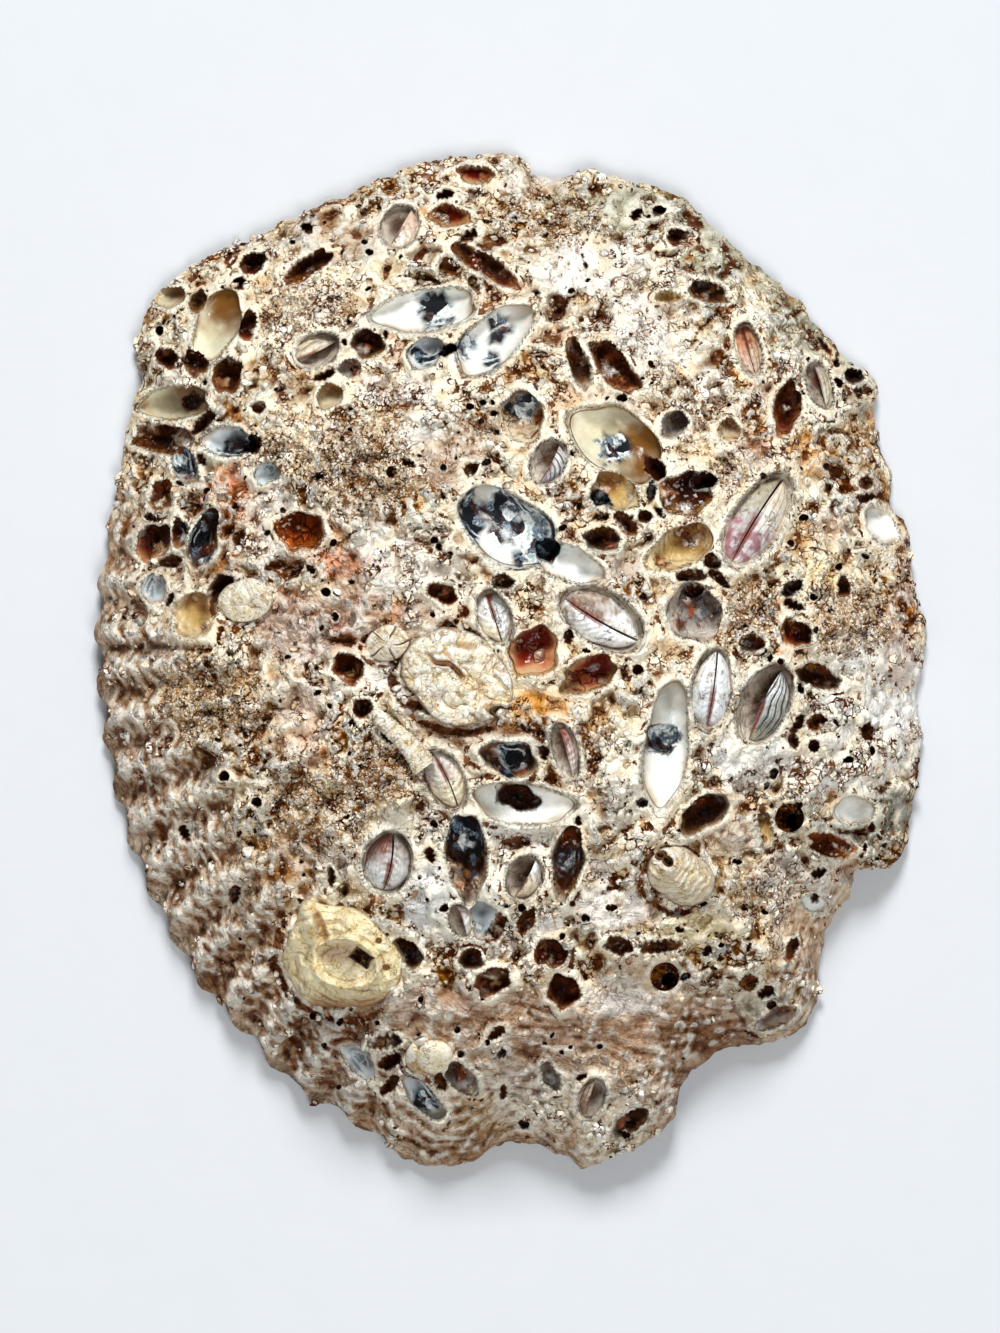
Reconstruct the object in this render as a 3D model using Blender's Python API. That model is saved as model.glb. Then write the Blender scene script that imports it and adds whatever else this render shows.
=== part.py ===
"""A large abalone shell, dome side up, riddled by boring clams and crusted with barnacles and worm tubes.

The shell is one solid: a lopsided dome on a wavy rim, hollow underneath, with the clams' burrows sunk in its
back. The barnacles, the tubes and the valves of the clams lie on or in it as pieces of their own.

Frame: +Z up, the origin at the middle of the base, +Y towards the end with the spire, +X towards the side with
the row of breathing pores. All sizes and places below are in millimetres.
"""

import math
import random

import bmesh
import bpy
import numpy as np
from mathutils import Vector, noise
from mathutils.geometry import delaunay_2d_cdt

MM = 0.001

# ---- driving dimensions ----
DOME_HEIGHT = 50.0
CROWN = (8.0, 3.0)
RIM_DEPTH = 2.2
RIM_ROUNDING = 0.8
WALL = 10.0
RIM_WIDTH = 4.0
SHELF_WIDTH = 4.5
SHELF_HEADING = 35.0
DOME_BULGE = 2.1
DOME_SHOULDER = 0.82
SPIRE = (-50.0, 58.0)
SPIRE_HEIGHT = 4.5
SPIRE_SPREAD = 15.0
SPIRE_HOLLOW = 3.0
SCAR = (6.0, -4.0)
SCAR_HEIGHT = 1.0
SCAR_SPREAD = 17.0
RIB_PITCH = 10.5
RIB_HEIGHT = 1.2
RIB_FIRST_CREST = (-82.0, 16.5)
RIB_FROM_HEADING = 155.0
RIB_TO_HEADING = 262.0
CRUST_RELIEF = 2.6
CRUST_SCALE = 10.0
LIP_HEIGHT = 0.5
LEAST_FLOOR = 1.6
PORE_RADIUS = 2.9
PIECE_GAP = 0.35
NOTCH_BLUR = 24.0

# ---- mesh fineness ----
EDGE_POINTS = 150
BURROW_SIDES = 10
SEAT_SIDES = 14
PORE_SIDES = 10
FIELD_STEP = 5.6
FIELD_MARGIN = 1.7
FIELD_EDGE = 0.93
MOST_REACH = 0.965
UNDERSIDE_RINGS = (0.975, 0.93, 0.86, 0.76, 0.63, 0.48, 0.32, 0.16)

# The rim seen from above, clockwise from the far end; the ribs' small scallops are added to it.
RIM_OUTLINE = [
    (-4.0, 100.0), (1.0, 99.8), (5.0, 96.2), (11.5, 95.5), (15.5, 97.0), (22.0, 95.0), (32.0, 92.3),
    (37.5, 88.0), (45.5, 80.5), (56.0, 72.0), (60.0, 67.0), (66.0, 60.0), (72.5, 54.5), (71.3, 50.0),
    (72.5, 43.0), (75.2, 36.0), (75.0, 30.5), (78.3, 26.0), (80.0, 13.5), (82.0, 6.0), (81.5, 0.0),
    (80.0, -7.0), (81.2, -15.0), (80.0, -24.0), (79.0, -31.0), (77.5, -37.5), (74.0, -40.8), (68.0, -41.3),
    (67.3, -45.5), (63.5, -50.5), (61.0, -58.5), (60.3, -66.5), (57.5, -72.3), (50.5, -75.4), (43.5, -76.0),
    (38.5, -78.5), (33.5, -84.0), (32.0, -90.0), (26.5, -95.0), (20.0, -97.5), (14.5, -100.0),
    (10.0, -97.3), (0.0, -94.8), (-8.5, -98.8), (-16.0, -99.6), (-22.0, -97.2), (-29.0, -92.0),
    (-43.0, -83.3), (-51.0, -74.7), (-61.0, -63.5), (-67.5, -52.5), (-73.5, -39.5), (-77.5, -27.0),
    (-80.3, -12.0), (-81.4, 0.0), (-81.3, 12.0), (-79.4, 26.0), (-77.0, 39.5), (-75.0, 50.5),
    (-73.0, 55.8), (-74.2, 61.5), (-70.5, 71.5), (-61.5, 79.0), (-50.0, 84.0), (-42.0, 88.2), (-31.5, 92.5),
    (-18.5, 98.3),
]

# Stretches where the rim stands clear of the table: heading, half width in degrees, height.
RIM_LIFTS = [(-78.0, 17.0, 4.0), (-36.0, 9.0, 2.5), (70.0, 22.0, 2.5), (180.0, 20.0, 1.8)]

# Mounds of sand and crust on the dome: x, y, radius, height.
MOUNDS = [
    (-58.0, -7.5, 12.0, 3.0), (-28.0, 38.0, 12.0, 2.6), (29.0, 77.0, 12.0, 2.4), (25.0, 62.0, 8.0, 2.0),
    (-40.0, 69.0, 8.0, 1.8), (65.0, 9.0, 11.0, 2.4), (-25.0, 17.0, 9.0, 1.8), (-48.0, -27.0, 10.0, 2.0),
    (-24.0, -21.0, 9.0, 1.6), (45.0, -53.0, 9.0, 1.8), (-8.0, -32.0, 7.0, 1.2), (22.0, -24.0, 9.0, 2.4),
    (48.0, 42.0, 8.0, 1.6), (66.0, -20.0, 8.0, 1.6), (10.0, 84.0, 9.0, 1.4), (-2.0, -71.0, 9.0, 1.4),
    (20.0, -86.0, 8.0, 1.6), (-62.0, 66.0, 6.0, 1.8),
]

# The clams' burrows: x, y, length, width, heading in degrees, depth.
BURROWS = [
    (-40.0, 77.0, 12.0, 4.0, 37, 4.0), (-57.5, 65.5, 16.0, 9.0, 62, 5.0), (-67.0, 71.5, 6.5, 4.5, 15, 3.0),
    (-62.0, 58.5, 8.0, 6.0, -30, 4.0), (-55.5, 55.0, 8.0, 6.5, 60, 5.0), (-66.0, 50.5, 16.0, 6.5, 5, 4.5),
    (-68.0, 43.5, 12.0, 6.0, -10, 4.5), (-28.0, 62.0, 7.0, 6.5, 0, 4.0), (-35.0, 52.0, 6.5, 4.5, 30, 3.5),
    (-7.0, 94.5, 7.5, 4.0, -3, 2.5), (-12.0, 87.0, 9.0, 4.5, -10, 3.0), (-4.5, 77.0, 16.0, 5.0, -31, 4.5),
    (-16.5, 68.5, 23.5, 8.5, 8, 4.5), (-16.5, 59.5, 7.5, 6.0, 20, 4.0), (-4.0, 61.5, 19.0, 9.5, 48, 5.0),
    (13.0, 58.0, 11.5, 4.5, -75, 4.0), (20.0, 56.5, 12.0, 6.0, -50, 4.5), (2.0, 47.0, 11.0, 8.5, -65, 5.0),
    (20.5, 43.0, 20.5, 13.0, -40, 6.0), (31.5, 46.0, 6.5, 5.5, 60, 4.0), (38.5, 71.5, 8.5, 4.5, -10, 3.5),
    (54.5, 49.5, 11.0, 5.5, 75, 3.5), (42.5, 45.0, 5.5, 4.5, 0, 3.0), (-56.0, 43.0, 9.5, 6.5, -10, 4.5),
    (-63.5, 38.0, 8.5, 5.0, -60, 4.0), (-68.0, 31.5, 7.5, 4.5, 70, 3.5), (-69.5, 23.5, 8.5, 6.5, 60, 4.0),
    (-60.5, 23.0, 13.0, 6.0, 75, 4.5), (-68.0, 13.5, 7.0, 5.0, 90, 3.0), (-57.0, 13.5, 7.0, 5.0, 50, 4.0),
    (-41.0, 25.0, 10.0, 8.0, 10, 4.0), (-31.5, -1.5, 6.5, 6.0, -40, 4.0), (-0.5, 26.0, 23.0, 13.0, -30, 6.0),
    (12.5, 17.8, 12.5, 7.0, -25, 3.5), (20.0, 33.0, 9.5, 7.0, -15, 4.5), (17.5, 24.0, 6.5, 4.5, -10, 4.0),
    (4.5, 1.5, 11.0, 9.5, 70, 5.0), (15.0, -3.0, 11.5, 7.0, 18, 4.5), (32.5, 22.0, 14.0, 8.5, 30, 4.5),
    (34.0, 32.5, 12.0, 8.5, 12, 4.5), (35.5, 9.5, 13.0, 11.0, -80, 4.5), (56.0, 5.5, 6.5, 5.5, -20, 3.5),
    (60.0, -3.0, 10.0, 4.5, -15, 3.5), (72.0, 26.5, 7.5, 5.5, -60, 2.5), (-1.0, -18.5, 11.0, 6.5, -10, 4.5),
    (2.5, -27.5, 21.0, 8.0, -10, 4.5), (-8.5, -38.5, 20.0, 9.0, -84, 5.0), (10.5, -40.0, 14.5, 6.5, 78, 5.0),
    (-2.5, -52.0, 6.5, 3.5, 65, 3.5), (-20.0, -57.0, 6.5, 5.0, -45, 4.0), (-3.5, -63.0, 7.5, 5.5, 15, 4.5),
    (7.5, -57.0, 6.5, 6.0, 0, 4.5), (10.5, -65.5, 7.5, 6.0, -60, 4.5), (29.5, -16.5, 26.5, 9.0, 86, 5.0),
    (37.5, -30.0, 12.0, 5.5, 30, 4.0), (49.5, -33.0, 8.0, 3.5, -80, 3.0), (63.0, -36.0, 10.5, 4.5, -12, 3.0),
    (29.5, -55.0, 8.5, 3.5, 3, 3.5), (-29.5, -78.5, 12.0, 4.5, -42, 3.5), (-25.5, -74.5, 7.0, 3.0, 5, 3.5),
    (-17.5, -86.0, 11.5, 5.0, -45, 3.5), (-9.0, -82.5, 9.0, 4.5, -45, 3.5), (23.5, -90.5, 9.0, 4.5, 30, 2.5),
    (52.0, -70.0, 9.5, 4.0, 28, 2.5),
]
BURROW_FLOOR = 0.7

# Burrows that still hold their clam: name, x, y, length, width, heading, depth, and the valves' sides.
CLAM_FLOOR = 0.86
CLAM_FIT = 0.8
CLAM_HEIGHT = 0.30
CLAMS = [
    ("clam_pair_middle", 17.5, 8.2, 19.0, 11.0, -30, 4.2, (-1, 1)),
    ("clam_pair_window", -3.3, 8.5, 11.5, 7.0, -72, 3.4, (-1, 1)),
    ("clam_pair_right", 48.0, 27.5, 22.0, 10.5, 58, 4.2, (-1, 1)),
    ("clam_pair_left", -24.0, -39.0, 13.0, 10.0, 80, 4.2, (-1, 1)),
    ("clam_pair_capsule", -12.8, -23.0, 13.0, 8.0, -65, 2.6, (-1, 1)),
    ("clam_pair_edge", 46.5, 61.0, 11.5, 5.5, -75, 2.8, (-1, 1)),
    ("clam_blade", 39.0, -5.5, 17.0, 8.5, 82, 3.6, (-1, 1)),
    ("clam_banded", 49.3, -8.5, 17.0, 10.5, 65, 4.0, (-1,)),
    ("clam_ringed", 7.3, 38.7, 10.0, 7.0, 62, 2.6, (-1,)),
    ("clam_green", 60.5, 54.0, 10.0, 5.5, -75, 2.4, (1,)),
    ("clam_striated", 10.5, -17.5, 12.0, 5.5, -75, 3.4, (1,)),
    ("clam_hooded", 2.5, -42.0, 9.5, 7.5, 60, 3.6, (-1,)),
    ("clam_small", -9.8, -50.5, 7.0, 5.0, -70, 2.6, (1,)),
    ("clam_olive", -38.0, 60.5, 10.0, 7.0, 25, 3.4, (1,)),
    ("clam_pink", -21.8, 85.0, 9.5, 8.0, 60, 2.6, (-1,)),
    ("clam_low", 15.8, -85.5, 8.5, 5.5, 75, 2.6, (1,)),
]

# Seats that barnacles, tubes and lumps are cemented to: name, x, y, length, width, heading, sink.
SEAT_FLOOR = 0.94
SEATS = {
    "barnacle_large": (-33.0, -58.0, 24.0, 21.5, -20, 0.8),
    "barnacle_knob": (33.0, -41.7, 13.5, 12.5, 0, 0.6),
    "barnacle_small": (-16.0, -77.0, 10.0, 8.0, 20, 0.5),
    "barnacle_plates": (-24.0, 3.5, 9.0, 7.0, 15, 0.5),
    "worm_tube_cluster": (-10.5, -3.0, 23.0, 18.5, -20, 0.8),
    "worm_tube": (-21.5, -15.0, 16.0, 7.0, -54, 0.6),
    "worm_tube_mound": (-51.8, 11.8, 11.5, 8.5, 10, 0.5),
}
GROWTH_FIT = 0.83
BARNACLE_SIDES = 14
TUBE_SIDES = 8

PORES = [(30.0, -61.5), (54.3, -30.5)]

COLOURS = {
    "shell": ((0.60, 0.47, 0.34, 1.0), 0.65),
    "barnacle": ((0.80, 0.70, 0.48, 1.0), 0.7),
    "tube": ((0.78, 0.74, 0.64, 1.0), 0.6),
    "valve": ((0.62, 0.56, 0.54, 1.0), 0.35),
}


# ---- small helpers ----
def clear_scene():
    for old in list(bpy.context.scene.objects):
        bpy.data.objects.remove(old, do_unlink=True)


def material(slot):
    colour, roughness = COLOURS[slot]
    made = bpy.data.materials.get(slot) or bpy.data.materials.new(slot)
    made.use_nodes = True
    shader = made.node_tree.nodes["Principled BSDF"]
    shader.inputs["Base Color"].default_value = colour
    shader.inputs["Roughness"].default_value = roughness
    shader.inputs["Metallic"].default_value = 0.0
    made.diffuse_color = colour
    return made


def add_piece(name, slot, points, faces):
    """A closed object from points in millimetres, its faces turned outwards."""
    mesh = bpy.data.meshes.new(name)
    form = bmesh.new()
    corners = [form.verts.new(Vector(point) * MM) for point in points]
    for face in faces:
        form.faces.new([corners[i] for i in face])
    bmesh.ops.recalc_face_normals(form, faces=form.faces)
    form.to_mesh(mesh)
    form.free()
    mesh.shade_smooth()
    mesh.set_sharp_from_angle(angle=math.radians(40))
    mesh.materials.append(material(slot))
    made = bpy.data.objects.new(name, mesh)
    bpy.context.scene.collection.objects.link(made)
    return made


def ease(low, high, value):
    """0 below low, 1 above high, smooth between."""
    part = min(max((value - low) / (high - low), 0.0), 1.0)
    return part * part * (3.0 - 2.0 * part)


def hill(x, y, centre, spread):
    return math.exp(-((x - centre[0]) ** 2 + (y - centre[1]) ** 2) / spread**2)


# ---- the rim, in polar form about the crown ----
def smooth_loop(points, steps):
    """Points of a closed Catmull-Rom curve through the given ones."""
    made = []
    count = len(points)
    for i in range(count):
        before, start, end, after = (np.array(points[(i + k) % count]) for k in (-1, 0, 1, 2))
        for step in range(steps):
            part = step / steps
            bend = (
                2 * start
                + (end - before) * part
                + (2 * before - 5 * start + 4 * end - after) * part**2
                + (3 * start - before - 3 * end + after) * part**3
            )
            made.append(bend / 2)
    return np.array(made)


def polar(x, y):
    """Heading and distance of a place from the crown."""
    return math.atan2(y - CROWN[1], x - CROWN[0]), math.hypot(x - CROWN[0], y - CROWN[1])


def rim_table():
    """Heading, radius and length along the rim, in order of heading, with one turn's overlap at each end."""
    loop = smooth_loop(RIM_OUTLINE, 8)[::-1]
    headings = np.unwrap(np.arctan2(loop[:, 1] - CROWN[1], loop[:, 0] - CROWN[0]))
    radii = np.hypot(loop[:, 0] - CROWN[0], loop[:, 1] - CROWN[1])
    run = np.hypot(*np.diff(np.vstack([loop, loop[:1]]), axis=0).T)
    along = np.concatenate([[0.0], np.cumsum(run)[:-1]])
    whole = run.sum()
    turn = 2 * math.pi
    return (
        np.concatenate([headings - turn, headings, headings + turn]),
        np.tile(radii, 3),
        np.concatenate([along - whole, along, along + whole]),
    )


HEADINGS, RADII, ALONG = rim_table()
EVEN_HEADINGS = np.linspace(-math.pi, math.pi, 721)
FIRST_CREST = np.interp(polar(*RIB_FIRST_CREST)[0], HEADINGS, ALONG)


def heading_gap(heading, degrees):
    """Signed angle from a fixed heading in degrees, within half a turn."""
    gap = math.degrees(heading) - degrees
    return (gap + 180.0) % 360.0 - 180.0


def rib_strength(heading):
    middle = (RIB_FROM_HEADING + RIB_TO_HEADING) / 2
    half = (RIB_TO_HEADING - RIB_FROM_HEADING) / 2
    return 1.0 - ease(half - 18.0, half, abs(heading_gap(heading, middle)))


def rib_wave(heading):
    along = float(np.interp(heading, HEADINGS, ALONG)) - FIRST_CREST
    return math.cos(2 * math.pi * along / RIB_PITCH) * rib_strength(heading)


def rim_radius(heading):
    return float(np.interp(heading, HEADINGS, RADII)) + 0.7 * RIB_HEIGHT * rib_wave(heading)


def plain_radii():
    """The rim's radius with its notches evened out, for each of the even headings."""
    window = np.radians(np.arange(-NOTCH_BLUR, NOTCH_BLUR + 1.0))
    weights = np.cos(window * 90.0 / (NOTCH_BLUR + 1.0)) ** 2
    spread = np.interp(EVEN_HEADINGS[:, None] + window, HEADINGS, RADII)
    return spread @ weights / weights.sum()


PLAIN_RADII = plain_radii()


def dome_reach(heading, distance):
    """0 at the crown and 1 at the rim. The rim's notches don't run up the dome."""
    true = rim_radius(heading)
    plain = float(np.interp(heading, EVEN_HEADINGS, PLAIN_RADII))
    near_rim = ease(0.7, 1.0, distance / true)
    return min(distance / (plain + (true - plain) * near_rim), 1.0)


def rim_lift(heading):
    """How far the rim's underside stands above the table."""
    lift = 0.0
    for degrees, half, height in RIM_LIFTS:
        lift += height * (1.0 - ease(0.0, half, abs(heading_gap(heading, degrees))))
    return lift


def inner_radius(heading):
    """Where the flat rim ends and the hollow begins. The shelf makes it wider on the pores' side."""
    shelf = max(0.0, math.cos(math.radians(heading_gap(heading, SHELF_HEADING))))
    return rim_radius(heading) - RIM_WIDTH - SHELF_WIDTH * shelf


# ---- heights ----
def dome(x, y):
    """The shell's back without burrows and crust."""
    heading, distance = polar(x, y)
    reach = dome_reach(heading, distance)
    base = RIM_DEPTH + rim_lift(heading) * reach**4
    rise = (DOME_HEIGHT - RIM_DEPTH) * (1.0 - reach**DOME_BULGE) ** DOME_SHOULDER
    ribs = RIB_HEIGHT * rib_wave(heading) * ease(0.6, 0.85, reach) * (1.0 - ease(0.97, 1.0, reach))
    return base + rise + ribs + SPIRE_HEIGHT * hill(x, y, SPIRE, SPIRE_SPREAD) * (1.0 - reach**6)


def underside(x, y):
    """The hollow's ceiling, and the flat rim outside it."""
    heading, distance = polar(x, y)
    lift = rim_lift(heading)
    if distance >= inner_radius(heading) - 1e-6:
        return lift
    reach = dome_reach(heading, distance * rim_radius(heading) / inner_radius(heading))
    rise = (DOME_HEIGHT - WALL) * (1.0 - reach**DOME_BULGE) ** DOME_SHOULDER
    scar = SCAR_HEIGHT * hill(x, y, SCAR, SCAR_SPREAD)
    spire = SPIRE_HOLLOW * hill(x, y, SPIRE, SPIRE_SPREAD) * (1.0 - reach**6)
    return lift * reach**4 + rise - scar + spire


def crust(x, y):
    """Mounds and lumps, fading out at the rim."""
    heading, distance = polar(x, y)
    reach = distance / rim_radius(heading)
    lumps = CRUST_RELIEF * noise.noise(Vector((x, y, 0.0)) / CRUST_SCALE)
    mounds = sum(top * hill(x, y, (mx, my), radius) for mx, my, radius, top in MOUNDS)
    return (lumps + mounds) * (1.0 - ease(0.88, 1.0, reach))


class Pit:
    """A sunken ellipse with a flat floor: a burrow, or the seat of something cemented on."""

    def __init__(self, x, y, length, width, heading, depth, floor):
        self.x, self.y = x, y
        self.half_length, self.half_width = length / 2, width / 2
        self.heading = math.radians(heading)
        self.depth = depth
        self.floor = floor
        step = 1.0
        self.slope_x = (dome(x + step, y) - dome(x - step, y)) / (2 * step)
        self.slope_y = (dome(x, y + step) - dome(x, y - step)) / (2 * step)
        room = dome(x, y) + crust(x, y) - underside(x, y) - LEAST_FLOOR
        self.level = dome(x, y) + crust(x, y) - min(depth, room)

    def local(self, x, y):
        """The place along and across the ellipse, 1 at its rim."""
        away_x, away_y = x - self.x, y - self.y
        along = away_x * math.cos(self.heading) + away_y * math.sin(self.heading)
        across = away_y * math.cos(self.heading) - away_x * math.sin(self.heading)
        return along / self.half_length, across / self.half_width

    def plan(self, along, across):
        """The place on the plan of a point given along and across the ellipse."""
        run, side = along * self.half_length, across * self.half_width
        return (
            self.x + run * math.cos(self.heading) - side * math.sin(self.heading),
            self.y + run * math.sin(self.heading) + side * math.cos(self.heading),
        )

    def away(self, x, y):
        return math.hypot(*self.local(x, y))

    def floor_height(self, x, y):
        return self.level + self.slope_x * (x - self.x) + self.slope_y * (y - self.y)

    def loop(self, scale):
        """An ellipse of points round the middle, kept inside the shell's rim."""
        sides = BURROW_SIDES if self.floor == BURROW_FLOOR else SEAT_SIDES
        made = []
        for i in range(sides):
            turn = 2 * math.pi * (i + 0.5) / sides
            x, y = self.plan(scale * math.cos(turn), scale * math.sin(turn))
            heading, distance = polar(x, y)
            most = MOST_REACH * rim_radius(heading)
            if distance > most:
                x = CROWN[0] + most * math.cos(heading)
                y = CROWN[1] + most * math.sin(heading)
            made.append((x, y))
        return made


def all_pits():
    pits = [Pit(*row, BURROW_FLOOR) for row in BURROWS]
    clams = {row[0]: Pit(*row[1:7], CLAM_FLOOR) for row in CLAMS}
    seats = {name: Pit(*row, SEAT_FLOOR) for name, row in SEATS.items()}
    return pits, clams, seats


def back(x, y, pits):
    """The finished height of the shell's back."""
    open_height = dome(x, y) + crust(x, y)
    height = open_height
    lip = 0.0
    for pit in pits:
        away = pit.away(x, y)
        if away < 1.0:
            wall = 1.0 - ease(pit.floor, 1.0, away)
            height = min(height, open_height + wall * (pit.floor_height(x, y) - open_height))
        lip = max(lip, LIP_HEIGHT * (1.0 - abs(away - 1.0) / 0.1))
    if height == open_height:
        height += lip
    return max(height, underside(x, y) + LEAST_FLOOR)


# ---- the shell ----
def triangulate(boundary, loops, points):
    """Plan triangles inside the boundary that keep every loop's edges.

    Returns the plan points, the triangles, and the new index of each given point: the boundary's first, then
    the loops' in order.
    """
    given = list(boundary)
    edges = []
    for loop in loops:
        first = len(given)
        given.extend(loop)
        edges.extend((first + i, first + (i + 1) % len(loop)) for i in range(len(loop)))
    kept = len(given)
    given.extend(points)
    plan, _, faces, came_from, _, _ = delaunay_2d_cdt(
        [Vector(place) for place in given], edges, [list(range(len(boundary)))], 1, 1e-4
    )
    new_index = {}
    for new, olds in enumerate(came_from):
        for old in olds:
            new_index[old] = new
    return [tuple(place) for place in plan], faces, [new_index[i] for i in range(kept)]


def rim_headings():
    """Headings that space the rim's points evenly along it."""
    start, end = np.interp([0.0, 2 * math.pi], HEADINGS, ALONG)
    return [float(np.interp(s, ALONG, HEADINGS)) for s in np.linspace(start, end, EDGE_POINTS, endpoint=False)]


def at(heading, distance):
    return CROWN[0] + distance * math.cos(heading), CROWN[1] + distance * math.sin(heading)


def pore_loop(pore):
    turns = [2 * math.pi * i / PORE_SIDES for i in range(PORE_SIDES)]
    return [(pore[0] + PORE_RADIUS * math.cos(a), pore[1] + PORE_RADIUS * math.sin(a)) for a in turns]


def near_pore(x, y, margin):
    return any(math.hypot(x - px, y - py) < PORE_RADIUS + margin for px, py in PORES)


def field_points(pits):
    """Loosely even places over the back, clear of burrows, seats and pores."""
    draw = random.Random(11)
    made = []
    row_step = FIELD_STEP * math.sqrt(3) / 2
    rows = int(210.0 / row_step)
    columns = int(170.0 / FIELD_STEP)
    for row in range(-rows // 2, rows // 2 + 1):
        for column in range(-columns // 2, columns // 2 + 1):
            x = (column + 0.5 * (row % 2)) * FIELD_STEP + draw.uniform(-0.9, 0.9)
            y = row * row_step + draw.uniform(-0.9, 0.9)
            heading, distance = polar(x, y)
            if distance > FIELD_EDGE * rim_radius(heading) or near_pore(x, y, FIELD_MARGIN):
                continue
            if all(pit.away(x, y) > 1.0 + FIELD_MARGIN / pit.half_width for pit in pits):
                made.append((x, y))
    return made


def shoulder_points(headings, pits):
    """Two rows of places just inside the rim, on the crests and troughs of the ribs."""
    made = []
    for reach in (0.96, 0.90):
        for heading in headings[::2]:
            x, y = at(heading, reach * rim_radius(heading))
            if all(pit.away(x, y) > 1.0 + 0.8 / pit.half_width for pit in pits):
                made.append((x, y))
    return made


def underside_points(headings):
    made = []
    for ring, reach in enumerate(UNDERSIDE_RINGS):
        step = 2 if reach > 0.8 else 3 if reach > 0.4 else 6
        for heading in headings[ring % step :: step]:
            x, y = at(heading, reach * inner_radius(heading))
            if not near_pore(x, y, 1.0):
                made.append((x, y))
    return made + [CROWN]


def add_shell(pits):
    headings = rim_headings()
    outer = [at(h, rim_radius(h)) for h in headings]
    lower = [at(h, rim_radius(h) - RIM_ROUNDING) for h in headings]
    inner = [at(h, inner_radius(h)) for h in headings]
    pores = [pore_loop(pore) for pore in PORES]

    loops = pores + [pit.loop(scale) for pit in pits for scale in (1.0, pit.floor)]
    points = shoulder_points(headings, pits) + field_points(pits)
    plan, faces, index = triangulate(outer, loops, points)
    top = [(x, y, back(x, y, pits)) for x, y in plan]
    for place in index[:EDGE_POINTS]:
        x, y = plan[place]
        top[place] = (x, y, RIM_DEPTH + rim_lift(polar(x, y)[0]))

    low_plan, low_faces, low_index = triangulate(lower, pores + [inner], underside_points(headings))
    low = [(x, y, underside(x, y)) for x, y in low_plan]

    shift = len(top)
    solid = [face for face in faces if not inside_pore(face, index)]
    solid += [[i + shift for i in face] for face in low_faces if not inside_pore(face, low_index)]
    for first, count in ring_spans(pores):
        upper_ring = index[first : first + count]
        lower_ring = [i + shift for i in low_index[first : first + count]]
        solid += band(upper_ring, lower_ring)
    add_piece("abalone_shell", "shell", top + low, solid)


def ring_spans(pores):
    """First place and length, among the given points, of the rim's ring and of each pore's."""
    spans = [(0, EDGE_POINTS)]
    for number in range(len(pores)):
        spans.append((EDGE_POINTS + number * PORE_SIDES, PORE_SIDES))
    return spans


def inside_pore(face, index):
    for number in range(len(PORES)):
        first = EDGE_POINTS + number * PORE_SIDES
        if set(face) <= set(index[first : first + PORE_SIDES]):
            return True
    return False


def band(upper, lower):
    """Faces between two rings of the same length."""
    count = len(upper)
    return [[upper[i], upper[(i + 1) % count], lower[(i + 1) % count], lower[i]] for i in range(count)]


# ---- the clams ----
VALVE_COLUMNS = 6
VALVE_ROWS = 3
SEAM_GAP = 0.07


def valve_height(along, across, tallest):
    """A valve's back over its half of the pair: highest a third of the way out, low at the ends."""
    hump = 1.0 - (1.25 * across - 0.42) ** 2
    return tallest * max(0.12, hump * (1.0 - along**2) ** 0.6)


def add_valve(name, pit, side):
    """Half of a clam, on the burrow's floor: a shell-shaped block on one side of the seam."""
    tallest = CLAM_HEIGHT * 2 * pit.half_width * CLAM_FIT
    lower, upper = [], []
    for column in range(VALVE_COLUMNS + 1):
        along = -math.cos(math.pi * (0.07 + 0.86 * column / VALVE_COLUMNS))
        width = math.sqrt(1.0 - along**2) - SEAM_GAP
        for row in range(VALVE_ROWS + 1):
            across = SEAM_GAP + width * row / VALVE_ROWS
            x, y = pit.plan(CLAM_FIT * along, CLAM_FIT * side * across)
            ground = pit.floor_height(x, y) + PIECE_GAP
            lower.append((x, y, ground))
            upper.append((x, y, ground + valve_height(along, row / VALVE_ROWS, tallest)))
    add_piece(name, "valve", lower + upper, slab_faces(VALVE_COLUMNS, VALVE_ROWS))


def slab_faces(columns, rows):
    """Faces of a slab made of a lower and an upper grid of points, with the lower side one flat face."""
    across = rows + 1
    size = (columns + 1) * across
    faces = []
    for c in range(columns):
        for r in range(rows):
            i = c * across + r
            faces.append([size + i, size + i + 1, size + i + across + 1, size + i + across])
    edge = [c * across for c in range(columns + 1)]
    edge += [columns * across + r for r in range(1, rows + 1)]
    edge += [c * across + rows for c in range(columns - 1, -1, -1)]
    edge += [r for r in range(rows - 1, 0, -1)]
    faces.append(edge)
    faces += band([size + i for i in edge], edge)
    return faces


def add_clams(clams):
    for name, *_, sides in CLAMS:
        for side in sides:
            ending = "" if len(sides) == 1 else ("_a" if side < 0 else "_b")
            add_valve(name + ending, clams[name], side)


# ---- barnacles, tubes and lumps ----
def ruffle(turn, number):
    """The uneven outline of a barnacle, a few parts in a hundred either way."""
    return 1.0 + 0.06 * math.cos(3 * turn + number) + 0.04 * math.cos(5 * turn - 2.0 * number)


def add_turned(name, slot, seat, profile, number, knob=0.0):
    """Rings of points round a seat's middle. The profile lists each ring's width and height, base first."""
    points = []
    for ring, (width, height) in enumerate(profile):
        for i in range(BARNACLE_SIDES):
            turn = 2 * math.pi * i / BARNACLE_SIDES
            spread = width * ruffle(turn, number) * GROWTH_FIT
            x, y = seat.plan(spread * math.cos(turn), spread * math.sin(turn))
            bump = knob * math.sin(2.3 * i + 1.7 * ring + number) if ring else 0.0
            points.append((x, y, seat.floor_height(x, y) + PIECE_GAP + height + bump * min(1.0, width)))
    rings = [list(range(k * BARNACLE_SIDES, (k + 1) * BARNACLE_SIDES)) for k in range(len(profile))]
    faces = [rings[0], rings[-1]]
    for below, above in zip(rings, rings[1:]):
        faces += band(above, below)
    add_piece(name, slot, points, faces)


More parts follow.
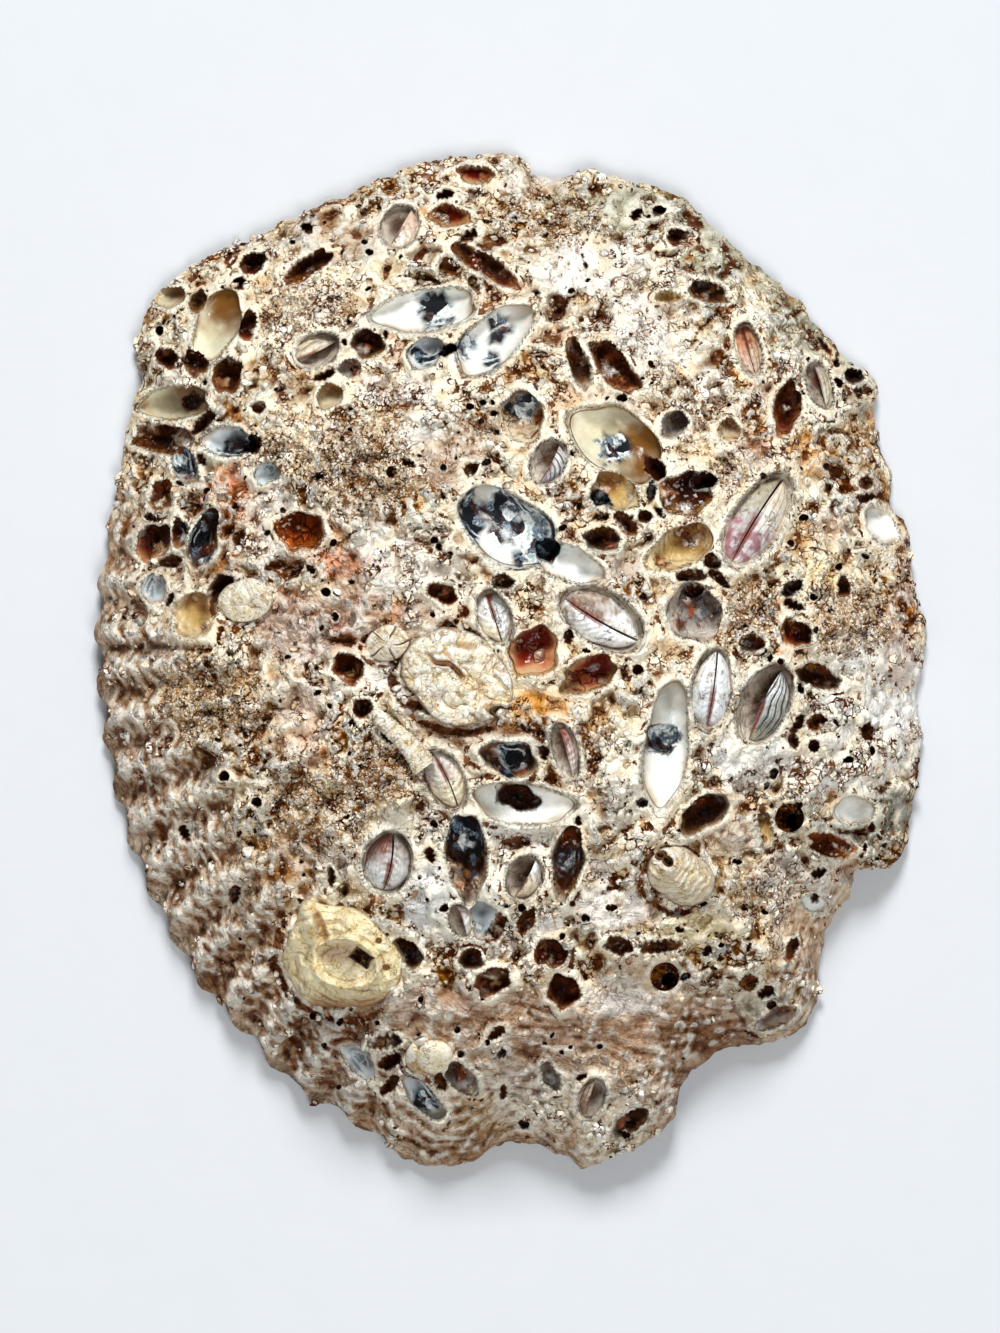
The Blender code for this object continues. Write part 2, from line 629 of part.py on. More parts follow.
def add_tube(name, seat, radius, length_part, rise):
    """A worm's tube lying along its seat, its open end lifted and hollow."""
    sections = 6
    points, rings = [], []
    stations = [(-length_part + 2 * length_part * k / (sections - 1), 1.0) for k in range(sections)]
    stations += [(length_part, 0.55), (length_part - 0.25, 0.5)]
    for along, scale in stations:
        lift = rise * ease(0.0, 1.0, (along + length_part) / (2 * length_part))
        sway = 0.12 * math.sin(2.2 * along)
        rings.append(list(range(len(points), len(points) + TUBE_SIDES)))
        for i in range(TUBE_SIDES):
            turn = 2 * math.pi * (i + 0.5) / TUBE_SIDES
            side = sway + scale * radius * math.cos(turn) / seat.half_width
            x, y = seat.plan(along, side)
            height = radius + scale * radius * math.sin(turn) + lift
            points.append((x, y, seat.floor_height(x, y) + PIECE_GAP + height))
    faces = [rings[0], rings[-1]]
    for one, other in zip(rings, rings[1:]):
        faces += band(one, other)
    add_piece(name, "tube", points, faces)


def add_growths(seats):
    crater = [(1.0, 0.0), (0.97, 1.5), (0.8, 4.5), (0.5, 7.5), (0.36, 7.6), (0.28, 3.0)]
    add_turned("barnacle_large", "barnacle", seats["barnacle_large"], crater, 1.0, 0.5)
    knob = [(1.0, 0.0), (0.95, 1.8), (0.75, 4.4), (0.42, 6.0), (0.26, 5.8), (0.2, 3.5)]
    add_turned("barnacle_knob", "barnacle", seats["barnacle_knob"], knob, 2.2, 0.25)
    small = [(1.0, 0.0), (0.95, 1.8), (0.65, 3.8), (0.25, 4.5)]
    add_turned("barnacle_small", "barnacle", seats["barnacle_small"], small, 0.4, 0.2)
    plates = [(1.0, 0.0), (0.95, 0.9), (0.6, 2.0), (0.2, 2.2)]
    add_turned("barnacle_plates", "barnacle", seats["barnacle_plates"], plates, 3.1, 0.15)
    lumpy = [(1.0, 0.0), (0.96, 1.6), (0.78, 3.6), (0.52, 4.8), (0.25, 4.6)]
    add_turned("worm_tube_cluster", "barnacle", seats["worm_tube_cluster"], lumpy, 4.0, 0.6)
    mound = [(1.0, 0.0), (0.94, 1.2), (0.6, 2.6), (0.22, 2.8)]
    add_turned("worm_tube_mound", "tube", seats["worm_tube_mound"], mound, 5.3, 0.3)
    add_tube("worm_tube", seats["worm_tube"], 2.1, 0.74, 0.8)


def main():
    clear_scene()
    burrows, clams, seats = all_pits()
    add_shell(burrows + list(clams.values()) + list(seats.values()))
    add_clams(clams)
    add_growths(seats)


main()
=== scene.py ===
"""A large abalone shell, riddled by boring clams and crusted with barnacles and worm tubes, on white
paper.

The shell's back is built finely enough for every burrow, hole, ridge and flake of crust to be a shape
of its own, on the same dome and in the same places as in the CAD model. All sizes and places are in
millimetres until a mesh is made of them.
"""

import math

import bpy
import numpy as np
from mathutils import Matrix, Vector, noise
from mathutils.geometry import delaunay_2d_cdt


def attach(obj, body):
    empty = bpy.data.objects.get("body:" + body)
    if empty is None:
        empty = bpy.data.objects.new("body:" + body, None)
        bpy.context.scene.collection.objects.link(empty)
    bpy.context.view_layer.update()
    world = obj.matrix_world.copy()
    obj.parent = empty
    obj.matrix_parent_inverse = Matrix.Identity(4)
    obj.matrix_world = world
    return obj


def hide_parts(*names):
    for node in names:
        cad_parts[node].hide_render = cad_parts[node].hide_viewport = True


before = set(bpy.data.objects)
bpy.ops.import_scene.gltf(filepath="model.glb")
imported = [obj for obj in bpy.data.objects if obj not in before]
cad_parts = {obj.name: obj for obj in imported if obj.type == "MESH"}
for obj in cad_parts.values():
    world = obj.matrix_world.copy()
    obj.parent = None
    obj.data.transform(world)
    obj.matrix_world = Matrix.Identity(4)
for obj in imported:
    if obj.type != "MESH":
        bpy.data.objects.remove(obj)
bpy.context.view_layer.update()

MM = 0.001
TURN = 2 * math.pi

# ---- the shell's driving dimensions, the same as the CAD model's ----
DOME_HEIGHT = 50.0
CROWN = (8.0, 3.0)
RIM_DEPTH = 2.2
WALL = 10.0
RIM_WIDTH = 4.0
SHELF_WIDTH = 4.5
SHELF_HEADING = 35.0
DOME_BULGE = 2.1
DOME_SHOULDER = 0.82
SPIRE = (-50.0, 58.0)
SPIRE_HEIGHT = 4.5
SPIRE_SPREAD = 15.0
SPIRE_HOLLOW = 3.0
SCAR = (6.0, -4.0)
SCAR_HEIGHT = 1.0
SCAR_SPREAD = 17.0
RIB_PITCH = 10.5
RIB_HEIGHT = 1.2
RIB_FIRST_CREST = (-82.0, 16.5)
RIB_FROM_HEADING = 155.0
RIB_TO_HEADING = 262.0
CRUST_RELIEF = 2.6
CRUST_SCALE = 10.0
LEAST_FLOOR = 1.6
PORE_RADIUS = 2.9
PIECE_GAP = 0.35
NOTCH_BLUR = 24.0
RIM_LIFTS = [(-78.0, 17.0, 4.0), (-36.0, 9.0, 2.5), (70.0, 22.0, 2.5), (180.0, 20.0, 1.8)]
PORES = [(30.0, -61.5), (54.3, -30.5)]

RIM_OUTLINE = [
    (-4, 100), (1, 99.8), (5, 96.2), (11.5, 95.5), (15.5, 97), (22, 95), (32, 92.3), (37.5, 88),
    (45.5, 80.5), (56, 72), (60, 67), (66, 60), (72.5, 54.5), (71.3, 50), (72.5, 43), (75.2, 36),
    (75, 30.5), (78.3, 26), (80, 13.5), (82, 6), (81.5, 0), (80, -7), (81.2, -15), (80, -24), (79, -31),
    (77.5, -37.5), (74, -40.8), (68, -41.3), (67.3, -45.5), (63.5, -50.5), (61, -58.5), (60.3, -66.5),
    (57.5, -72.3), (50.5, -75.4), (43.5, -76), (38.5, -78.5), (33.5, -84), (32, -90), (26.5, -95),
    (20, -97.5), (14.5, -100), (10, -97.3), (0, -94.8), (-8.5, -98.8), (-16, -99.6), (-22, -97.2),
    (-29, -92), (-43, -83.3), (-51, -74.7), (-61, -63.5), (-67.5, -52.5), (-73.5, -39.5), (-77.5, -27),
    (-80.3, -12), (-81.4, 0), (-81.3, 12), (-79.4, 26), (-77, 39.5), (-75, 50.5), (-73, 55.8),
    (-74.2, 61.5), (-70.5, 71.5), (-61.5, 79), (-50, 84), (-42, 88.2), (-31.5, 92.5), (-18.5, 98.3),
]

MOUNDS = [
    (-58, -7.5, 12, 3), (-28, 38, 12, 2.6), (29, 77, 12, 2.4), (25, 62, 8, 2), (-40, 69, 8, 1.8),
    (65, 9, 11, 2.4), (-25, 17, 9, 1.8), (-48, -27, 10, 2), (-24, -21, 9, 1.6), (45, -53, 9, 1.8),
    (-8, -32, 7, 1.2), (22, -24, 9, 2.4), (48, 42, 8, 1.6), (66, -20, 8, 1.6), (10, 84, 9, 1.4),
    (-2, -71, 9, 1.4), (20, -86, 8, 1.6), (-62, 66, 6, 1.8),
]

# ---- burrows: x, y, length, width, heading, depth, lining, heading of the shaded side ----
BURROWS = [
    (-51, 78, 5, 4.5, 30, 4.5, "wine", 60), (-40, 77, 12, 4, 37, 5, "wine", 60),
    (-57.5, 65.5, 16, 9, 62, 5.5, "olive", 62), (-67, 71.5, 6.5, 4.5, 15, 3.5, "olive", 70),
    (-61.5, 70.5, 5.5, 3.5, 70, 3.5, "black", 60), (-67.5, 59.5, 5, 4, -40, 4, "wine", 60),
    (-62, 58.5, 6, 5, -30, 4.5, "brown", 60), (-55.5, 55.5, 7.5, 6, 60, 5, "wine", 40),
    (-51.5, 65.5, 6, 3.5, 80, 4, "wine", 60), (-66, 50.5, 16, 6.5, 5, 5, "olive", 35),
    (-68, 43.5, 12, 6.5, -10, 5, "brown", 60), (-28, 62, 6.5, 6, 0, 4.5, "black", 60),
    (-35.5, 51.5, 6, 4.5, 30, 3.5, "olive", 90), (-31.5, 57, 4.5, 4, 0, 2.5, "grey", 90),
    (-7, 95.5, 8, 4, -3, 3, "amber", 90), (-12, 87, 9, 4.5, -10, 3, "amber", 90),
    (-4.5, 77, 16, 4.5, -31, 5, "wine", 90), (-16.5, 68.5, 23.5, 8.5, 8, 4.5, "pearl", 95),
    (-17, 60, 7.5, 6.5, 20, 4, "blue", 60), (-4, 62, 19.5, 10, 48, 5, "pearl", 60),
    (13, 58, 12, 4, -75, 5, "black", 90), (20, 57, 12.5, 6.5, -50, 5, "wine", 70),
    (2, 47, 11, 8.5, -65, 5, "cream", 60), (20.5, 42.5, 20.5, 13.5, -40, 6, "olive", 0),
    (31.5, 46, 6, 5, 60, 4.5, "grey", 60), (33, 83, 6, 3.5, -10, 3, "wine", 90),
    (30.5, 71, 5.5, 2.5, 0, 2.5, "gold", 90), (38.5, 72, 8.5, 4.5, -10, 4, "black", 90),
    (54, 49.5, 11.5, 5.5, 75, 4.5, "wine", 60), (67.5, 56, 4, 3.5, 0, 3.5, "black", 90),
    (42.5, 45, 5, 4.5, 0, 3, "cream", 90), (-56, 43, 9.5, 6.5, -10, 4.5, "blue", 10),
    (-64, 38.5, 8.5, 5, -60, 4.5, "grey", 70), (-68.5, 32, 7.5, 4.5, 70, 4, "brown", 90),
    (-47.5, 36.5, 5.5, 4.5, 20, 3, "blue", 60), (-70, 23.5, 8.5, 6.5, 60, 5, "wine", 60),
    (-65, 25, 6, 3.5, 80, 4, "brown", 60), (-60.5, 23, 13, 6, 75, 5, "black", 70),
    (-70, 14, 7, 5, 90, 3.5, "blue", 70), (-57, 13.5, 7, 5, 50, 4.5, "black", 60),
    (-41, 25, 10, 8, 10, 4.5, "rust", 90), (-61.5, 9, 10, 8.5, 30, 1.5, "gold", 60),
    (-31.5, -1.5, 6.5, 6, -40, 4.5, "wine", 60), (-0.5, 26, 23, 13, -30, 5.5, "pearl", 110),
    (11, 19, 14, 7.5, -25, 3.5, "pearl", 60), (20, 33, 9.5, 7.5, -15, 4.5, "gold", 110),
    (17.5, 23.5, 8, 4.5, -10, 4.5, "black", 90), (26, 28, 3, 3, 0, 3, "black", 90),
    (4.5, 2, 11, 9.5, 70, 5, "amber", 100), (15, -2.5, 12, 7, 18, 4.5, "amber", 60),
    (32.5, 22, 14, 8.5, 30, 4.5, "gold", 60), (33.5, 32.5, 12, 8.5, 12, 4.5, "brown", 45),
    (54.5, 14, 4.5, 3, 30, 3.5, "black", 60), (35, 16.5, 6.5, 2.5, 5, 3.5, "black", 90),
    (35.5, 9, 12.5, 10.5, -80, 4.5, "grey", 60), (55.5, 5.5, 6.5, 5.5, -20, 4.5, "wine", 60),
    (60, -3, 10, 4.5, -15, 4.5, "black", 90), (69.5, 35, 3.5, 3, 0, 3, "black", 90),
    (72.5, 26.5, 8.5, 6, -45, 2.5, "pearl", 60), (59.5, -12, 4.5, 3, 20, 3.5, "wine", 60),
    (69.5, -13.5, 4.5, 3, -75, 3, "wine", 60), (0, -19, 12, 7, -10, 5, "black", 60),
    (3, -27.5, 21.5, 8.5, -10, 4.5, "pearl", 150), (-8.5, -38, 17, 9, -84, 5.5, "black", 95),
    (-5.5, -50.5, 8.5, 6, -80, 3, "blue", 95), (11, -39.5, 14.5, 6.5, 78, 5.5, "black", 80),
    (-3, -52, 6.5, 3.5, 65, 3.5, "wine", 90), (3, -50.5, 6, 3, 60, 3.5, "wine", 90),
    (-20, -57, 7, 5, -45, 4.5, "black", 90), (-8, -58, 5, 4.5, 45, 4, "black", 60),
    (-4, -62.5, 7.5, 5.5, 15, 4.5, "wine", 60), (7.5, -57, 6.5, 6, 0, 4.5, "wine", 60),
    (10, -64.5, 7.5, 6, -60, 4.5, "wine", 60), (21, -55.5, 5.5, 4, -20, 3.5, "brown", 60),
    (30, -16.5, 27, 9, 86, 5, "pearl", 80), (37.5, -29.5, 12, 6, 30, 5, "black", 120),
    (49.5, -32, 8, 3, -80, 3, "gold", 90), (62.5, -36, 10.5, 4.5, -12, 3, "rust", 90),
    (67, -29.5, 8.5, 6, -10, 2.5, "pearl", 60), (55, -56.5, 5, 2.5, 75, 3, "wine", 60),
    (46.5, -63, 4, 3, 0, 3, "wine", 60), (29, -55.5, 8.5, 3, 3, 3.5, "wine", 90),
    (-29.5, -79, 12, 4.5, -42, 4, "blue", 60), (-25, -74.5, 7.5, 3, 5, 4, "black", 90),
    (-17.5, -85.5, 11.5, 5, -45, 4, "blue", 60), (-9.5, -82, 9, 4.5, -45, 4, "grey", 120),
    (23.5, -90.5, 9, 4.5, 30, 3, "black", 90), (52, -70, 9.5, 4, 28, 3, "grey", 90),
    (59.5, -47.5, 6, 3.5, -20, 2, "pearl", 60), (46.5, 3.5, 5, 4, 0, 3.5, "black", 60),
]

# Windows broken through the floor of a burrow.
WINDOWS = [
    (1, -26.5, 9.5, 5.5, -10, 8, "black", 60), (6.8, 21.4, 6, 4.5, -30, 8.5, "black", 60),
    (29.5, -15, 6.5, 7, 0, 7.5, "black", 60), (17.3, 31.8, 4, 3.2, 0, 7, "black", 60),
    (-50.5, 42.5, 4.5, 4, 0, 6.5, "wine", 60), (27.5, 38, 6, 4, -50, 7.5, "wine", 0),
    (-63, 51, 5, 3.5, 0, 6.5, "wine", 0), (-12.5, 60.5, 4, 2.2, 20, 5.5, "black", 60),
    (37.5, 35, 5.5, 3.5, 20, 6.5, "black", 60), (35.5, 13.5, 5, 2.5, 0, 6, "black", 60),
]

# Burrows that still hold their clam. The name is the CAD model's.
CLAMS = {
    "clam_pair_middle": (17.5, 8.2, 19, 11, -30, 4.2),
    "clam_pair_window": (-3.3, 8.5, 11.5, 7, -72, 3.4),
    "clam_pair_right": (48, 27.5, 22, 10.5, 58, 4.2),
    "clam_pair_left": (-24, -39, 13, 10, 80, 4.2),
    "clam_pair_capsule": (-12.8, -23, 13, 8, -65, 2.6),
    "clam_pair_edge": (46.5, 61, 11.5, 5.5, -75, 2.8),
    "clam_blade": (39, -5.5, 17, 8.5, 82, 3.6),
    "clam_banded": (49.3, -8.5, 17, 10.5, 65, 4),
    "clam_ringed": (7.3, 38.7, 10, 7, 62, 2.6),
    "clam_green": (60.5, 54, 10, 5.5, -75, 2.4),
    "clam_striated": (10.5, -17.5, 12, 5.5, -75, 3.4),
    "clam_hooded": (2.5, -42, 9.5, 7.5, 60, 3.6),
    "clam_small": (-9.8, -50.5, 7, 5, -70, 2.6),
    "clam_olive": (-38, 60.5, 10, 7, 25, 3.4),
    "clam_pink": (-21.8, 85, 9.5, 8, 60, 2.6),
    "clam_low": (15.8, -85.5, 8.5, 5.5, 75, 2.6),
}

# Seats that barnacles, tubes and lumps are cemented to: x, y, length, width, heading, sink.
SEATS = {
    "barnacle_large": (-33, -58, 24, 21.5, -20, 0.8),
    "barnacle_knob": (33, -41.7, 13.5, 12.5, 0, 0.6),
    "barnacle_small": (-16, -77, 10, 8, 20, 0.5),
    "barnacle_plates": (-24, 3.5, 9, 7, 15, 0.5),
    "worm_tube_cluster": (-10.5, -3, 23, 18.5, -20, 0.8),
    "worm_tube": (-21.5, -15, 16, 7, -54, 0.6),
    "worm_tube_mound": (-51.8, 11.8, 11.5, 8.5, 10, 0.5),
}

# Worm and sponge holes: x, y, length, width, heading, lining.
HOLES = [
    (-69, 65, 2, 2, 0, "black"), (29, 88.5, 2.8, 2.4, 0, "black"), (24.5, 87.5, 3.2, 2, 60, "wine"),
    (64, 58.5, 1.6, 1.6, 0, "black"), (61.5, 62, 5, 1.6, -50, "wine"), (68.5, 53, 3.2, 1.6, 0, "brown"),
    (-34.5, 23, 1.6, 1.6, 0, "black"), (-36, 13.5, 2, 2, 0, "black"), (-29, -9, 4.5, 3.5, 0, "wine"),
    (-15, 23.5, 1.6, 1.6, 0, "black"), (-14, 22, 1.6, 1.6, 0, "black"), (-12, 20.5, 1.6, 1.6, 0, "black"),
    (59, 12.5, 1.6, 1.6, 0, "black"), (65, 14.5, 3.2, 4, 0, "wine"), (64, 18.5, 1.6, 1.6, 0, "black"),
    (54.5, 23, 1.6, 1.6, 0, "black"), (63, -12.5, 2, 2.4, 0, "black"), (-56, -22.5, 2.2, 2.4, 0, "black"),
    (-49.5, -27.5, 2.4, 2, 0, "black"), (-54, -45.5, 2.4, 4, 0, "black"), (-35, -42, 1.6, 5, 0, "wine"),
    (59.5, -46.5, 2, 2, 0, "black"), (51, -67.5, 2, 2, 0, "wine"), (2.5, -91, 2.4, 2, 0, "black"),
    (-1.5, -84.5, 1.6, 3.2, 0, "wine"), (25.5, -27.5, 2.4, 2, 0, "black"),
    (16.5, 43.5, 2, 1.4, 90, "black"), (13, -31, 2, 1.4, 90, "wine"), (37, -47, 2.4, 1.6, 0, "wine"),
    (45.5, -48, 2, 1.4, 0, "wine"), (19.5, -48, 2.4, 1.6, 0, "wine"), (14.5, -50, 2, 1.6, 0, "wine"),
    (-13, -48, 2, 1.6, 0, "wine"), (-27, 4, 2, 1.4, 0, "wine"), (49, 36, 1.6, 1.6, 0, "wine"),
    (57, 28, 2, 1.6, 0, "wine"), (-13, 91.5, 4, 2, 20, "brown"), (-20, 38.5, 2, 3.5, 70, "wine"),
    (-8, 49.5, 1.6, 1.6, 0, "black"), (-5.5, 50.5, 1.6, 1.4, 0, "black"), (-6, 46.5, 1.6, 1.6, 0, "black"),
    (-3, 44.5, 1.4, 1.4, 0, "black"), (2, -48, 2, 1.6, 0, "wine"), (66, -19.5, 2.4, 2, 0, "wine"),
    (70.5, -17.5, 2, 2, 0, "wine"), (55, -15.5, 2.4, 3.2, 30, "wine"), (44, -39, 2, 1.6, 0, "wine"),
    (59, -16.5, 2.8, 2.4, 0, "wine"), (7.5, -81, 6, 3.6, -70, "grey"), (22.5, -93, 2, 1.6, 0, "wine"),
]

# What lines a burrow: colour by its lit wall, on its floor and in its shade, how far the shade comes from the
# depth and from the side, the share of dark nacre, and the gloss.
LININGS = {
    "pearl": ((0.90, 0.88, 0.78), (0.90, 0.92, 0.89), (0.38, 0.27, 0.15), 0.05, 0.56, 0.20, 0.7),
    "blue": ((0.88, 0.87, 0.80), (0.70, 0.78, 0.83), (0.045, 0.045, 0.055), 0.30, 0.58, 0.75, 0.7),
    "olive": ((0.88, 0.83, 0.66), (0.72, 0.66, 0.44), (0.17, 0.07, 0.012), 0.30, 0.85, 0.05, 0.7),
    "cream": ((0.90, 0.80, 0.58), (0.72, 0.60, 0.42), (0.16, 0.07, 0.025), 0.30, 0.60, 0.30, 0.4),
    "gold": ((0.86, 0.74, 0.48), (0.62, 0.42, 0.15), (0.15, 0.045, 0.008), 0.35, 0.62, 0.05, 0.5),
    "grey": ((0.74, 0.70, 0.62), (0.38, 0.35, 0.33), (0.040, 0.022, 0.016), 0.45, 0.60, 0.35, 0.4),
    "rust": ((0.86, 0.46, 0.25), (0.62, 0.16, 0.05), (0.11, 0.010, 0.005), 0.6, 0.45, 0.0, 0.2),
    "amber": ((0.80, 0.56, 0.30), (0.44, 0.036, 0.003), (0.085, 0.003, 0.001), 0.95, 0.45, 0.0, 1.0),
    "wine": ((0.62, 0.32, 0.19), (0.170, 0.014, 0.007), (0.012, 0.001, 0.001), 1.05, 0.70, 0.0, 0.6),
    "brown": ((0.66, 0.50, 0.36), (0.27, 0.115, 0.060), (0.018, 0.004, 0.003), 0.75, 0.80, 0.0, 0.3),
    "black": ((0.70, 0.63, 0.51), (0.014, 0.010, 0.010), (0.003, 0.002, 0.002), 1.6, 0.50, 0.25, 0.5),
}

# Dark nacre showing in swirls: x, y, radius.
NACRE_PATCHES = [
    (4, 24.5, 8), (-1.5, 28.5, 6), (-7.5, 28, 5), (-9.5, 62, 3.5), (-2.2, 64.5, 3.2), (-3.5, 58.8, 2.2),
    (-15, 68.5, 4.5), (2, 49.5, 4), (-53.5, 42, 3.5), (20.5, 41.5, 4), (-61.5, 24.5, 4), (-57.5, 20, 3.5),
    (-17, 59.5, 3), (-8.5, -34, 5), (0, -18.5, 4.5), (76, -34, 4.5), (29.5, -15, 3.5), (-64, 38.5, 3),
    (17.5, 31.5, 2.5), (11, -38, 3), (-17, -86, 3),
]

# Broad patches of colour on the crust: x, y, radius along x, radius along y, colour, strength.
PATCHES = [
    (-60, 66, 13, 12, "cream", 0.5), (-40, 69, 13, 9, "cream", 0.8), (-22, 80, 14, 7, "cream", 0.6),
    (-45, 44, 9, 9, "cream", 0.8), (-28, 38, 12, 11, "tan", 0.7), (-31, 44, 6, 4, "brown", 0.6),
    (-28, 32, 8, 4, "brown", 0.5), (28, 76, 13, 8, "cream", 0.9), (26, 62, 10, 8, "white", 0.7),
    (34, 55, 8, 5, "cream", 0.7), (8, 84, 10, 7, "tan", 0.4), (6, 90, 12, 5, "tan", 0.6),
    (25, 88, 22, 7, "sage", 1), (44, 80, 14, 8, "sage", 1), (58, 68, 10, 9, "sage", 0.9),
    (68, 57, 6, 9, "sage", 0.8), (47, 43, 7, 4, "rust", 0.9), (59, 40, 9, 5, "orange", 0.9),
    (48, 52, 6, 7, "orange", 0.4), (61, 25, 5, 4, "orange", 0.7), (56, 33, 8, 4, "cream", 0.7),
    (68, 38, 5, 8, "tan", 0.7), (65, 9, 10, 9, "tan", 0.9), (62, 19, 6, 6, "yellow", 0.7),
    (76, 6, 5, 16, "mauve", 0.6), (66, -12, 12, 6, "white", 0.9), (68, -22, 10, 6, "white", 0.8),
    (58, -22, 7, 6, "white", 0.7), (-24, 19, 7, 6, "white", 0.9), (-30, 8, 8, 8, "mauve", 0.7),
    (-33, 19, 8, 4, "salmon", 0.9), (-37, 26, 6, 3, "salmon", 0.9), (-31.5, 4, 5, 3.5, "salmon", 1),
    (-22, 9, 5, 3, "salmon", 0.6), (-17, 12, 6, 8, "white", 0.5), (-14, 24, 7, 6, "white", 0.4),
    (-55, 32, 7, 9, "salmon", 1), (-48, 28, 5, 9, "white", 0.6), (-53, 5, 9, 7, "cream", 0.5),
    (-64, 8, 7, 6, "gold", 0.6), (-58, -7.5, 12, 9, "gold", 0.9), (-50, -15, 8, 7, "tan", 0.9),
    (-38, -2, 9, 7, "pink", 0.5), (-40, -14, 8, 8, "pink", 0.5), (-25, -21, 8, 7, "brown", 0.8),
    (-38, -28, 12, 9, "tan", 0.8), (-10, -14, 14, 3.5, "umber", 0.7), (6, -8.5, 8, 3.5, "orange", 1),
    (-18, -7.5, 6, 3, "white", 0.6), (-10, -31, 8, 5, "white", 0.6), (14, -26, 7, 8, "white", 0.5),
    (22, -17, 6, 6, "cream", 0.7), (22, -26, 5, 9, "cream", 0.8), (-18, -42, 6, 9, "white", 0.5),
    (-30, -37, 5, 8, "cream", 0.6), (5, -52, 9, 5, "white", 0.8), (44, -32, 9, 6, "umber", 0.5),
    (36, -52, 11, 5, "yellow", 0.9), (45, -46, 8, 5, "tan", 0.6), (56, -53, 7, 8, "orange", 0.5),
    (30, -61, 7, 5, "mauve", 0.5), (50, -68, 7, 5, "sage", 0.7), (12, -72, 30, 6, "tan", 0.9),
    (32, -76, 14, 9, "umber", 0.6), (-12, -70, 10, 5, "umber", 0.5), (4, -86, 12, 7, "cream", 0.8),
    (-6, -90, 8, 5, "tan", 0.7), (20, -92, 8, 6, "cream", 0.7), (70, -34, 8, 4, "slate", 0.9),
    (75, -29, 6, 6, "slate", 0.9), (3, -15.5, 14, 4, "umber", 1), (-20, -66, 7, 5, "white", 0.5),
    (10, 8, 5, 4, "white", 0.5), (0, 10.5, 6, 4, "cream", 0.7), (42, 18, 5, 6, "white", 0.6),
    (40, -16, 6, 7, "white", 0.6), (-20, 60, 8, 3, "pink", 0.5), (10, 66, 7, 8, "cream", 0.6),
    (-11, -46, 12, 10, "pearl", 1), (47, -15, 9, 10, "pearl", 1), (3, -32, 13, 7, "pearl", 0.9),
    (-42, 8, 10, 8, "mauve", 0.6), (-66, 12, 8, 5, "cream", 0.6), (66, -19, 9, 6, "white", 1),
    (-24, -36, 5, 7, "pearl", 0.6), (12, 49, 5, 6, "pink", 0.6), (-8, 38, 8, 8, "grey", 0.5),
    (-14, 48, 6, 5, "white", 0.5), (-8, -66, 6, 4, "mauve", 0.5),
]

# Beds of sand grains: x, y, radius along x, radius along y, strength.
SAND_BEDS = [
    (-58, -7.5, 12, 9, 1), (-28, 38, 12, 11, 1), (-24, -21, 8, 7, 0.9), (-40, 69, 10, 9, 0.8),
    (65, 9, 10, 9, 0.9), (-43, 44, 9, 8, 0.8), (36, 46, 7, 6, 0.7), (32.5, 30, 6, 5, 1),
    (35.5, 9, 6, 6, 0.9), (46, 36, 8, 6, 0.6), (-36, -28, 12, 10, 0.7), (46, 9, 7, 8, 0.8),
    (48, -45, 8, 7, 0.5), (8, 86, 12, 6, 0.5), (-8, 40, 6, 6, 0.3),
]

# Smooth, brown, thread-like parts of the crust: x, y, radius along x, radius along y, strength.
FIBROUS = [
    (6, -70.5, 44, 8, 1), (36, -77, 16, 9, 1), (-34, -78, 12, 8, 0.7), (-8, -14.5, 13, 4, 1),
    (-10, -71, 11, 5, 0.8), (12, -79, 28, 7, 0.9), (-42, 6, 9, 7, 0.6), (-11, 39, 8, 8, 0.8),
    (22, -49, 11, 3.5, 0.8), (40, -33, 10, 5, 0.6), (-30, 11, 8, 7, 0.7), (-19, 6.5, 6, 5, 0.8),
    (27, -62, 12, 4, 0.7), (-33, 83, 14, 5, 0.7), (-37, -38, 12, 9, 0.5),
]

# Thick, smooth, plain white lime: x, y, radius along x, radius along y, strength.
ENAMEL = [
    (72, -10, 13, 17, 1), (62, -20, 9, 6, 1), (15, 77.5, 12, 7, 1), (45, -18, 9, 8, 0.9),
    (-13, -48.5, 8, 6, 0.9), (20, -47.5, 8, 4, 0.9), (2, -50.5, 6, 4.5, 0.8), (36, -51, 9, 4, 0.7),
    (57, -50, 8, 9, 0.7), (-41, 4, 6, 6, 0.7), (-9, -44, 10, 11, 1), (6, -31, 12, 4, 0.8),
    (14, -45, 6, 8, 0.8), (22, -66, 9, 4, 0.8), (20, -89, 7, 5, 0.8), (-40, -7, 7, 5, 0.6),
    (-33, -38, 6, 4, 0.6), (53, -42, 6, 5, 0.8), (52, 53, 6, 6, 0.6), (23, 19, 6, 3.5, 0.8),
    (40, 50, 6, 8, 0.6), (3, 95, 9, 4, 0.7), (-13, 92, 7, 3.5, 0.6), (-2, -53, 10, 5, 0.8),
    (-12, 15, 7, 6, 0.8), (-34, 44, 5, 4, 0.7), (-29, 30, 6, 4, 0.7), (-21, 54, 8, 4, 0.8),
    (-19, 42, 6, 7, 0.8), (27, 64, 10, 9, 0.8), (62, 25, 5, 5, 0.7), (49, 40, 5, 4, 0.7),
    (-25, -2, 6, 4, 0.9), (63, -37, 6, 4, 0.7), (-24, 19, 7, 7, 0.8), (-46, 28, 4, 8, 0.8),
    (-40, 71, 8, 6, 0.6), (-17, -32, 4, 4, 0.8), (4, -88, 8, 4, 0.8), (5, -82.5, 7, 4, 0.8),
    (-68, 1, 5, 5, 0.6), (40, 33, 5, 5, 0.7), (35, -50, 6, 5, 0.7), (-33, 42, 5, 5, 0.6),
    (49, -12, 5, 5, 0.7), (12, 9, 5, 4, 0.8), (22, -24, 5, 8, 0.8),
]

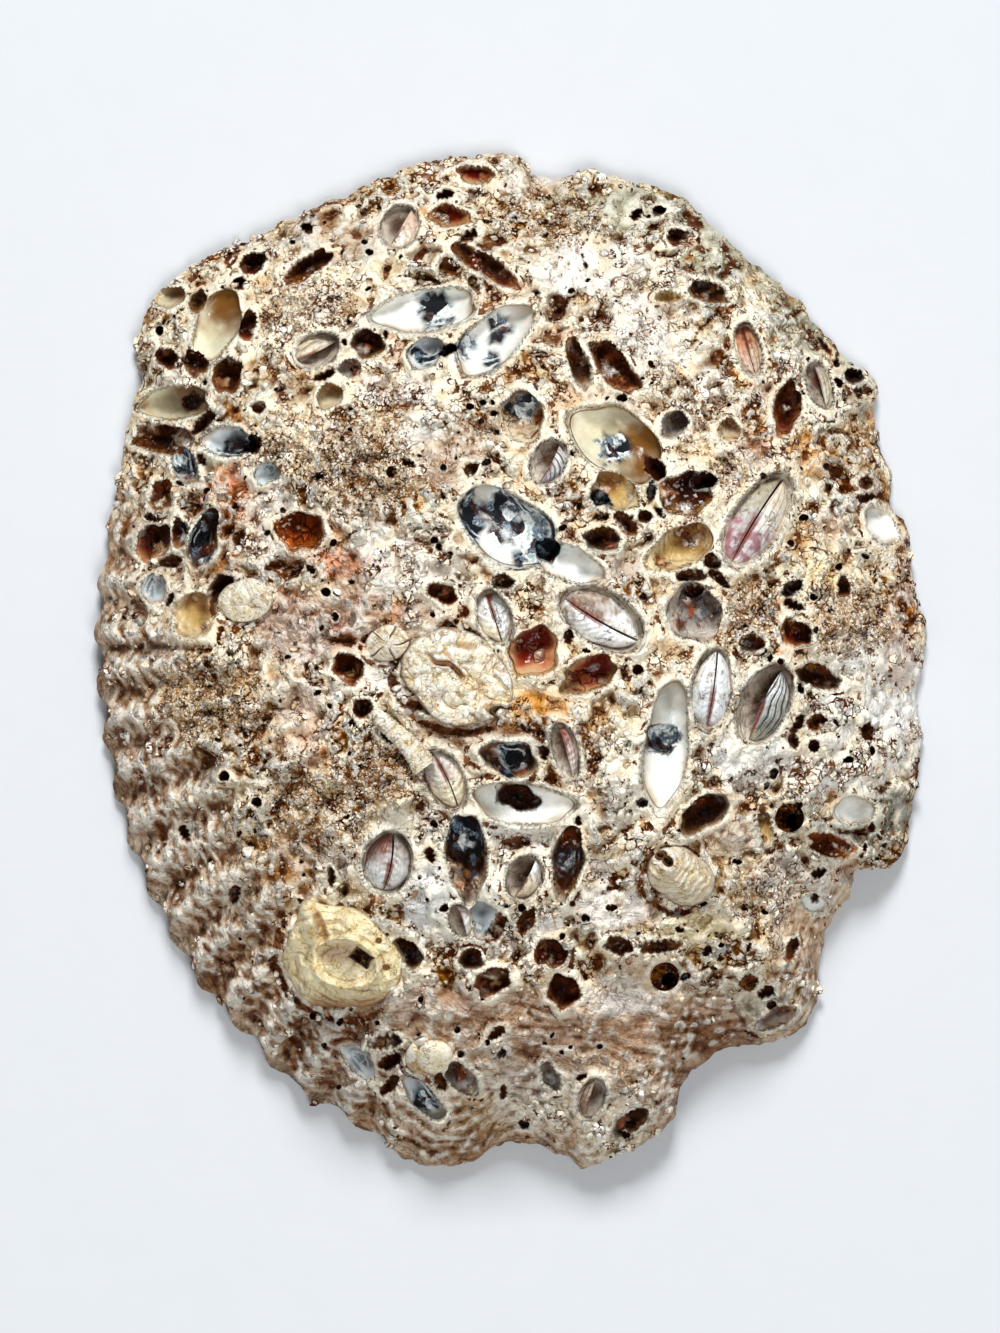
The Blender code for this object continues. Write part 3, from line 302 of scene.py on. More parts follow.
# Parts of the crust darkened and browned as painted shade: x, y, radius along x, radius along y, strength.
PAINTED_SHADE_PATCHES = [
    (-60, 22, 10, 8, 0.9), (5, -14.5, 12, 4, 1), (-61, 47, 8, 8, 0.8), (19, 49.5, 7, 7, 0.7),
    (48, 8, 9, 8, 0.7), (54, 1, 6, 5, 0.8), (45, 13, 5, 6, 0.8), (-11, -28.5, 5, 3, 0.9),
    (76, 28, 4, 6, 0.5), (12, 46, 4, 6, 0.6), (-8, -26, 7, 8, 0.7), (-79, -25, 6, 12, 0.6),
    (-45, -40, 11, 8, 0.6), (-55, -59, 9, 9, 0.6), (-38, -74, 9, 6, 0.7), (42, -74, 9, 5, 0.7),
    (-7, 72, 7, 4, 0.6), (-4, -98, 14, 6, 0.7), (38, -73, 10, 5, 0.4), (-66, 2, 6, 9, 0.3),
    (20, 17, 5, 4, 0.6),
]

PATCH_COLOURS = {
    "cream": (0.94, 0.84, 0.62), "white": (0.95, 0.93, 0.87), "tan": (0.62, 0.43, 0.25),
    "brown": (0.34, 0.18, 0.09), "umber": (0.42, 0.24, 0.13), "gold": (0.74, 0.51, 0.25),
    "yellow": (0.92, 0.76, 0.38), "orange": (0.74, 0.36, 0.08), "rust": (0.48, 0.16, 0.035),
    "salmon": (0.82, 0.34, 0.20), "pink": (0.80, 0.54, 0.46), "mauve": (0.60, 0.38, 0.36),
    "pearl": (0.87, 0.90, 0.90), "sage": (0.46, 0.47, 0.35), "grey": (0.68, 0.62, 0.57),
    "slate": (0.20, 0.23, 0.20),
}

PLAIN_COLOURS = ("cream", "white", "tan", "grey")

CRUST_TONES = [
    (0.24, 0.09, 0.03), (0.58, 0.38, 0.20), (0.86, 0.70, 0.45), (0.95, 0.86, 0.66), (0.95, 0.92, 0.83)
]
MARGIN_TONES = [(0.25, 0.12, 0.06), (0.50, 0.35, 0.24), (0.72, 0.58, 0.44), (0.93, 0.86, 0.74)]
# How smooth and unbroken the crust is in a patch of each colour.
CALM = {
    "pearl": 0.95, "cream": 0.8, "white": 0.9, "yellow": 0.7, "orange": 0.4, "pink": 0.5, "mauve": 0.3,
    "salmon": 0.3, "sage": 0.5, "slate": 0.5, "gold": 0.2, "grey": 0.5,
}
LIP_TONE = (0.92, 0.88, 0.73)
CREST_TONE = (0.92, 0.86, 0.69)
OCHRE = (0.74, 0.45, 0.17)
POCKET_TONES = [
    (0.66, 0.44, 0.22), (0.30, 0.12, 0.04), (0.86, 0.74, 0.52), (0.52, 0.22, 0.06), (0.50, 0.34, 0.20),
    (0.14, 0.045, 0.015), (0.74, 0.60, 0.42), (0.46, 0.27, 0.19), (0.80, 0.72, 0.58), (0.20, 0.07, 0.025),
]
THREAD_TONES = [(0.10, 0.03, 0.015), (0.38, 0.23, 0.16), (0.62, 0.46, 0.35), (0.90, 0.82, 0.72)]
WHITE_LIME, YELLOW_LIME = (0.91, 0.90, 0.86), (0.87, 0.75, 0.54)
# Colour that the basins of the back are multiplied by, as painted shade.
BASIN_SHADE_FILTER = (0.42, 0.27, 0.18)
# Colour that the painted shade patches multiply the crust by.
PAINTED_SHADE_FILTER = (0.56, 0.43, 0.34)

# ---- fineness of the back, in millimetres ----
FIELD_STEP = 0.78
EDGE_STEP = 0.7
RING_STEP = 0.75
LOW_STEP = 2.0
# The distance between the rows of an even field, as a share of the step.
ROW_SHARE = 0.866


# ---- noise, all of it from fixed seeds ----
GRID = 256
LATTICES = {}


def lattice(seed):
    """A seed's random directions and random places, made once."""
    if seed not in LATTICES:
        turn = np.random.default_rng(seed).uniform(0.0, TURN, (GRID, GRID))
        spots = np.random.default_rng(seed + 500).uniform(0, 1, (GRID, GRID, 3))
        LATTICES[seed] = (np.cos(turn), np.sin(turn), spots)
    return LATTICES[seed]


def grain(x, y, size, seed=0):
    """Gradient noise, about -1 to 1, its waves of the given size."""
    east, north, _ = lattice(seed)
    u, v = x / size + 500.0, y / size + 500.0
    i, j = np.floor(u).astype(int), np.floor(v).astype(int)
    fu, fv = u - i, v - j
    su = fu * fu * fu * (fu * (fu * 6 - 15) + 10)
    sv = fv * fv * fv * (fv * (fv * 6 - 15) + 10)

    def corner(di, dj):
        a, b = (i + di) % GRID, (j + dj) % GRID
        return east[a, b] * (fu - di) + north[a, b] * (fv - dj)

    low = corner(0, 0) + (corner(1, 0) - corner(0, 0)) * su
    high = corner(0, 1) + (corner(1, 1) - corner(0, 1)) * su
    return 1.6 * (low + (high - low) * sv)


def layered(x, y, size, seed=0, octaves=3, keep=0.55):
    """Grain with finer and weaker grain on top of it."""
    total, weight, whole = 0.0, 1.0, 0.0
    for k in range(octaves):
        total = total + weight * grain(x, y, size / 2**k, seed + k)
        whole += weight
        weight *= keep
    return total / whole * 1.35


def cells(x, y, size, seed=0):
    """The nearest of scattered points: its distance and how much nearer it is than the next, both in units
    of size, its own random number, and how far the place lies from it along its own random direction."""
    spots = lattice(seed)[2]
    u, v = x / size + 500.0, y / size + 500.0
    i, j = np.floor(u).astype(int), np.floor(v).astype(int)
    nearest = np.full(np.shape(u), 9.0)
    second = np.full(np.shape(u), 9.0)
    number = np.zeros(np.shape(u))
    lean = np.zeros(np.shape(u))
    for di in (-1, 0, 1):
        for dj in (-1, 0, 1):
            spot = spots[(i + di) % GRID, (j + dj) % GRID]
            away_x, away_y = i + di + spot[..., 0] - u, j + dj + spot[..., 1] - v
            away = np.hypot(away_x, away_y)
            closer = away < nearest
            second = np.where(closer, nearest, np.minimum(second, away))
            nearest = np.where(closer, away, nearest)
            number = np.where(closer, spot[..., 2], number)
            turn = TURN * 7.0 * spot[..., 2]
            lean = np.where(closer, away_x * np.cos(turn) + away_y * np.sin(turn), lean)
    return nearest, second - nearest, number, lean


def winding(x, y, size, width, seed):
    """Winding lines of an even width: 1 along the middle of a line and 0 from its edge outwards."""
    step = 0.2
    value = grain(x, y, size, seed)
    slope = np.hypot(grain(x + step, y, size, seed) - value, grain(x, y + step, size, seed) - value) / step
    return fade(0.0, width, np.abs(value) / np.maximum(slope, 0.25 / size))


def ease(low, high, value):
    """0 up to low, and 1 from high, smoothly in between."""
    part = np.clip((np.asarray(value) - low) / (high - low), 0.0, 1.0)
    return part * part * (3.0 - 2.0 * part)


def fade(low, high, value):
    """The other way round: 1 up to low, and 0 from high."""
    return 1.0 - ease(low, high, value)


def hill(x, y, centre, spread):
    return np.exp(-((x - centre[0]) ** 2 + (y - centre[1]) ** 2) / spread**2)


def blend(one, other, part):
    """Mixes two colours, or two arrays of colours, by a part that may be an array."""
    part = np.asarray(part)[..., None]
    return np.asarray(one) * (1 - part) + np.asarray(other) * part


def toned(tones, value):
    """A colour from a list of tones, at a value from 0 to 1."""
    stops = np.linspace(0.0, 1.0, len(tones))
    tones = np.array(tones)
    value = np.clip(value, 0.0, 1.0)
    return np.stack([np.interp(value, stops, tones[:, k]) for k in range(3)], axis=-1)


# ---- the rim, in polar form about the crown ----
def smooth_loop(points, steps):
    """Points of a closed Catmull-Rom curve through the given ones."""
    made = []
    count = len(points)
    for i in range(count):
        before, start, end, after = (np.array(points[(i + k) % count]) for k in (-1, 0, 1, 2))
        for step in range(steps):
            part = step / steps
            bend = (
                2 * start
                + (end - before) * part
                + (2 * before - 5 * start + 4 * end - after) * part**2
                + (3 * start - before - 3 * end + after) * part**3
            )
            made.append(bend / 2)
    return np.array(made)


def polar(x, y):
    """A place's heading and distance from the crown."""
    return np.arctan2(y - CROWN[1], x - CROWN[0]), np.hypot(x - CROWN[0], y - CROWN[1])


def rim_table():
    """Heading, radius and length along the rim, by heading, with one turn's overlap at each end."""
    loop = smooth_loop(RIM_OUTLINE, 8)[::-1]
    headings = np.unwrap(np.arctan2(loop[:, 1] - CROWN[1], loop[:, 0] - CROWN[0]))
    radii = np.hypot(loop[:, 0] - CROWN[0], loop[:, 1] - CROWN[1])
    run = np.hypot(*np.diff(np.vstack([loop, loop[:1]]), axis=0).T)
    along = np.concatenate([[0.0], np.cumsum(run)[:-1]])
    whole = run.sum()
    return (
        np.concatenate([headings - TURN, headings, headings + TURN]),
        np.tile(radii, 3),
        np.concatenate([along - whole, along, along + whole]),
        whole,
    )


HEADINGS, RADII, ALONG, RIM_LENGTH = rim_table()
EVEN_HEADINGS = np.linspace(-math.pi, math.pi, 721)
FIRST_CREST = np.interp(polar(*RIB_FIRST_CREST)[0], HEADINGS, ALONG)


def heading_gap(heading, degrees):
    """Signed angle from a fixed heading in degrees, within half a turn."""
    return (np.degrees(heading) - degrees + 180.0) % 360.0 - 180.0


def rib_strength(heading):
    """1 along the ribbed stretch of the rim, fading to 0 at its ends."""
    middle = (RIB_FROM_HEADING + RIB_TO_HEADING) / 2
    half = (RIB_TO_HEADING - RIB_FROM_HEADING) / 2
    return fade(half - 18.0, half, abs(heading_gap(heading, middle)))


def rib_wave(heading):
    along = np.interp(heading, HEADINGS, ALONG) - FIRST_CREST
    return np.cos(TURN * along / RIB_PITCH) * rib_strength(heading)


def rim_radius(heading):
    return np.interp(heading, HEADINGS, RADII) + 0.7 * RIB_HEIGHT * rib_wave(heading)


def plain_radii():
    """The rim's radius with its notches evened out, for each of the even headings."""
    window = np.radians(np.arange(-NOTCH_BLUR, NOTCH_BLUR + 1.0))
    weights = np.cos(window * 90.0 / (NOTCH_BLUR + 1.0)) ** 2
    spread = np.interp(EVEN_HEADINGS[:, None] + window, HEADINGS, RADII)
    return spread @ weights / weights.sum()


PLAIN_RADII = plain_radii()


def dome_reach(heading, distance):
    """0 at the crown and 1 at the rim. The rim's notches don't run up the dome."""
    true = rim_radius(heading)
    plain = np.interp(heading, EVEN_HEADINGS, PLAIN_RADII)
    near_rim = ease(0.7, 1.0, distance / true)
    return np.minimum(distance / (plain + (true - plain) * near_rim), 1.0)


def rim_lift(heading):
    """How far the rim arches up off the ground."""
    lift = 0.0
    for degrees, half, height in RIM_LIFTS:
        lift = lift + height * fade(0.0, half, abs(heading_gap(heading, degrees)))
    return lift


def inner_radius(heading):
    """Where the hollow starts, inside the flat rim and the shelf."""
    shelf = np.maximum(0.0, np.cos(np.radians(heading_gap(heading, SHELF_HEADING))))
    return rim_radius(heading) - RIM_WIDTH - SHELF_WIDTH * shelf


def ragged_radius(heading):
    """The rim with its small chips and beads."""
    along = np.interp(heading, HEADINGS, ALONG)
    flat = np.zeros_like(along)
    chips = 0.55 * grain(along, flat, 3.4, 41) + 0.35 * grain(along, flat + 40.0, 1.5, 42)
    return rim_radius(heading) - 0.35 + chips * (1.0 - 0.4 * rib_strength(heading))


# ---- heights ----
def dome(x, y):
    """The height of the back without its crust."""
    heading, distance = polar(x, y)
    reach = dome_reach(heading, distance)
    base = RIM_DEPTH + rim_lift(heading) * reach**4
    rise = (DOME_HEIGHT - RIM_DEPTH) * (1.0 - reach**DOME_BULGE) ** DOME_SHOULDER
    ribs = RIB_HEIGHT * rib_wave(heading) * ease(0.6, 0.85, reach) * fade(0.97, 1.0, reach)
    return base + rise + ribs + SPIRE_HEIGHT * hill(x, y, SPIRE, SPIRE_SPREAD) * (1.0 - reach**6)


def underside(x, y):
    """The height of the hollow, and of the flat rim round it."""
    heading, distance = polar(x, y)
    lift = rim_lift(heading)
    inner = inner_radius(heading)
    reach = dome_reach(heading, distance * rim_radius(heading) / inner)
    rise = (DOME_HEIGHT - WALL) * (1.0 - reach**DOME_BULGE) ** DOME_SHOULDER
    scar = SCAR_HEIGHT * hill(x, y, SCAR, SCAR_SPREAD)
    spire = SPIRE_HOLLOW * hill(x, y, SPIRE, SPIRE_SPREAD) * (1.0 - reach**6)
    return np.where(distance >= inner - 1e-6, lift, lift * reach**4 + rise - scar + spire)


def crust(x, y):
    """Mounds and broad lumps, fading out at the rim."""
    heading, distance = polar(x, y)
    reach = distance / rim_radius(heading)
    flat = zip(np.ravel(x).tolist(), np.ravel(y).tolist())
    lumps = [noise.noise((a / CRUST_SCALE, b / CRUST_SCALE, 0.0)) for a, b in flat]
    lumps = CRUST_RELIEF * np.array(lumps).reshape(np.shape(x))
    mounds = sum(top * hill(x, y, (mx, my), radius) for mx, my, radius, top in MOUNDS)
    return (lumps + mounds) * fade(0.88, 1.0, reach)


def margin(x, y):
    """How much of a place belongs to the ribbed, less eaten growing margin."""
    heading, distance = polar(x, y)
    inward = rim_radius(heading) - distance
    side = fade(48.0, 62.0, abs(heading_gap(heading, 215.0)))
    foot = fade(26.0, 40.0, abs(heading_gap(heading, 288.0)))
    depth = 22.0 * side + 13.0 * foot * (1 - side) + 1.0
    return fade(0.55, 1.15, inward / depth + 0.25 * grain(x, y, 9.0, 71)) * np.maximum(side, foot)


def roughness_of_place(x, y):
    """How rough the crust is: less so on the margin and in some broad patches."""
    return 1.0 - 0.72 * margin(x, y) - 0.20 * ease(0.1, 0.6, grain(x, y, 13.0, 72))


def fibrous(x, y):
    """How thread-like the crust is at a place."""
    whole = np.zeros(np.shape(x))
    for *place, strength in FIBROUS:
        away = off_oval(x, y, place) + 0.3 * grain(x, y, 7.0, 74)
        whole = np.maximum(whole, strength * fade(0.65, 1.1, away))
    return whole


def off_oval(x, y, oval_row):
    """Distance from the middle of an upright oval: 1 on the oval."""
    middle_x, middle_y, reach_x, reach_y = oval_row
    return np.hypot((x - middle_x) / reach_x, (y - middle_y) / reach_y)


def share_of(rows, x, y, seed):
    """The most that any of the ragged ovals in the rows covers each place."""
    whole = np.zeros(np.shape(x))
    ragged = 0.36 * layered(x, y, 6.0, seed, 3)
    for *place, strength in rows:
        away = off_oval(x, y, place) + ragged
        whole = np.maximum(whole, strength * fade(0.75, 1.1, away))
    return whole


def enamel(x, y):
    """How smooth and limy a place is."""
    return share_of(ENAMEL, x, y, 77) * (1.0 - 0.5 * margin(x, y))


def bent(x, y):
    """The place, pushed a little sideways by noise, so that cells aren't straight-sided."""
    bent_x = x + 1.3 * grain(x, y, 4.0, 38) + 0.4 * grain(x, y, 1.7, 43)
    bent_y = y + 1.3 * grain(x, y, 4.0, 39) + 0.4 * grain(x, y, 1.7, 44)
    return bent_x, bent_y


def rim_lines(x, y):
    """Length along the rim, distance in from it, and a slow waver in millimetres."""
    heading, distance = polar(x, y)
    return np.interp(heading, HEADINGS, ALONG), rim_radius(heading) - distance, 1.6 * grain(x, y, 7.0, 37)


def creases(x, y):
    """Deep winding cracks and gullies between the lumps of crust."""
    broken = ease(-0.25, 0.25, grain(x, y, 12.0, 34))
    return np.maximum(
        winding(x, y, 9.0, 1.2, 45) * broken,
        0.8 * winding(x, y, 4.6, 0.8, 46) * ease(-0.1, 0.3, grain(x, y, 9.0, 47)),
    )


def pockets(x, y):
    """Eaten-out pockets between winding walls: how sunk a place is, how much of it is wall, and the
    pocket's own random number."""
    bent_x = x + 2.6 * grain(x, y, 8.0, 63) + 0.9 * grain(x, y, 3.0, 65)
    bent_y = y + 2.6 * grain(x, y, 8.0, 64) + 0.9 * grain(x, y, 3.0, 66)
    _, gap, number, _ = cells(bent_x, bent_y, 6.2, 67)
    zone = ease(-0.30, 0.10, grain(x, y, 17.0, 68)) * (1.0 - 0.9 * margin(x, y)) * (1.0 - fibrous(x, y))
    for *place, strength in SAND_BEDS:
        zone = zone * (1.0 - 0.8 * strength * fade(0.6, 1.1, off_oval(x, y, place)))
    zone = zone * (1.0 - 0.85 * enamel(x, y))
    sunk = zone * ease(0.30, 0.55, number) * ease(0.10, 0.42, gap)
    return sunk, zone * fade(0.06, 0.24, gap), number


def folds(x, y):
    """Sharp winding crests between rounded hollows: 1 on a crest, 0 in the middle of a hollow."""
    bent_x = x + 2.0 * grain(x, y, 7.0, 21) + 0.6 * grain(x, y, 2.4, 23)
    bent_y = y + 2.0 * grain(x, y, 7.0, 22) + 0.6 * grain(x, y, 2.4, 24)
    broad = 1.0 - np.abs(grain(bent_x, bent_y, 7.5, 25))
    fine = 1.0 - np.abs(grain(bent_x, bent_y, 3.4, 26))
    return np.clip(0.65 * broad**3 + 0.35 * fine**3, 0.0, 1.0)


def fine_relief(x, y, calm):
    """Lumps, flakes, pocks, cracks and growth lines too small for the CAD model."""
    along, inward, waver = rim_lines(x, y)
    rough = roughness_of_place(x, y)
    bent_x, bent_y = bent(x, y)
    lumps = 1.25 * layered(x, y, 6.5, 11, 2) + 0.5 * (1.0 - 0.6 * calm) * layered(x, y, 2.3, 21, 2)
    nearest, seam, number, lean = cells(bent_x, bent_y, 3.4, 31)
    flaky = (0.35 + 0.65 * ease(-0.3, 0.3, grain(x, y, 11.0, 48))) * (1.0 - 0.5 * calm)
    crumbs = 1.3 * (number - 0.35) * ease(0.0, 0.35, seam) + 0.5 * (0.5 - nearest) + 1.7 * flaky * lean
    crumbs = crumbs * (1.0 - 0.65 * calm)
    _, small_seam, small_number, small_lean = cells(bent_x, bent_y, 1.9, 32)
    crumbs = crumbs + 0.6 * (small_number - 0.4) * ease(0.0, 0.3, small_seam) + 0.9 * flaky * small_lean
    pocks = -2.0 * ease(0.30, 0.50, grain(x, y, 2.9, 33)) * ease(-0.3, 0.3, grain(x, y, 15.0, 34))
    ledges = 1.3 * ease(-0.06, 0.06, grain(x, y, 8.0, 35)) * ease(-0.1, 0.4, grain(x, y, 13.0, 36)) - 0.3
    crests = (
        1.1 * winding(x, y, 8.0, 1.3, 49) * ease(-0.2, 0.3, grain(x, y, 10.0, 50))
        + 2.4 * (folds(x, y) - 0.5)
    )
    gullies = -1.5 * creases(x, y) * (1.0 - 0.5 * calm)
    sunk, wall, number = pockets(x, y)
    hollows = -(1.0 + 2.6 * np.mod(5.0 * number, 1.0)) * sunk + 0.9 * wall
    crumbs = crumbs * (1.0 - 0.6 * wall) * (1.0 - 0.3 * sunk)
    fibre = fibrous(x, y)
    threads = 0.9 * fibre * layered(x / 5.0, y + 0.12 * x + waver, 1.6, 75, 3)
    rough = rough * (1.0 - 0.72 * fibre)
    lines = 0.34 * np.sin(TURN * (inward + waver) / 2.1) + 0.18 * np.sin(TURN * (inward + waver) / 0.95)
    beads = 0.50 * np.sin(TURN * (along + 0.8 * waver) / 3.6) * np.sin(TURN * (inward + waver) / 4.2)
    streaks = 0.7 * layered(along / 4.0, inward + waver, 1.5, 52, 2)
    broken = lumps + crumbs + pocks + ledges + crests + gullies + hollows
    return rough * broken + threads + margin(x, y) * (lines + beads + streaks)


# ---- burrows and holes ----
# How jagged a mouth is broken, by its lining.
JAGGED = {"amber": 0.07, "wine": 0.08, "brown": 0.09, "rust": 0.08, "black": 0.06, "grey": 0.03, "gold": 0.03}


# Heading of the shaded side of holes and of burrows with a clam.
HOLE_SHADE = CLAM_SHADE = 70
# How uneven a mouth is, how steeply it sinks and how far its wall is undercut, by the kind of pit.
WOBBLE = {"burrow": 0.12, "window": 0.16, "hole": 0.17, "clam": 0.035}
STEEPNESS = {"burrow": 3.2, "window": 6.0, "hole": 4.0, "clam": 7.0}
UNDERCUT = {"burrow": 0.20, "window": 0.08, "hole": 0.10, "clam": 0.06}


class Spot:
    """An oval place on the back, with a length, a width and a heading."""

    def __init__(self, x, y, length, width, heading):
        self.x, self.y = x, y
        self.half_length, self.half_width = length / 2, width / 2
        self.middle = math.sqrt(self.half_length * self.half_width)
        self.heading = math.radians(heading)

    def plan(self, along, across):
        """The place at the given shares of the half length and the half width."""
        run, side = along * self.half_length, across * self.half_width
        return (
            self.x + run * math.cos(self.heading) - side * math.sin(self.heading),
            self.y + run * math.sin(self.heading) + side * math.cos(self.heading),
        )


class Pit(Spot):
    """A sunken chamber with an uneven oval mouth, deepest towards its shaded side."""

    def __init__(self, number, x, y, length, width, heading, depth, lining, shade, kind):
        super().__init__(x, y, length, width, heading)
        self.number = number
        self.depth, self.lining, self.kind = depth, lining, kind
        self.shade = math.radians(shade)
        turn = self.shade - self.heading
        lean = 0.42 if kind == "burrow" else 0.1
        self.deep = (lean * math.cos(turn), lean * math.sin(turn))
        self.reach = max(self.half_length, self.half_width)

    def outline(self, turn):
        """The mouth's uneven edge, as a factor on the oval's radius."""
        waves = 0.6 * np.cos(2 * turn + 2.4 * self.number) + 0.4 * np.cos(3 * turn + 1.7 * self.number)
        waves = waves + 0.35 * np.cos(5 * turn + 3.1 * self.number) + 0.5 * np.cos(turn + 5.3 * self.number)
        teeth = 0.7 * np.cos(4 * turn + 2.9 * self.number) + 0.6 * np.cos(7 * turn + 1.3 * self.number)
        jagged = 0.0 if self.kind == "hole" else JAGGED.get(self.lining, 0.0)
        return 1.0 + WOBBLE[self.kind] * waves + jagged * teeth

    def local(self, x, y):
        """A place in shares of the way to the mouth's edge, along and across."""
        away_x, away_y = x - self.x, y - self.y
        along = away_x * math.cos(self.heading) + away_y * math.sin(self.heading)
        across = away_y * math.cos(self.heading) - away_x * math.sin(self.heading)
        along, across = along / self.half_length, across / self.half_width
        spread = self.outline(np.arctan2(across, along))
        return along / spread, across / spread

    def ring(self, scale, count, offset=0.0):
        turn = TURN * (np.arange(count) + offset) / count
        spread = scale * self.outline(turn)
        return self.plan(spread * np.cos(turn), spread * np.sin(turn))

    def inward(self, along, across):
        """0 at the deepest place and 1 at the mouth's edge, along straight lines between them."""
        step_x, step_y = along - self.deep[0], across - self.deep[1]
        square = np.maximum(step_x**2 + step_y**2, 1e-9)
        cross = 2 * (self.deep[0] * step_x + self.deep[1] * step_y)
        rest = self.deep[0] ** 2 + self.deep[1] ** 2 - 1.0
        far = (-cross + np.sqrt(cross**2 - 4 * square * rest)) / (2 * square)
        return np.clip(1.0 / far, 0.0, 1.0)


def all_pits():
    """Every pit of the back, the windows last, so that they break through the floors of the others."""
    pits = []
    for row in BURROWS:
        pits.append(Pit(len(pits), *row, "burrow"))
    for row in CLAMS.values():
        pits.append(Pit(len(pits), *row, "clam", CLAM_SHADE, "clam"))
    for x, y, length, width, heading, lining in HOLES:
        depth = 1.6 + 0.8 * min(length, width)
        pits.append(Pit(len(pits), x, y, length, width, heading, depth, lining, HOLE_SHADE, "hole"))
    holes_between(pits, 31)
    scattered_holes(pits, 14, 29, (1.5, 3.0))
    scattered_holes(pits, 240, 23, (0.45, 1.3))
    for row in WINDOWS:
        pits.append(Pit(len(pits), *row, "window"))
    return pits


def in_shell(x, y, clearance):
    """Whether a place lies inside the rim by a clearance."""
    heading, distance = polar(x, y)
    return distance < ragged_radius(heading) - clearance


def holes_between(pits, seed):
    """Small broken holes through the thin walls between neighbouring burrows."""
    draw = np.random.default_rng(seed)
    burrows = [pit for pit in pits if pit.kind in ("burrow", "clam")]
    for k, one in enumerate(burrows):
        for other in burrows[k + 1 :]:
            turn = math.atan2(other.y - one.y, other.x - one.x)
            apart = math.hypot(other.x - one.x, other.y - one.y)
            edges = []
            for pit, far in ((one, other), (other, one)):
                away = float(np.hypot(*pit.local(np.array(far.x), np.array(far.y))))
                edges.append(apart / away)
            gap = apart - sum(edges)
            if not 0.8 < gap < 6.0 or draw.uniform() > 0.5:
                continue
            reach = edges[0] + gap * draw.uniform(0.35, 0.65)
            aside = draw.uniform(-1.8, 1.8)
            x = one.x + reach * math.cos(turn) - aside * math.sin(turn)
            y = one.y + reach * math.sin(turn) + aside * math.cos(turn)
            width = min(0.62 * gap, 2.6) * draw.uniform(0.8, 1.15)
            length = width * draw.uniform(1.3, 2.4)
            heading = math.degrees(turn) + 90.0 + draw.uniform(-25.0, 25.0)
            clear = all(math.hypot(x - p.x, y - p.y) > 0.9 * p.half_width + 0.45 * width for p in pits)
            plain = float(enamel(np.array([x]), np.array([y]))[0]) > 0.3
            if clear and not plain and in_shell(x, y, 3.0):
                lining = ("wine", "black", "brown")[int(draw.integers(0, 3))]
                depth = 1.2 + width
                pits.append(Pit(len(pits), x, y, length, width, heading, depth, lining, HOLE_SHADE, "hole"))


def scattered_holes(pits, wanted, seed, sizes):
    """Small bore holes, thicker on the eaten parts, clear of the burrows."""
    draw = np.random.default_rng(seed)
    made = []
    while len(made) < wanted:
        x, y = float(draw.uniform(-82, 82)), float(draw.uniform(-100, 100))
        size = float(draw.uniform(*sizes) * draw.choice([1.0, 1.0, 1.35]))
        chance = (
            float(0.35 + 0.9 * grain(np.array(x), np.array(y), 16.0, 34))
            * (1.0 - 0.8 * float(margin(x, y)))
        )
        stretch = float(draw.uniform(1.0, 1.7))
        heading = float(draw.uniform(0, 180))
        if draw.uniform() > chance or not in_shell(x, y, 3.0):
            continue
        if any(math.hypot(x - p.x, y - p.y) < 0.8 * (p.reach + size) for p in pits):
            continue
        lining = "wine" if draw.uniform() < 0.5 else "black" if draw.uniform() < 0.5 else "brown"
        number = len(pits) + len(made)
        pit = Pit(number, x, y, size * stretch, size, heading, 0.9 + size, lining, HOLE_SHADE, "hole")
        pits.append(pit)
        made.append(pit)


def mouth_rings(pit):
    """Places on rings round and inside a pit, close together at its mouth."""
    if pit.middle < 1.7:
        scales = [1.0 + 0.35 / pit.middle, 1.0, 0.72, 0.35]
        counts = [12, 12, 9, 5]
    else:
        scales = [1.0 + 0.75 / pit.middle, 1.0 + 0.35 / pit.middle]
        scales += [1.0, 0.955, 0.9, 0.82, 0.71, 0.58, 0.43, 0.27, 0.12]
        counts = [max(8, round(TURN * pit.middle * s / RING_STEP)) for s in scales]
    places = [np.stack(pit.ring(s, c, 0.5 * (k % 2)), axis=1) for k, (s, c) in enumerate(zip(scales, counts))]
    return np.vstack(places + [np.array([[pit.x, pit.y]])])


def off_pores(places, gap):
    """The places that lie outside each pore by more than a gap."""
    for px, py in PORES:
        places = places[np.hypot(places[:, 0] - px, places[:, 1] - py) > PORE_RADIUS + gap]
    return places


def field_places(pits):
    """Loosely even places over the back, clear of the pits' own rings."""
    draw = np.random.default_rng(5)
    rows = np.arange(-101.0, 102.0, FIELD_STEP * ROW_SHARE)
    columns = np.arange(-84.0, 84.0, FIELD_STEP)
    x, y = np.meshgrid(columns, rows)
    x = x + (np.arange(len(rows)) % 2)[:, None] * FIELD_STEP / 2
    x = x.ravel() + draw.uniform(-0.2, 0.2, x.size) * FIELD_STEP
    y = y.ravel() + draw.uniform(-0.2, 0.2, y.size) * FIELD_STEP
    keep = in_shell(x, y, 0.5 * FIELD_STEP)
    for pit in pits:
        near = np.flatnonzero(np.hypot(x - pit.x, y - pit.y) < 1.3 * pit.reach + 1.0)
        away = np.hypot(*pit.local(x[near], y[near]))
        keep[near[away < 1.0 + 1.0 / pit.middle]] = False
    return off_pores(np.stack([x[keep], y[keep]], axis=1), 0.4)


def thinned(places, kept, cell):
    """Drops places that share a small square with an earlier one. The first ones given always stay."""
    _, first = np.unique(np.round(places / cell).astype(np.int64), axis=0, return_index=True)
    chosen = np.zeros(len(places), bool)
    chosen[first] = True
    chosen[:kept] = True
    return places[chosen]


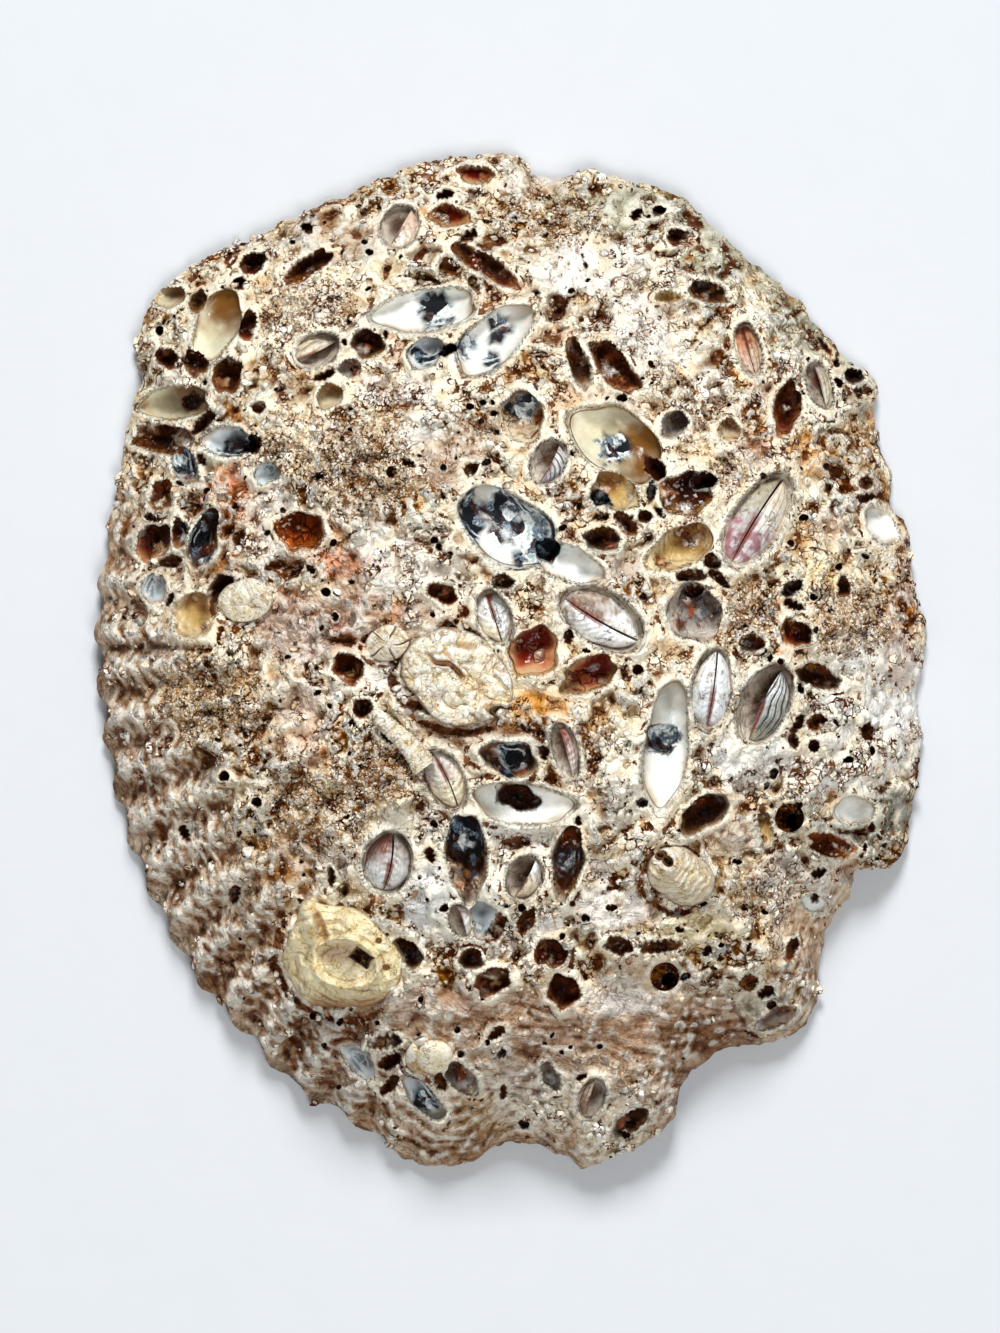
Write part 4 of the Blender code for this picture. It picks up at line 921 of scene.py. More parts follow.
def triangulate(boundary, loops, places, cell):
    """Plan triangles inside the boundary: the places, the triangles, and the new index of each loop point."""
    given = np.vstack([boundary, *loops])
    kept = len(given)
    edges = []
    first = len(boundary)
    for loop in loops:
        edges += [(first + i, first + (i + 1) % len(loop)) for i in range(len(loop))]
        first += len(loop)
    given = thinned(np.vstack([given, places]), kept, cell)
    plan, _, faces, came_from, _, _ = delaunay_2d_cdt(
        [Vector(place) for place in given.tolist()], edges, [list(range(len(boundary)))], 1, 1e-4
    )
    new_index = {}
    for new, olds in enumerate(came_from):
        for old in olds:
            new_index[old] = new
    return (
        np.array([place[:] for place in plan]),
        np.array(faces),
        np.array([new_index[i] for i in range(kept)]),
    )


def patch_shares(x, y):
    """How much of each place belongs to each patch of colour."""
    ragged = 0.38 * layered(x, y, 5.5, 61, 3)
    for *place, colour, strength in PATCHES:
        yield colour, strength * fade(0.5, 1.1, off_oval(x, y, place) + ragged)


def calmness(x, y):
    """0 where the crust is flaky and broken, towards 1 where it is smooth."""
    calm = np.full(np.shape(x), 0.25)
    for colour, part in patch_shares(x, y):
        calm = calm * (1.0 - part) + CALM.get(colour, 0.0) * part
    calm = np.clip(calm + 0.15 + 0.7 * grain(x, y, 9.0, 86), 0.0, 1.0)
    return np.maximum(calm, 0.95 * enamel(x, y))


def margin_tint(x, y, relief, fine):
    """The ribbed margin's bands and streaks of brown."""
    along, inward, waver = rim_lines(x, y)
    bands = 0.16 * np.sin(TURN * (inward + waver) / 2.1 + 0.8) + 0.10 * np.sin(TURN * (inward + waver) / 5.5)
    streaks = 0.40 * layered(along / 4.0, inward + waver, 1.5, 52, 3)
    return toned(
        MARGIN_TONES, 0.52 + bands + streaks + 0.12 * fine + 0.20 * relief + 0.18 * layered(x, y, 8.0, 58)
    )


def painted_crevice_shade(x, y, relief, calm, seam, small_seam, wall, plain):
    """How much painted shade each place gets as a crevice: seams between flakes, gullies and deep places."""
    near_rim = margin(x, y)
    broken = (1.0 - 0.65 * calm) * (1.0 - 0.7 * wall)
    seams = 0.8 * fade(0.02, 0.16, seam) + 0.4 * fade(0.02, 0.16, small_seam)
    seams = seams * ease(-0.15, 0.40, grain(x, y, 6.0, 62)) * (1.0 - 0.8 * near_rim) * broken
    deep = 0.8 * fade(-2.4, -1.3, relief) * (1.0 - 0.6 * near_rim)
    gullies = 0.9 * creases(x, y) * (1.0 - 0.85 * near_rim) * (1.0 - 0.4 * calm)
    crevice = np.maximum(np.maximum(0.8 * seams, gullies), deep) * (1.0 - 0.7 * plain)
    return crevice * (1.0 - 0.6 * fibrous(x, y))


def crust_tint(x, y, relief, calm):
    """The crust's colour without burrows: broken tones, patches of other colours, crevices and rust."""
    bent_x, bent_y = bent(x, y)
    _, seam, number, _ = cells(bent_x, bent_y, 3.4, 31)
    _, small_seam, small_number, _ = cells(bent_x, bent_y, 1.9, 32)
    waver = rim_lines(x, y)[2]
    near_rim = margin(x, y)
    fine = layered(x, y, 2.4, 55, 3)
    broken = 1.0 - 0.65 * calm
    tone = (
        0.62 + 0.28 * layered(x, y, 10.0, 51)
        + broken * (0.20 * fine + 0.16 * relief + 0.30 * (number - 0.5))
    )
    tone = tone + broken * 0.22 * (small_number - 0.5)
    fold = folds(x, y)
    tint = toned(CRUST_TONES, tone + 0.30 * (fold - 0.5))
    tint = blend(tint, CREST_TONE, 0.7 * ease(0.72, 0.88, fold) * ease(-0.3, 0.2, grain(x, y, 12.0, 96)))
    # Painted shade: broad patches darkened and browned; they also add to the rust and to the crevices.
    plain, painted_shade = enamel(x, y), share_of(PAINTED_SHADE_PATCHES, x, y, 78)
    rust = 0.75 * ease(0.30, 0.08, fold) * ease(-0.3, 0.2, grain(x, y, 9.0, 97)) * (1.0 - 0.8 * near_rim)
    rust = np.clip(rust * (1.0 - 0.9 * plain) + 0.35 * painted_shade, 0.0, 1.0) * (1.0 - 0.8 * fibrous(x, y))
    tint = blend(tint, margin_tint(x, y, relief, fine), near_rim)
    shade = 0.94 + broken * (0.30 * fine + 0.12 * relief + 0.3 * (number - 0.5))
    shade = np.clip(shade, 0.25, 1.12)[:, None]
    special = np.zeros(len(x))
    for colour, part in patch_shares(x, y):
        tint = blend(tint, np.array(PATCH_COLOURS[colour]) * shade, part)
        special = np.maximum(special * (1.0 - part), part * (colour not in PLAIN_COLOURS))
    sunk, wall, pocket = pockets(x, y)
    sunk, wall = sunk * (1.0 - 0.8 * special), wall * (1.0 - 0.6 * special)
    floors = np.array(POCKET_TONES)[np.floor(np.mod(17.0 * pocket, 1.0) * len(POCKET_TONES)).astype(int)]
    floors = (
        floors * np.clip(1.0 + 0.35 * fine + 0.2 * relief + 0.2 * (small_number - 0.5), 0.3, 1.3)[:, None]
    )
    tint = blend(tint, floors, 0.85 * sunk)
    crest = winding(x, y, 8.0, 1.3, 49) * ease(-0.2, 0.3, grain(x, y, 10.0, 50))
    wall_tone = blend(CREST_TONE, OCHRE, 0.7 * ease(0.10, 0.5, grain(x, y, 6.0, 88)))
    tint = blend(
        tint, wall_tone, 0.85 * np.maximum(wall, crest * (1.0 - 0.7 * special)) * roughness_of_place(x, y)
    )
    threads = 0.5 + 0.55 * layered(x / 5.0, y + 0.12 * x + waver, 1.6, 75, 3)
    threads = threads + 0.25 * layered(x / 4.0, y + 0.12 * x, 0.9, 76, 2)
    tint = blend(tint, toned(THREAD_TONES, threads), 0.85 * fibrous(x, y) * (1.0 - 0.5 * special))
    lime = blend(WHITE_LIME, YELLOW_LIME, 0.7 * ease(0.1, 0.5, grain(x, y, 5.0, 94)))
    lime = lime * np.clip(0.98 + 0.2 * fine, 0.6, 1.04)[:, None]
    tint = blend(tint, lime, 0.9 * plain * (1.0 - 0.8 * special))
    tint = tint * blend(np.ones(3), PAINTED_SHADE_FILTER, painted_shade)
    crevice = painted_crevice_shade(x, y, relief, calm, seam, small_seam, wall, plain)
    return tint, np.clip(crevice + 0.2 * painted_shade, 0.0, 1.0), rust


EDGING = (0.42, 0.22, 0.07)
# How full of broken chips a burrow is, by its lining, and their colours.
RUBBLE = {
    "wine": 0.8, "brown": 1.0, "black": 0.5, "grey": 0.8, "amber": 0.4, "rust": 1.0, "gold": 0.5,
    "cream": 0.6, "blue": 0.25,
}
CHIP_TONES = [
    (0.88, 0.80, 0.64), (0.34, 0.10, 0.05), (0.92, 0.88, 0.82), (0.58, 0.38, 0.22), (0.22, 0.05, 0.03),
    (0.76, 0.60, 0.48), (0.48, 0.26, 0.19), (0.30, 0.11, 0.06),
]
LINING_SMOOTH = {
    "pearl": 1.0, "blue": 1.0, "olive": 1.0, "cream": 0.75, "gold": 0.85, "grey": 0.8, "rust": 0.3,
    "amber": 0.95, "wine": 0.55, "brown": 0.45, "black": 0.6, "clam": 0.8,
}
CLAM_LINING = ((0.74, 0.68, 0.56), (0.48, 0.42, 0.35), (0.09, 0.05, 0.03), 0.65, 0.55, 0.1, 0.4)


def collar_width(pit):
    """How wide the raised lip round a pit is."""
    return 0.45 if pit.kind == "hole" and pit.half_width < 1.1 else min(0.45 + 0.22 * pit.half_width, 1.5)


def walls_between(pits, x, y):
    """How near each place is to a burrow's mouth: 1 at the mouth and 0 some way off."""
    web = np.zeros(len(x))
    for pit in pits:
        if pit.half_width < 1.0 or pit.kind == "window":
            continue
        near = np.flatnonzero(np.hypot(x - pit.x, y - pit.y) < pit.reach + 4.0)
        away = np.hypot(*pit.local(x[near], y[near]))
        beyond = (away - 1.0) * pit.middle
        web[near] = np.maximum(web[near], fade(0.3, 1.2 + 0.5 * pit.half_width, beyond))
    return web


def lie_of(pit):
    """The back's height and its two slopes at a pit's middle, and how deep the pit can be there."""
    step = 1.0
    x, y = np.array(pit.x), np.array(pit.y)
    slope_x = float(dome(x + step, y) - dome(x - step, y)) / (2 * step)
    slope_y = float(dome(x, y + step) - dome(x, y - step)) / (2 * step)
    centre = float(dome(x, y) + crust(np.array([pit.x]), np.array([pit.y]))[0])
    room = centre - float(underside(x, y)) - LEAST_FLOOR
    return centre, slope_x, slope_y, min(pit.depth, room)


def raise_lip(pit, near, x, y, away, state):
    """Marks a pit's broken lip, and the moat outside it."""
    beyond = (away - 1.0) * pit.middle
    width = collar_width(pit) * (0.95 + 0.75 * grain(x, y, 4.5, 81))
    ring = np.where(away < 1.0, 1.0, fade(0.35 * width, width, beyond))
    ring = ring * (0.05 + 0.95 * ease(-0.20, 0.20, grain(x, y, 6.0, 80)))
    ring = (
        ring * (1.0 - 0.6 * ease(0.72, 0.78, cells(x, y, 2.1, 79)[2]))
        * (0.6 if pit.kind == "hole" else 1.0)
    )
    ring[state["sunk"][near] > 0.3] = 0.0
    state["lip"][near] = np.maximum(state["lip"][near], ring)
    moat = (
        np.clip(1.0 - np.abs(beyond - 1.2 * width) / 0.55, 0.0, 1.0) * ease(-0.2, 0.3, grain(x, y, 5.0, 82))
    )
    state["moat"][near] = np.maximum(state["moat"][near], moat)


def press_in(pit, hit, x, y, u, state):
    """Lowers the places inside a pit. It gives back which of them it lowered, and the pit's depth."""
    centre, slope_x, slope_y, depth = lie_of(pit)
    plane = centre + slope_x * (x - pit.x) + slope_y * (y - pit.y)
    sink = 1.0 - u ** STEEPNESS[pit.kind]
    grit = (
        (1.0 - LINING_SMOOTH[pit.lining]) * 0.55 * layered(x, y, 2.0, 91, 2)
        + 0.12 * layered(x, y, 4.0, 95, 2)
    )
    floor = plane - depth + grit * (1 - u)
    height = state["open"][hit] * fade(0.0, 0.45, sink) + plane * ease(0.0, 0.45, sink)
    height = height + (floor - plane) * sink
    height = np.maximum(height, state["ceiling"][hit] + LEAST_FLOOR)
    lower = height < state["z"][hit] - 0.01 if pit.kind != "clam" else np.ones(len(hit), bool)
    state["z"][hit[lower]] = height[lower]
    state["sunk"][hit[lower]] = 1.0
    return lower, depth


def undercut(pit, hit, along, across, u, depth, state):
    """Pushes a pit's wall outwards below its mouth, most of all on its shaded side."""
    step_x, step_y = along - pit.deep[0], across - pit.deep[1]
    turn = np.arctan2(step_y * pit.half_width, step_x * pit.half_length) + pit.heading
    under = UNDERCUT[pit.kind] * depth
    shaded = np.maximum(np.cos(turn - pit.shade), 0.0)
    push = under * np.sin(math.pi * np.clip((u - 0.35) / 0.62, 0.0, 1.0)) * (0.30 + 0.70 * shaded)
    push = np.minimum(push, 0.35 * pit.middle)
    state["shift_x"][hit] = push * np.cos(turn)
    state["shift_y"][hit] = push * np.sin(turn)


def litter(pit, hit, x, y, u, tint, smooth, state):
    """A brown edging below a burrow's mouth, and broken chips on its floor."""
    edging = np.exp(-(((1.0 - u) * pit.half_width - 0.55 - 0.3 * grain(x, y, 3.0, 107)) / 0.28) ** 2)
    tint = blend(tint, EDGING, 0.75 * edging * ease(-0.3, 0.25, grain(x, y, 5.0, 108)))
    _, seam, number, lean = cells(x + 0.5 * grain(x, y, 1.5, 109), y, 2.0, 110)
    rubble = (
        RUBBLE.get(pit.lining, 0.0) * ease(-0.15, 0.15, grain(x, y, 5.5, 112)) * ease(0.10, 0.25, 1.0 - u)
    )
    rubble = rubble * (np.mod(3.0 * number, 1.0) < 0.5) * ease(0.04, 0.16, seam)
    state["z"][hit] += rubble * (0.4 + 1.2 * number + 1.6 * lean)
    chips = np.array(CHIP_TONES)[np.floor(np.mod(7.0 * number, 1.0) * len(CHIP_TONES)).astype(int)]
    tint = blend(tint, chips * np.clip(1.0 + 0.5 * lean, 0.3, 1.2)[:, None], 0.9 * (rubble > 0.3))
    return tint, smooth * (1.0 - 0.5 * (rubble > 0.3))


def line_pit(pit, hit, x, y, u, state):
    """Colours a pit: its lit wall, its floor and its shade, with the gloss and the nacre of its lining."""
    lining = CLAM_LINING if pit.lining == "clam" else LININGS[pit.lining]
    lit, ground, dark, by_depth, by_side, nacre, gloss = lining
    smooth = LINING_SMOOTH[pit.lining]
    run = np.cos(pit.shade) * (x - pit.x) + np.sin(pit.shade) * (y - pit.y)
    side = np.clip(run / (0.85 * pit.reach if pit.kind == "burrow" else pit.reach), -1.0, 1.0)
    waver = 0.16 * layered(x, y, 3.2, 97, 2)
    tint = blend(lit, ground, ease(0.03, 0.55 if smooth > 0.7 else 0.34, 1.0 - u + waver))
    # Painted shade: darker towards the floor and towards the pit's shaded side.
    painted_shade = ease(0.30, 0.85, by_depth * (1.0 - u) + by_side * (side + 1.0) / 2 + waver)
    tint = blend(tint, dark, painted_shade)
    blotch = np.clip(1.0 + 0.20 * layered(x, y, 1.7, 99, 2), 0.5, 1.4)
    tint = tint * blend(np.ones(3), np.ones(3) * blotch[:, None], 1.0 - 0.6 * smooth * np.ones(len(hit)))
    if pit.kind == "burrow" or (pit.kind == "hole" and pit.half_width > 1.2):
        tint, smooth = litter(pit, hit, x, y, u, tint, smooth, state)
    state["tint"][hit] = tint
    state["smooth"][hit] = smooth * ease(0.0, 0.12, 1.0 - u)
    state["gloss"][hit] = gloss
    state["nacre"][hit] = nacre * 0.8 * ease(0.15, 0.35, grain(x, y, 4.0, 101)) * ease(0.15, 0.4, 1 - u)
    unbanded = 9.0 if pit.kind == "window" else 0.0
    state["swirl"][hit] = (1.0 - u) * pit.half_width + 1.3 * grain(x, y, 5.0, 111) + unbanded


def sink_pit(pit, x, y, state):
    """Presses one pit into the back: its lip, its heights, its sideways undercut and its colours."""
    near = np.flatnonzero(np.hypot(x - pit.x, y - pit.y) < 1.3 * pit.reach + 1.6)
    along, across = pit.local(x[near], y[near])
    away = np.hypot(along, across)
    if pit.kind in ("burrow", "clam") or (pit.kind == "hole" and pit.half_width > 0.75):
        raise_lip(pit, near, x[near], y[near], away, state)
    inside = away < 1.0
    hit = near[inside]
    if not len(hit):
        return
    along, across = along[inside], across[inside]
    u = pit.inward(along, across)
    lower, depth = press_in(pit, hit, x[hit], y[hit], u, state)
    hit, u = hit[lower], u[lower]
    undercut(pit, hit, along[lower], across[lower], u, depth, state)
    line_pit(pit, hit, x[hit], y[hit], u, state)


def lay_threads(x, y, state):
    """Which way the crust's fine threads run, and how streaky each place is."""
    near_rim, fibre = margin(x, y), fibrous(x, y)
    along, inward, waver = rim_lines(x, y)
    by_rim = np.stack([along / 5.0, inward + waver, 0.0 * x], axis=1) * MM
    across = np.stack([x / 6.0, y + 0.12 * x + waver, 0.0 * x], axis=1) * MM
    state["flow"] = blend(by_rim, across, (fibre > 0.2) * 1.0)
    patchy = 0.75 * ease(0.05, 0.45, grain(x, y, 12.0, 87))
    state["streaky"] = np.maximum(0.9 * np.maximum(near_rim, fibre), patchy)


def build_up_lips(x, y, state):
    """Raises and colours the lips round the pits and the pores, and sinks the moats outside them."""
    for px, py in PORES:
        away = np.hypot(x - px, y - py) - PORE_RADIUS
        state["lip"] = np.maximum(state["lip"], np.clip(1.0 - np.abs(away - 0.5) / 0.9, 0.0, 1.0))
    lip = state["lip"] * (1.0 - state["sunk"])
    moat = state["moat"] * (1.0 - state["sunk"]) * fade(0.0, 0.4, lip)
    state["z"] += 0.75 * lip - 0.7 * moat
    # Painted shade in the moats, carried in the crevice value.
    state["crevice"] = np.maximum(state["crevice"], 0.9 * moat) * (1.0 - lip) * (1.0 - state["sunk"])
    state["rust"] = state["rust"] * (1.0 - lip) * (1.0 - state["sunk"])
    bright = np.clip(0.96 + 0.26 * grain(x, y, 3.5, 83), 0.5, 1.06)[:, None]
    lip_tone = blend(LIP_TONE, OCHRE, 0.6 * ease(0.15, 0.5, grain(x, y, 5.0, 89)))
    state["tint"] = blend(state["tint"], lip_tone * bright, 0.95 * ease(0.15, 0.75, lip))
    state["smooth"] = np.maximum(state["smooth"], 0.85 * ease(0.1, 0.6, lip))


def seat_growths(x, y, state):
    """Sinks the crust under the barnacles and tubes, with a painted shadow along their shaded side."""
    for seat_x, seat_y, length, width, heading, _ in SEATS.values():
        around = oval(x, y, (seat_x - 0.4, seat_y - 0.6), (length / 2, width / 2), heading)
        around = around + 0.05 * grain(x, y, 3.0, 95)
        shaded = ease(0.25, -0.35, (x - seat_x + y - seat_y) / length)
        # Painted shadow along the shaded side, carried in the crevice value.
        under = np.exp(-(((around - 1.08) / 0.10) ** 2)) * shaded
        state["crevice"] = np.maximum(state["crevice"], under)
        state["z"] -= 0.8 * under + 1.8 * fade(0.75, 0.95, around)


def spread_nacre(x, y, state):
    """Shows nacre where broken layers lie open in the pits."""
    for px, py, radius in NACRE_PATCHES:
        near = np.hypot(x - px, y - py) / radius + 0.5 * cells(x, y, 2.6, 103)[3]
        near = near + 0.25 * grain(x, y, 3.0, 103)
        state["nacre"] = np.maximum(state["nacre"], fade(0.66, 0.84, near) * state["sunk"])


def shape_back(x, y, pits):
    """Heights, sideways shifts and colours of the shell's back at the given places."""
    heading, distance = polar(x, y)
    calm = calmness(x, y)
    relief = fine_relief(x, y, calm)
    relief = relief * (0.25 + 0.75 * ease(0.0, 3.0, ragged_radius(heading) - distance))
    web = walls_between(pits, x, y) * (1.0 - 0.5 * margin(x, y))
    relief = relief * (1.0 - 0.75 * web) + 0.8 * web
    top = dome(x, y) + crust(x, y) + relief
    state = {"open": top, "z": top.copy(), "ceiling": underside(x, y)}
    state["tint"], state["crevice"], state["rust"] = crust_tint(x, y, relief, calm)
    for name in ("smooth", "gloss", "nacre", "swirl", "lip", "moat", "sunk", "shift_x", "shift_y"):
        state[name] = np.zeros(len(x))
    wall_tone = blend(CREST_TONE, OCHRE, 0.65 * ease(0.05, 0.5, grain(x, y, 6.0, 88)))
    state["tint"] = blend(state["tint"], wall_tone, 0.75 * web * ease(-0.6, 0.1, grain(x, y, 9.0, 84)))
    threaded = np.maximum(margin(x, y), fibrous(x, y))
    smooth = np.clip(0.55 * web + 0.85 * calm * (1.0 - 0.9 * threaded) + 0.12 * threaded, 0.0, 0.80)
    state["smooth"] = np.maximum(smooth, 0.84 * enamel(x, y))
    lay_threads(x, y, state)
    for pit in pits:
        sink_pit(pit, x, y, state)
    build_up_lips(x, y, state)
    seat_growths(x, y, state)
    spread_nacre(x, y, state)
    state["z"] = np.maximum(state["z"], state["ceiling"] + LEAST_FLOOR)
    return state


def cavity(points, faces, rounds=4):
    """How far each point stands proud of the surface round it, in millimetres."""
    ends = np.vstack([faces[:, [0, 1]], faces[:, [1, 2]], faces[:, [2, 0]]])
    ends = np.vstack([ends, ends[:, ::-1]])
    count = len(points)
    share = np.maximum(np.bincount(ends[:, 0], minlength=count), 1)
    mean = points[:, 2].copy()
    for _ in range(rounds):
        mean = np.bincount(ends[:, 0], weights=mean[ends[:, 1]], minlength=count) / share
    return points[:, 2] - mean


def make_mesh(name, points, faces, attributes, mat, smooth=True):
    """An object from points in millimetres and triangles, with named values on its points."""
    mesh = bpy.data.meshes.new(name)
    points, faces = np.asarray(points, np.float64), np.asarray(faces, np.int64)
    mesh.vertices.add(len(points))
    mesh.vertices.foreach_set("co", (points * MM).astype(np.float32).ravel())
    mesh.loops.add(faces.size)
    mesh.loops.foreach_set("vertex_index", faces.astype(np.int32).ravel())
    mesh.polygons.add(len(faces))
    mesh.polygons.foreach_set("loop_start", np.arange(0, faces.size, faces.shape[1], dtype=np.int32))
    mesh.update(calc_edges=True)
    mesh.validate()
    mesh.polygons.foreach_set("use_smooth", np.full(len(mesh.polygons), smooth))
    for key, values in attributes.items():
        values = np.asarray(values, np.float32)
        if values.ndim == 2:
            layer = mesh.attributes.new(key, "FLOAT_COLOR", "POINT")
            full = np.ones((len(values), 4), np.float32)
            full[:, :3] = np.clip(values, 0.0, 1.0)
            layer.data.foreach_set("color", full.ravel())
        else:
            mesh.attributes.new(key, "FLOAT", "POINT").data.foreach_set("value", values)
    for one in mat if isinstance(mat, list) else [mat]:
        mesh.materials.append(one)
    made = bpy.data.objects.new(name, mesh)
    bpy.context.scene.collection.objects.link(made)
    return made


def band(up, down):
    """Triangles between two closed rows of points, given by their indices."""
    up_next, down_next = np.roll(up, -1), np.roll(down, -1)
    return np.vstack([np.stack([up, down, up_next], axis=1), np.stack([up_next, down, down_next], axis=1)])


def fan(middle, ring):
    """Triangles from a middle point to a closed row of points."""
    return np.stack([np.full(len(ring), middle), np.roll(ring, -1), ring], axis=1)


def even_headings(step):
    """Headings evenly spaced along the rim."""
    start, end = np.interp([0.0, TURN], HEADINGS, ALONG)
    return np.interp(np.linspace(start, end, round(RIM_LENGTH / step), endpoint=False), ALONG, HEADINGS)


def at(heading, distance):
    """Places at the given headings and distances from the crown."""
    return np.stack([CROWN[0] + distance * np.cos(heading), CROWN[1] + distance * np.sin(heading)], axis=1)


PORE_SIDES = 28
# How far the back's close rings lie outside a pore.
COLLAR_GAPS = (0.4, 0.9, 1.4)
# A pore's crooked throat: share of the depth, share of the radius, millimetres aside.
THROAT = [(0.12, 0.97, 0.05), (0.36, 0.55, 1.2), (0.64, 0.55, -1.2), (0.88, 0.93, -0.15)]
# Close rings on the hollow's edge, as shares of its radius.
LOWER_REACH = (0.985, 0.965, 0.945, 0.92, 0.89, 0.86, 0.83)
# How far the underside's rim lies inside the back's.
EDGE_INSET = 0.7
RIM_BROWN = (0.40, 0.29, 0.20)
THROAT_PAINTED_SHADE = (0.035, 0.008, 0.005)


def pore_ring(pore, radius):
    """Places on a circle round a pore."""
    turns = TURN * np.arange(PORE_SIDES) / PORE_SIDES
    return np.stack([pore[0] + radius * np.cos(turns), pore[1] + radius * np.sin(turns)], axis=1)


def underside_places():
    """Loosely even places over the underside, with close rings near its inner rim."""
    rows = np.arange(-100.0, 101.0, LOW_STEP * ROW_SHARE)
    columns = np.arange(-84.0, 84.0, LOW_STEP)
    x, y = np.meshgrid(columns, rows)
    x = (x + (np.arange(len(rows)) % 2)[:, None] * LOW_STEP / 2).ravel()
    y = y.ravel()
    heading, distance = polar(x, y)
    inside = distance < inner_radius(heading) - 1.2
    headings = even_headings(1.6)
    rings = [at(headings, rim_radius(headings) - 1.4 - k) for k in (0.0, 1.2)]
    rings += [at(headings, inner_radius(headings) * reach) for reach in LOWER_REACH]
    return off_pores(np.vstack([np.stack([x[inside], y[inside]], axis=1), *rings]), 0.6)


def paint_basin_shade_and_crest_light(points, faces, x, y, state):
    """Darkens the basins of the back with painted shade and pales its crests with painted highlight."""
    heading, distance = polar(x, y)
    off_rim = ease(0.3, 3.0, rim_radius(heading) - distance)
    state["cavity"] = cavity(points, faces) * off_rim
    basin = cavity(points, faces, 26) * off_rim
    # Painted shade: the low basins are darkened.
    basin_shade = 0.8 * fade(-2.2, -0.2, basin) * (1.0 - state["smooth"]) * (1.0 - 0.4 * margin(x, y))
    state["tint"] = state["tint"] * blend(np.ones(3), BASIN_SHADE_FILTER, basin_shade)
    # Painted highlight: the high places are paled towards the crest tone.
    state["tint"] = blend(state["tint"], CREST_TONE, 0.35 * ease(0.3, 1.4, basin) * (1.0 - state["sunk"]))


def upper_surface(headings, pits):
    """The shell's back: its points, its triangles, the new index of each loop point, and its state."""
    outer = at(headings, ragged_radius(headings))
    pores = [pore_ring(pore, PORE_RADIUS) for pore in PORES]
    rings = np.vstack([mouth_rings(pit) for pit in pits])
    rings = off_pores(rings[in_shell(rings[:, 0], rings[:, 1], 0.3)], 0.3)
    collars = [pore_ring(pore, PORE_RADIUS + gap) for pore in PORES for gap in COLLAR_GAPS]
    plan, faces, index = triangulate(outer, pores, np.vstack([rings, *collars, field_places(pits)]), 0.24)
    x, y = plan[:, 0], plan[:, 1]
    state = shape_back(x, y, pits)
    rim = index[: len(outer)]
    state["z"][rim] = np.minimum(state["z"][rim], RIM_DEPTH + rim_lift(headings) + 0.9)
    top = np.stack([x + state["shift_x"], y + state["shift_y"], state["z"]], axis=1)
    paint_basin_shade_and_crest_light(top, faces, x, y, state)
    return top, faces, index, state


def lower_surface(headings):
    """The underside: its points, its triangles, the new index of each loop point, and how much is hollow."""
    outer = at(headings, ragged_radius(headings) - EDGE_INSET)
    inner = at(even_headings(1.2), inner_radius(even_headings(1.2)))
    pores = [pore_ring(pore, PORE_RADIUS) for pore in PORES]
    plan, faces, index = triangulate(outer, [*pores, inner], underside_places(), 0.4)
    x, y = plan[:, 0], plan[:, 1]
    heading, distance = polar(x, y)
    hollow = ease(0.0, 3.0, inner_radius(heading) - distance)
    z = underside(x, y) + hollow * (0.35 * layered(x, y, 14.0, 121) + 0.08 * layered(x, y, 3.0, 125))
    return np.stack([x, y, z], axis=1), faces, index, hollow


def without_caps(faces, index, spans):
    """The triangles without those that close a pore."""
    for first, count in spans[1:]:
        faces = faces[~np.isin(faces, index[first : first + count]).all(axis=1)]
    return faces


def walls_and_throats(top, index, low, low_index, spans):
    """What joins the back to the underside: the triangles of the rim's edge and the throats, and their
    points."""
    walls, throats = [], []
    free = len(top) + len(low)
    for k, (first, count) in enumerate(spans):
        rows = [index[first : first + count]]
        last = low_index[first : first + count]
        for depth, width, aside in THROAT if k else []:
            px, py = PORES[k - 1]
            ring = pore_ring((px + 0.8 * aside, py - 0.6 * aside), width * PORE_RADIUS)
            throats.append(np.column_stack([ring, top[rows[0], 2] * (1.0 - depth) + low[last, 2] * depth]))
            rows.append(free + np.arange(count))
            free += count
        rows.append(last + len(top))
        for up, down in zip(rows, rows[1:]):
            wall = band(up, down)
            walls.append(wall if k == 0 else wall[:, ::-1])
    return walls, throats


def build_shell(pits, mats):
    """The whole shell as one closed mesh, with its materials by face: crust, burrow lining, underside."""
    headings = even_headings(EDGE_STEP)
    top, faces, index, state = upper_surface(headings, pits)
    low, low_faces, low_index, hollow = lower_surface(headings)
    rim_count = len(headings)
    spans = [(0, rim_count)] + [(rim_count + k * PORE_SIDES, PORE_SIDES) for k in range(len(PORES))]
    faces = without_caps(faces, index, spans)
    low_faces = without_caps(low_faces, low_index, spans)
    walls, throats = walls_and_throats(top, index, low, low_index, spans)
    points = np.vstack([top, low, *throats])
    all_faces = np.vstack([faces, *walls, low_faces[:, ::-1] + len(top)])

    below = len(points) - len(top)
    below_tint = np.tile(RIM_BROWN, (below, 1))
    # Painted shade on the pores' throats.
    below_tint[len(low):] = THROAT_PAINTED_SHADE
    attributes = {"tint": np.vstack([state["tint"], below_tint])}
    for name in ("smooth", "gloss", "nacre", "swirl", "streaky", "cavity", "crevice", "rust"):
        attributes[name] = np.concatenate([state[name], np.zeros(below)])
    flow = np.vstack([state["flow"], np.zeros((below, 3))])
    attributes.update(flow_along=flow[:, 0], flow_in=flow[:, 1])
    attributes["hollow"] = np.concatenate([np.zeros(len(top)), hollow, np.zeros(below - len(low))])
    shell = make_mesh("abalone_back", points, all_faces, attributes, mats)
    slots = np.zeros(len(all_faces), np.int32)
    slots[: len(faces)] = (state["sunk"] * state["smooth"])[faces].mean(axis=1) > 0.72
    slots[len(all_faces) - len(low_faces):] = 2
    shell.data.polygons.foreach_set("material_index", slots)
    return shell, top, faces, state


